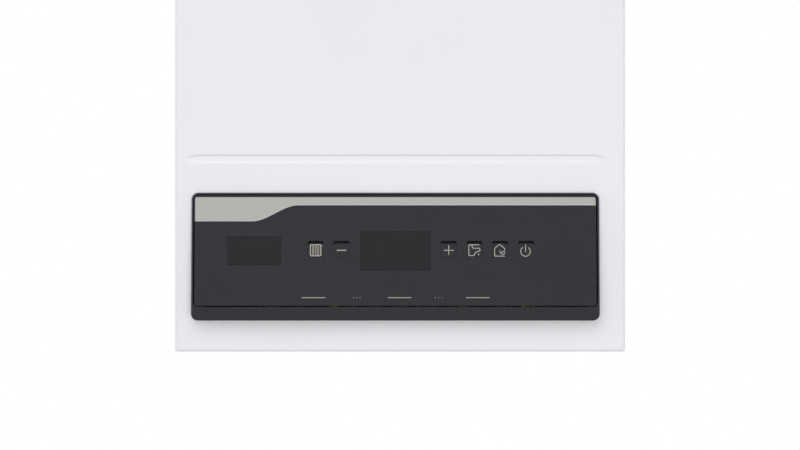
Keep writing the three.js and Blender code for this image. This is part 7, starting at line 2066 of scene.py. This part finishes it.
class BOILER_OT_display_board(bpy.types.Operator):
    """Display board: a dark board with two digit modules, six switches and small parts"""
    bl_idname = "boiler.display_board"
    bl_label = "Display board"

    def execute(self, context):
        holes = [disc_outline(1.6, x, side * 32, 20) for x in (-171.5, -50, 140)
                 for side in (-1, 1)]
        board = drilled(box_outline(-183.4, 183.4, -37.9, 37.9, 1.5), holes, "y", 8.0, 9.6, 0.1)
        modules, black, pins = [], [], []
        for (x, *_), half, rise in ((SMALL_WINDOW, 21.5, 13.0), (LARGE_WINDOW, 29.3, 18.2)):
            modules.append(cushion_block(x - half, x + half, 2.85, 8, -rise, rise, 0.4, 2))
            pins += [rod("y", 0.4, 9.4, 11.2, x + dx, side * (rise - 2), 0.15, 12)
                     for dx in np.arange(-4, 5) * 2.54 for side in (-1, 1)]
        for x in KEYS.values():
            black.append(cushion_block(x - 3, x + 3, 4.5, 8, -0.4, 5.6, 0.4, 2))
            black.append(rod("y", 1.6, 4.2, 4.7, x, 2.6, 0.15, 24))
            pins += [cushion_block(x + dx - 0.5, x + dx + 0.5, 7.4, 8, h - 0.4, h + 0.4, 0.1, 1)
                     for dx in (-3.5, 3.5) for h in (0.4, 4.8)]
        for x in (-90, -66, 62, 86, 158):
            black.append(cushion_block(x - 5, x + 5, 9.6, 11.4, -22, -14, 0.3, 1))
            pins += [cushion_block(x + dx - 0.4, x + dx + 0.4, 9.5, 10.3, h - 1, h + 1, 0.1, 1)
                     for dx in (-3.8, -1.3, 1.3, 3.8) for h in (-23, -13)]
        plug = stacked("y", box_outline(-166, -140, 20, 30, 0.8, 3),
                       [(0, 9.6), (0, 13.3), (0.3, 13.6), (0.9, 13.6), (1.2, 13.3), (1.2, 11)])
        piece("display_board_set", "control_box", "display_board", "circuit_board",
              own_frame=tilted, dark_board=[board], digit_body=modules, black=black, cream=[plug],
              steel=pins)
        return {"FINISHED"}


# ------------------------------------------------------------------------- stage

class BOILER_OT_stage(bpy.types.Operator):
    """Stage: a pale floor well below, a plain white backdrop, soft light and the camera"""
    bl_idname = "boiler.stage"
    bl_label = "Stage"

    def execute(self, context):
        self.floor(context)
        self.world(context)
        for name, spot_at, aim, size, power in (
                ("soft_top", (-0.5, -3.3, 1.4), (0, -0.25, 0), 2.4, 33.0),
                ("soft_front", (0.3, -3.9, -0.8), (0, -0.25, -0.2), 2.2, 48.0),
                ("soft_left", (-3.1, -0.7, 0.3), (0, -0.15, -0.1), 1.8, 26.0),
                ("soft_right", (3.1, -0.6, 0.3), (0, -0.15, -0.1), 1.8, 20.0),
                ("soft_back", (0.8, 2.8, 1.4), (0, -0.1, 0), 2.2, 40.0)):
            self.lamp(name, spot_at, aim, size, power)
        lens = bpy.data.cameras.new("photograph")
        lens.lens, lens.sensor_width = 169.5, 36.0
        lens.clip_start, lens.clip_end = 0.1, 100.0
        camera = bpy.data.objects.new("photograph", lens)
        camera.location = (0.0, -3.9, -0.2491)
        camera.rotation_euler = (math.pi / 2, 0, 0)
        context.scene.collection.objects.link(camera)
        context.scene.camera = camera
        context.scene.view_settings.view_transform = "Standard"
        return {"FINISHED"}

    def floor(self, context):
        """A round floor 2.1 m below the casing. It is faintly mottled, keeps the shadows, and
        pales with distance until it is as white as the backdrop."""
        mesh = bpy.data.meshes.new("floor")
        angle = np.linspace(0, 2 * math.pi, 96, endpoint=False)
        radius = np.array([0.0, 0.3, 0.6, 0.9, 1.2, 1.5, 1.8, 2.1])[:, None]
        points = np.stack([radius * np.cos(angle), radius * np.sin(angle),
                           np.full((len(radius), len(angle)), -2.47)], -1)
        verts, faces = surface(points, along=True)
        mesh.from_pydata(verts.tolist(), [], faces)
        shape = bmesh.new()
        shape.from_mesh(mesh)
        bmesh.ops.remove_doubles(shape, verts=shape.verts, dist=1e-6)
        bmesh.ops.recalc_face_normals(shape, faces=shape.faces)
        shape.to_mesh(mesh)
        shape.free()
        if mesh.polygons[0].normal.z < 0:
            mesh.flip_normals()
        paint = Paint("pale_floor", context.scene.boiler_colours.floor, 0.85)
        mottle = paint.noise(14, 4.0)
        paint.colour(paint.mixed(mottle, paint.shade(0.99), paint.shade(1.01)))
        paint.rough(0.8 + 0.1 * mottle)
        paint.bump(mottle, 0.05)
        x, y = paint.part("X"), paint.part("Y")
        away = paint.math("SQRT", x * x + y * y)
        path = paint.node("ShaderNodeLightPath")
        seen = paint.math("MAXIMUM", path.outputs["Is Camera Ray"],
                          path.outputs["Is Glossy Ray"])
        seen = paint.math("MAXIMUM", seen, path.outputs["Is Transmission Ray"])
        white = paint.node("ShaderNodeEmission", {"Color": (1, 1, 1, 1), "Strength": 1.0})
        mix = paint.node("ShaderNodeMixShader", {
            0: seen * paint.ramp(away, 0.4, 1.9, 0.62, 1.0), 1: paint.shader.outputs[0],
            2: white.outputs[0]})
        out = paint.tree.nodes["Material Output"]
        paint.tree.links.new(mix.outputs[0], out.inputs["Surface"])
        mesh.materials.append(paint.material)
        floor = bpy.data.objects.new("floor", mesh)
        context.scene.collection.objects.link(floor)

    def world(self, context):
        """White for the camera, reflections and glass; a plain soft level for the rest."""
        world = bpy.data.worlds.new("backdrop")
        context.scene.world = world
        world.use_nodes = True
        tree = world.node_tree
        tree.nodes.clear()
        out, mix, soft, white, path, seen, either = (
            tree.nodes.new("ShaderNode" + kind) for kind in (
                "OutputWorld", "MixShader", "Background", "Background", "LightPath", "Math",
                "Math"))
        seen.operation = either.operation = "MAXIMUM"
        for sky, tone, strength in ((soft, (0.965, 0.975, 1.0, 1), 0.25),
                                    (white, (1, 1, 1, 1), 1.0)):
            sky.inputs["Color"].default_value = tone
            sky.inputs["Strength"].default_value = strength
        for source, target in (
                (path.outputs["Is Camera Ray"], seen.inputs[0]),
                (path.outputs["Is Transmission Ray"], seen.inputs[1]),
                (seen.outputs[0], either.inputs[0]),
                (path.outputs["Is Glossy Ray"], either.inputs[1]),
                (either.outputs[0], mix.inputs[0]), (soft.outputs[0], mix.inputs[1]),
                (white.outputs[0], mix.inputs[2]), (mix.outputs[0], out.inputs[0])):
            tree.links.new(source, target)

    def lamp(self, name, spot_at, aim, size, power):
        """A square soft lamp turned to look at a point."""
        light = bpy.data.lights.new(name, "AREA")
        light.shape, light.size, light.energy = "SQUARE", size, power
        lamp = bpy.data.objects.new(name, light)
        back = np.array(spot_at, float) - np.array(aim, float)
        flat = math.hypot(back[0], back[1])
        lamp.location = spot_at
        lamp.rotation_euler = (math.atan2(flat, back[2]), 0, math.atan2(back[0], -back[1]))
        bpy.context.scene.collection.objects.link(lamp)


# -------------------------------------------------------------------- add-on parts

PIECE_OPERATORS = (
    BOILER_OT_front_cover, BOILER_OT_panel_frame, BOILER_OT_fascia, BOILER_OT_silver_strip,
    BOILER_OT_windows, BOILER_OT_keys, BOILER_OT_side_panels, BOILER_OT_top_panel,
    BOILER_OT_back, BOILER_OT_base, BOILER_OT_flue_collar, BOILER_OT_fan, BOILER_OT_flue_hood,
    BOILER_OT_pressure_switch, BOILER_OT_heat_exchanger, BOILER_OT_firebox, BOILER_OT_burner,
    BOILER_OT_gas_line, BOILER_OT_flow_side, BOILER_OT_return_side, BOILER_OT_plate_exchanger,
    BOILER_OT_fittings, BOILER_OT_heating_pipes, BOILER_OT_vessel, BOILER_OT_control_box,
    BOILER_OT_main_board, BOILER_OT_display_board,
)


class BOILER_PT_panel(bpy.types.Panel):
    """Lists the boiler's pieces in the 3D view's sidebar"""
    bl_idname = "BOILER_PT_panel"
    bl_label = "Combi boiler"
    bl_space_type = "VIEW_3D"
    bl_region_type = "UI"
    bl_category = "Boiler"

    def draw(self, context):
        layout = self.layout
        for group in (context.scene.boiler_sizes, context.scene.boiler_colours):
            column = layout.column()
            for name in type(group).__annotations__:
                column.prop(group, name)
        for operator in (*PIECE_OPERATORS, BOILER_OT_stage):
            layout.operator(operator.bl_idname)


CLASSES = (BoilerSizes, BoilerColours, *PIECE_OPERATORS, BOILER_OT_stage, BOILER_PT_panel)


def register():
    for item in CLASSES:
        bpy.utils.register_class(item)
    bpy.types.Scene.boiler_sizes = PointerProperty(type=BoilerSizes)
    bpy.types.Scene.boiler_colours = PointerProperty(type=BoilerColours)


def unregister():
    del bpy.types.Scene.boiler_colours
    del bpy.types.Scene.boiler_sizes
    for item in reversed(CLASSES):
        bpy.utils.unregister_class(item)


def main():
    """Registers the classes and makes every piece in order."""
    register()
    for operator in (*PIECE_OPERATORS, BOILER_OT_stage):
        group, name = operator.bl_idname.split(".")
        getattr(getattr(bpy.ops, group), name)()


if __name__ == "__main__":
    main()
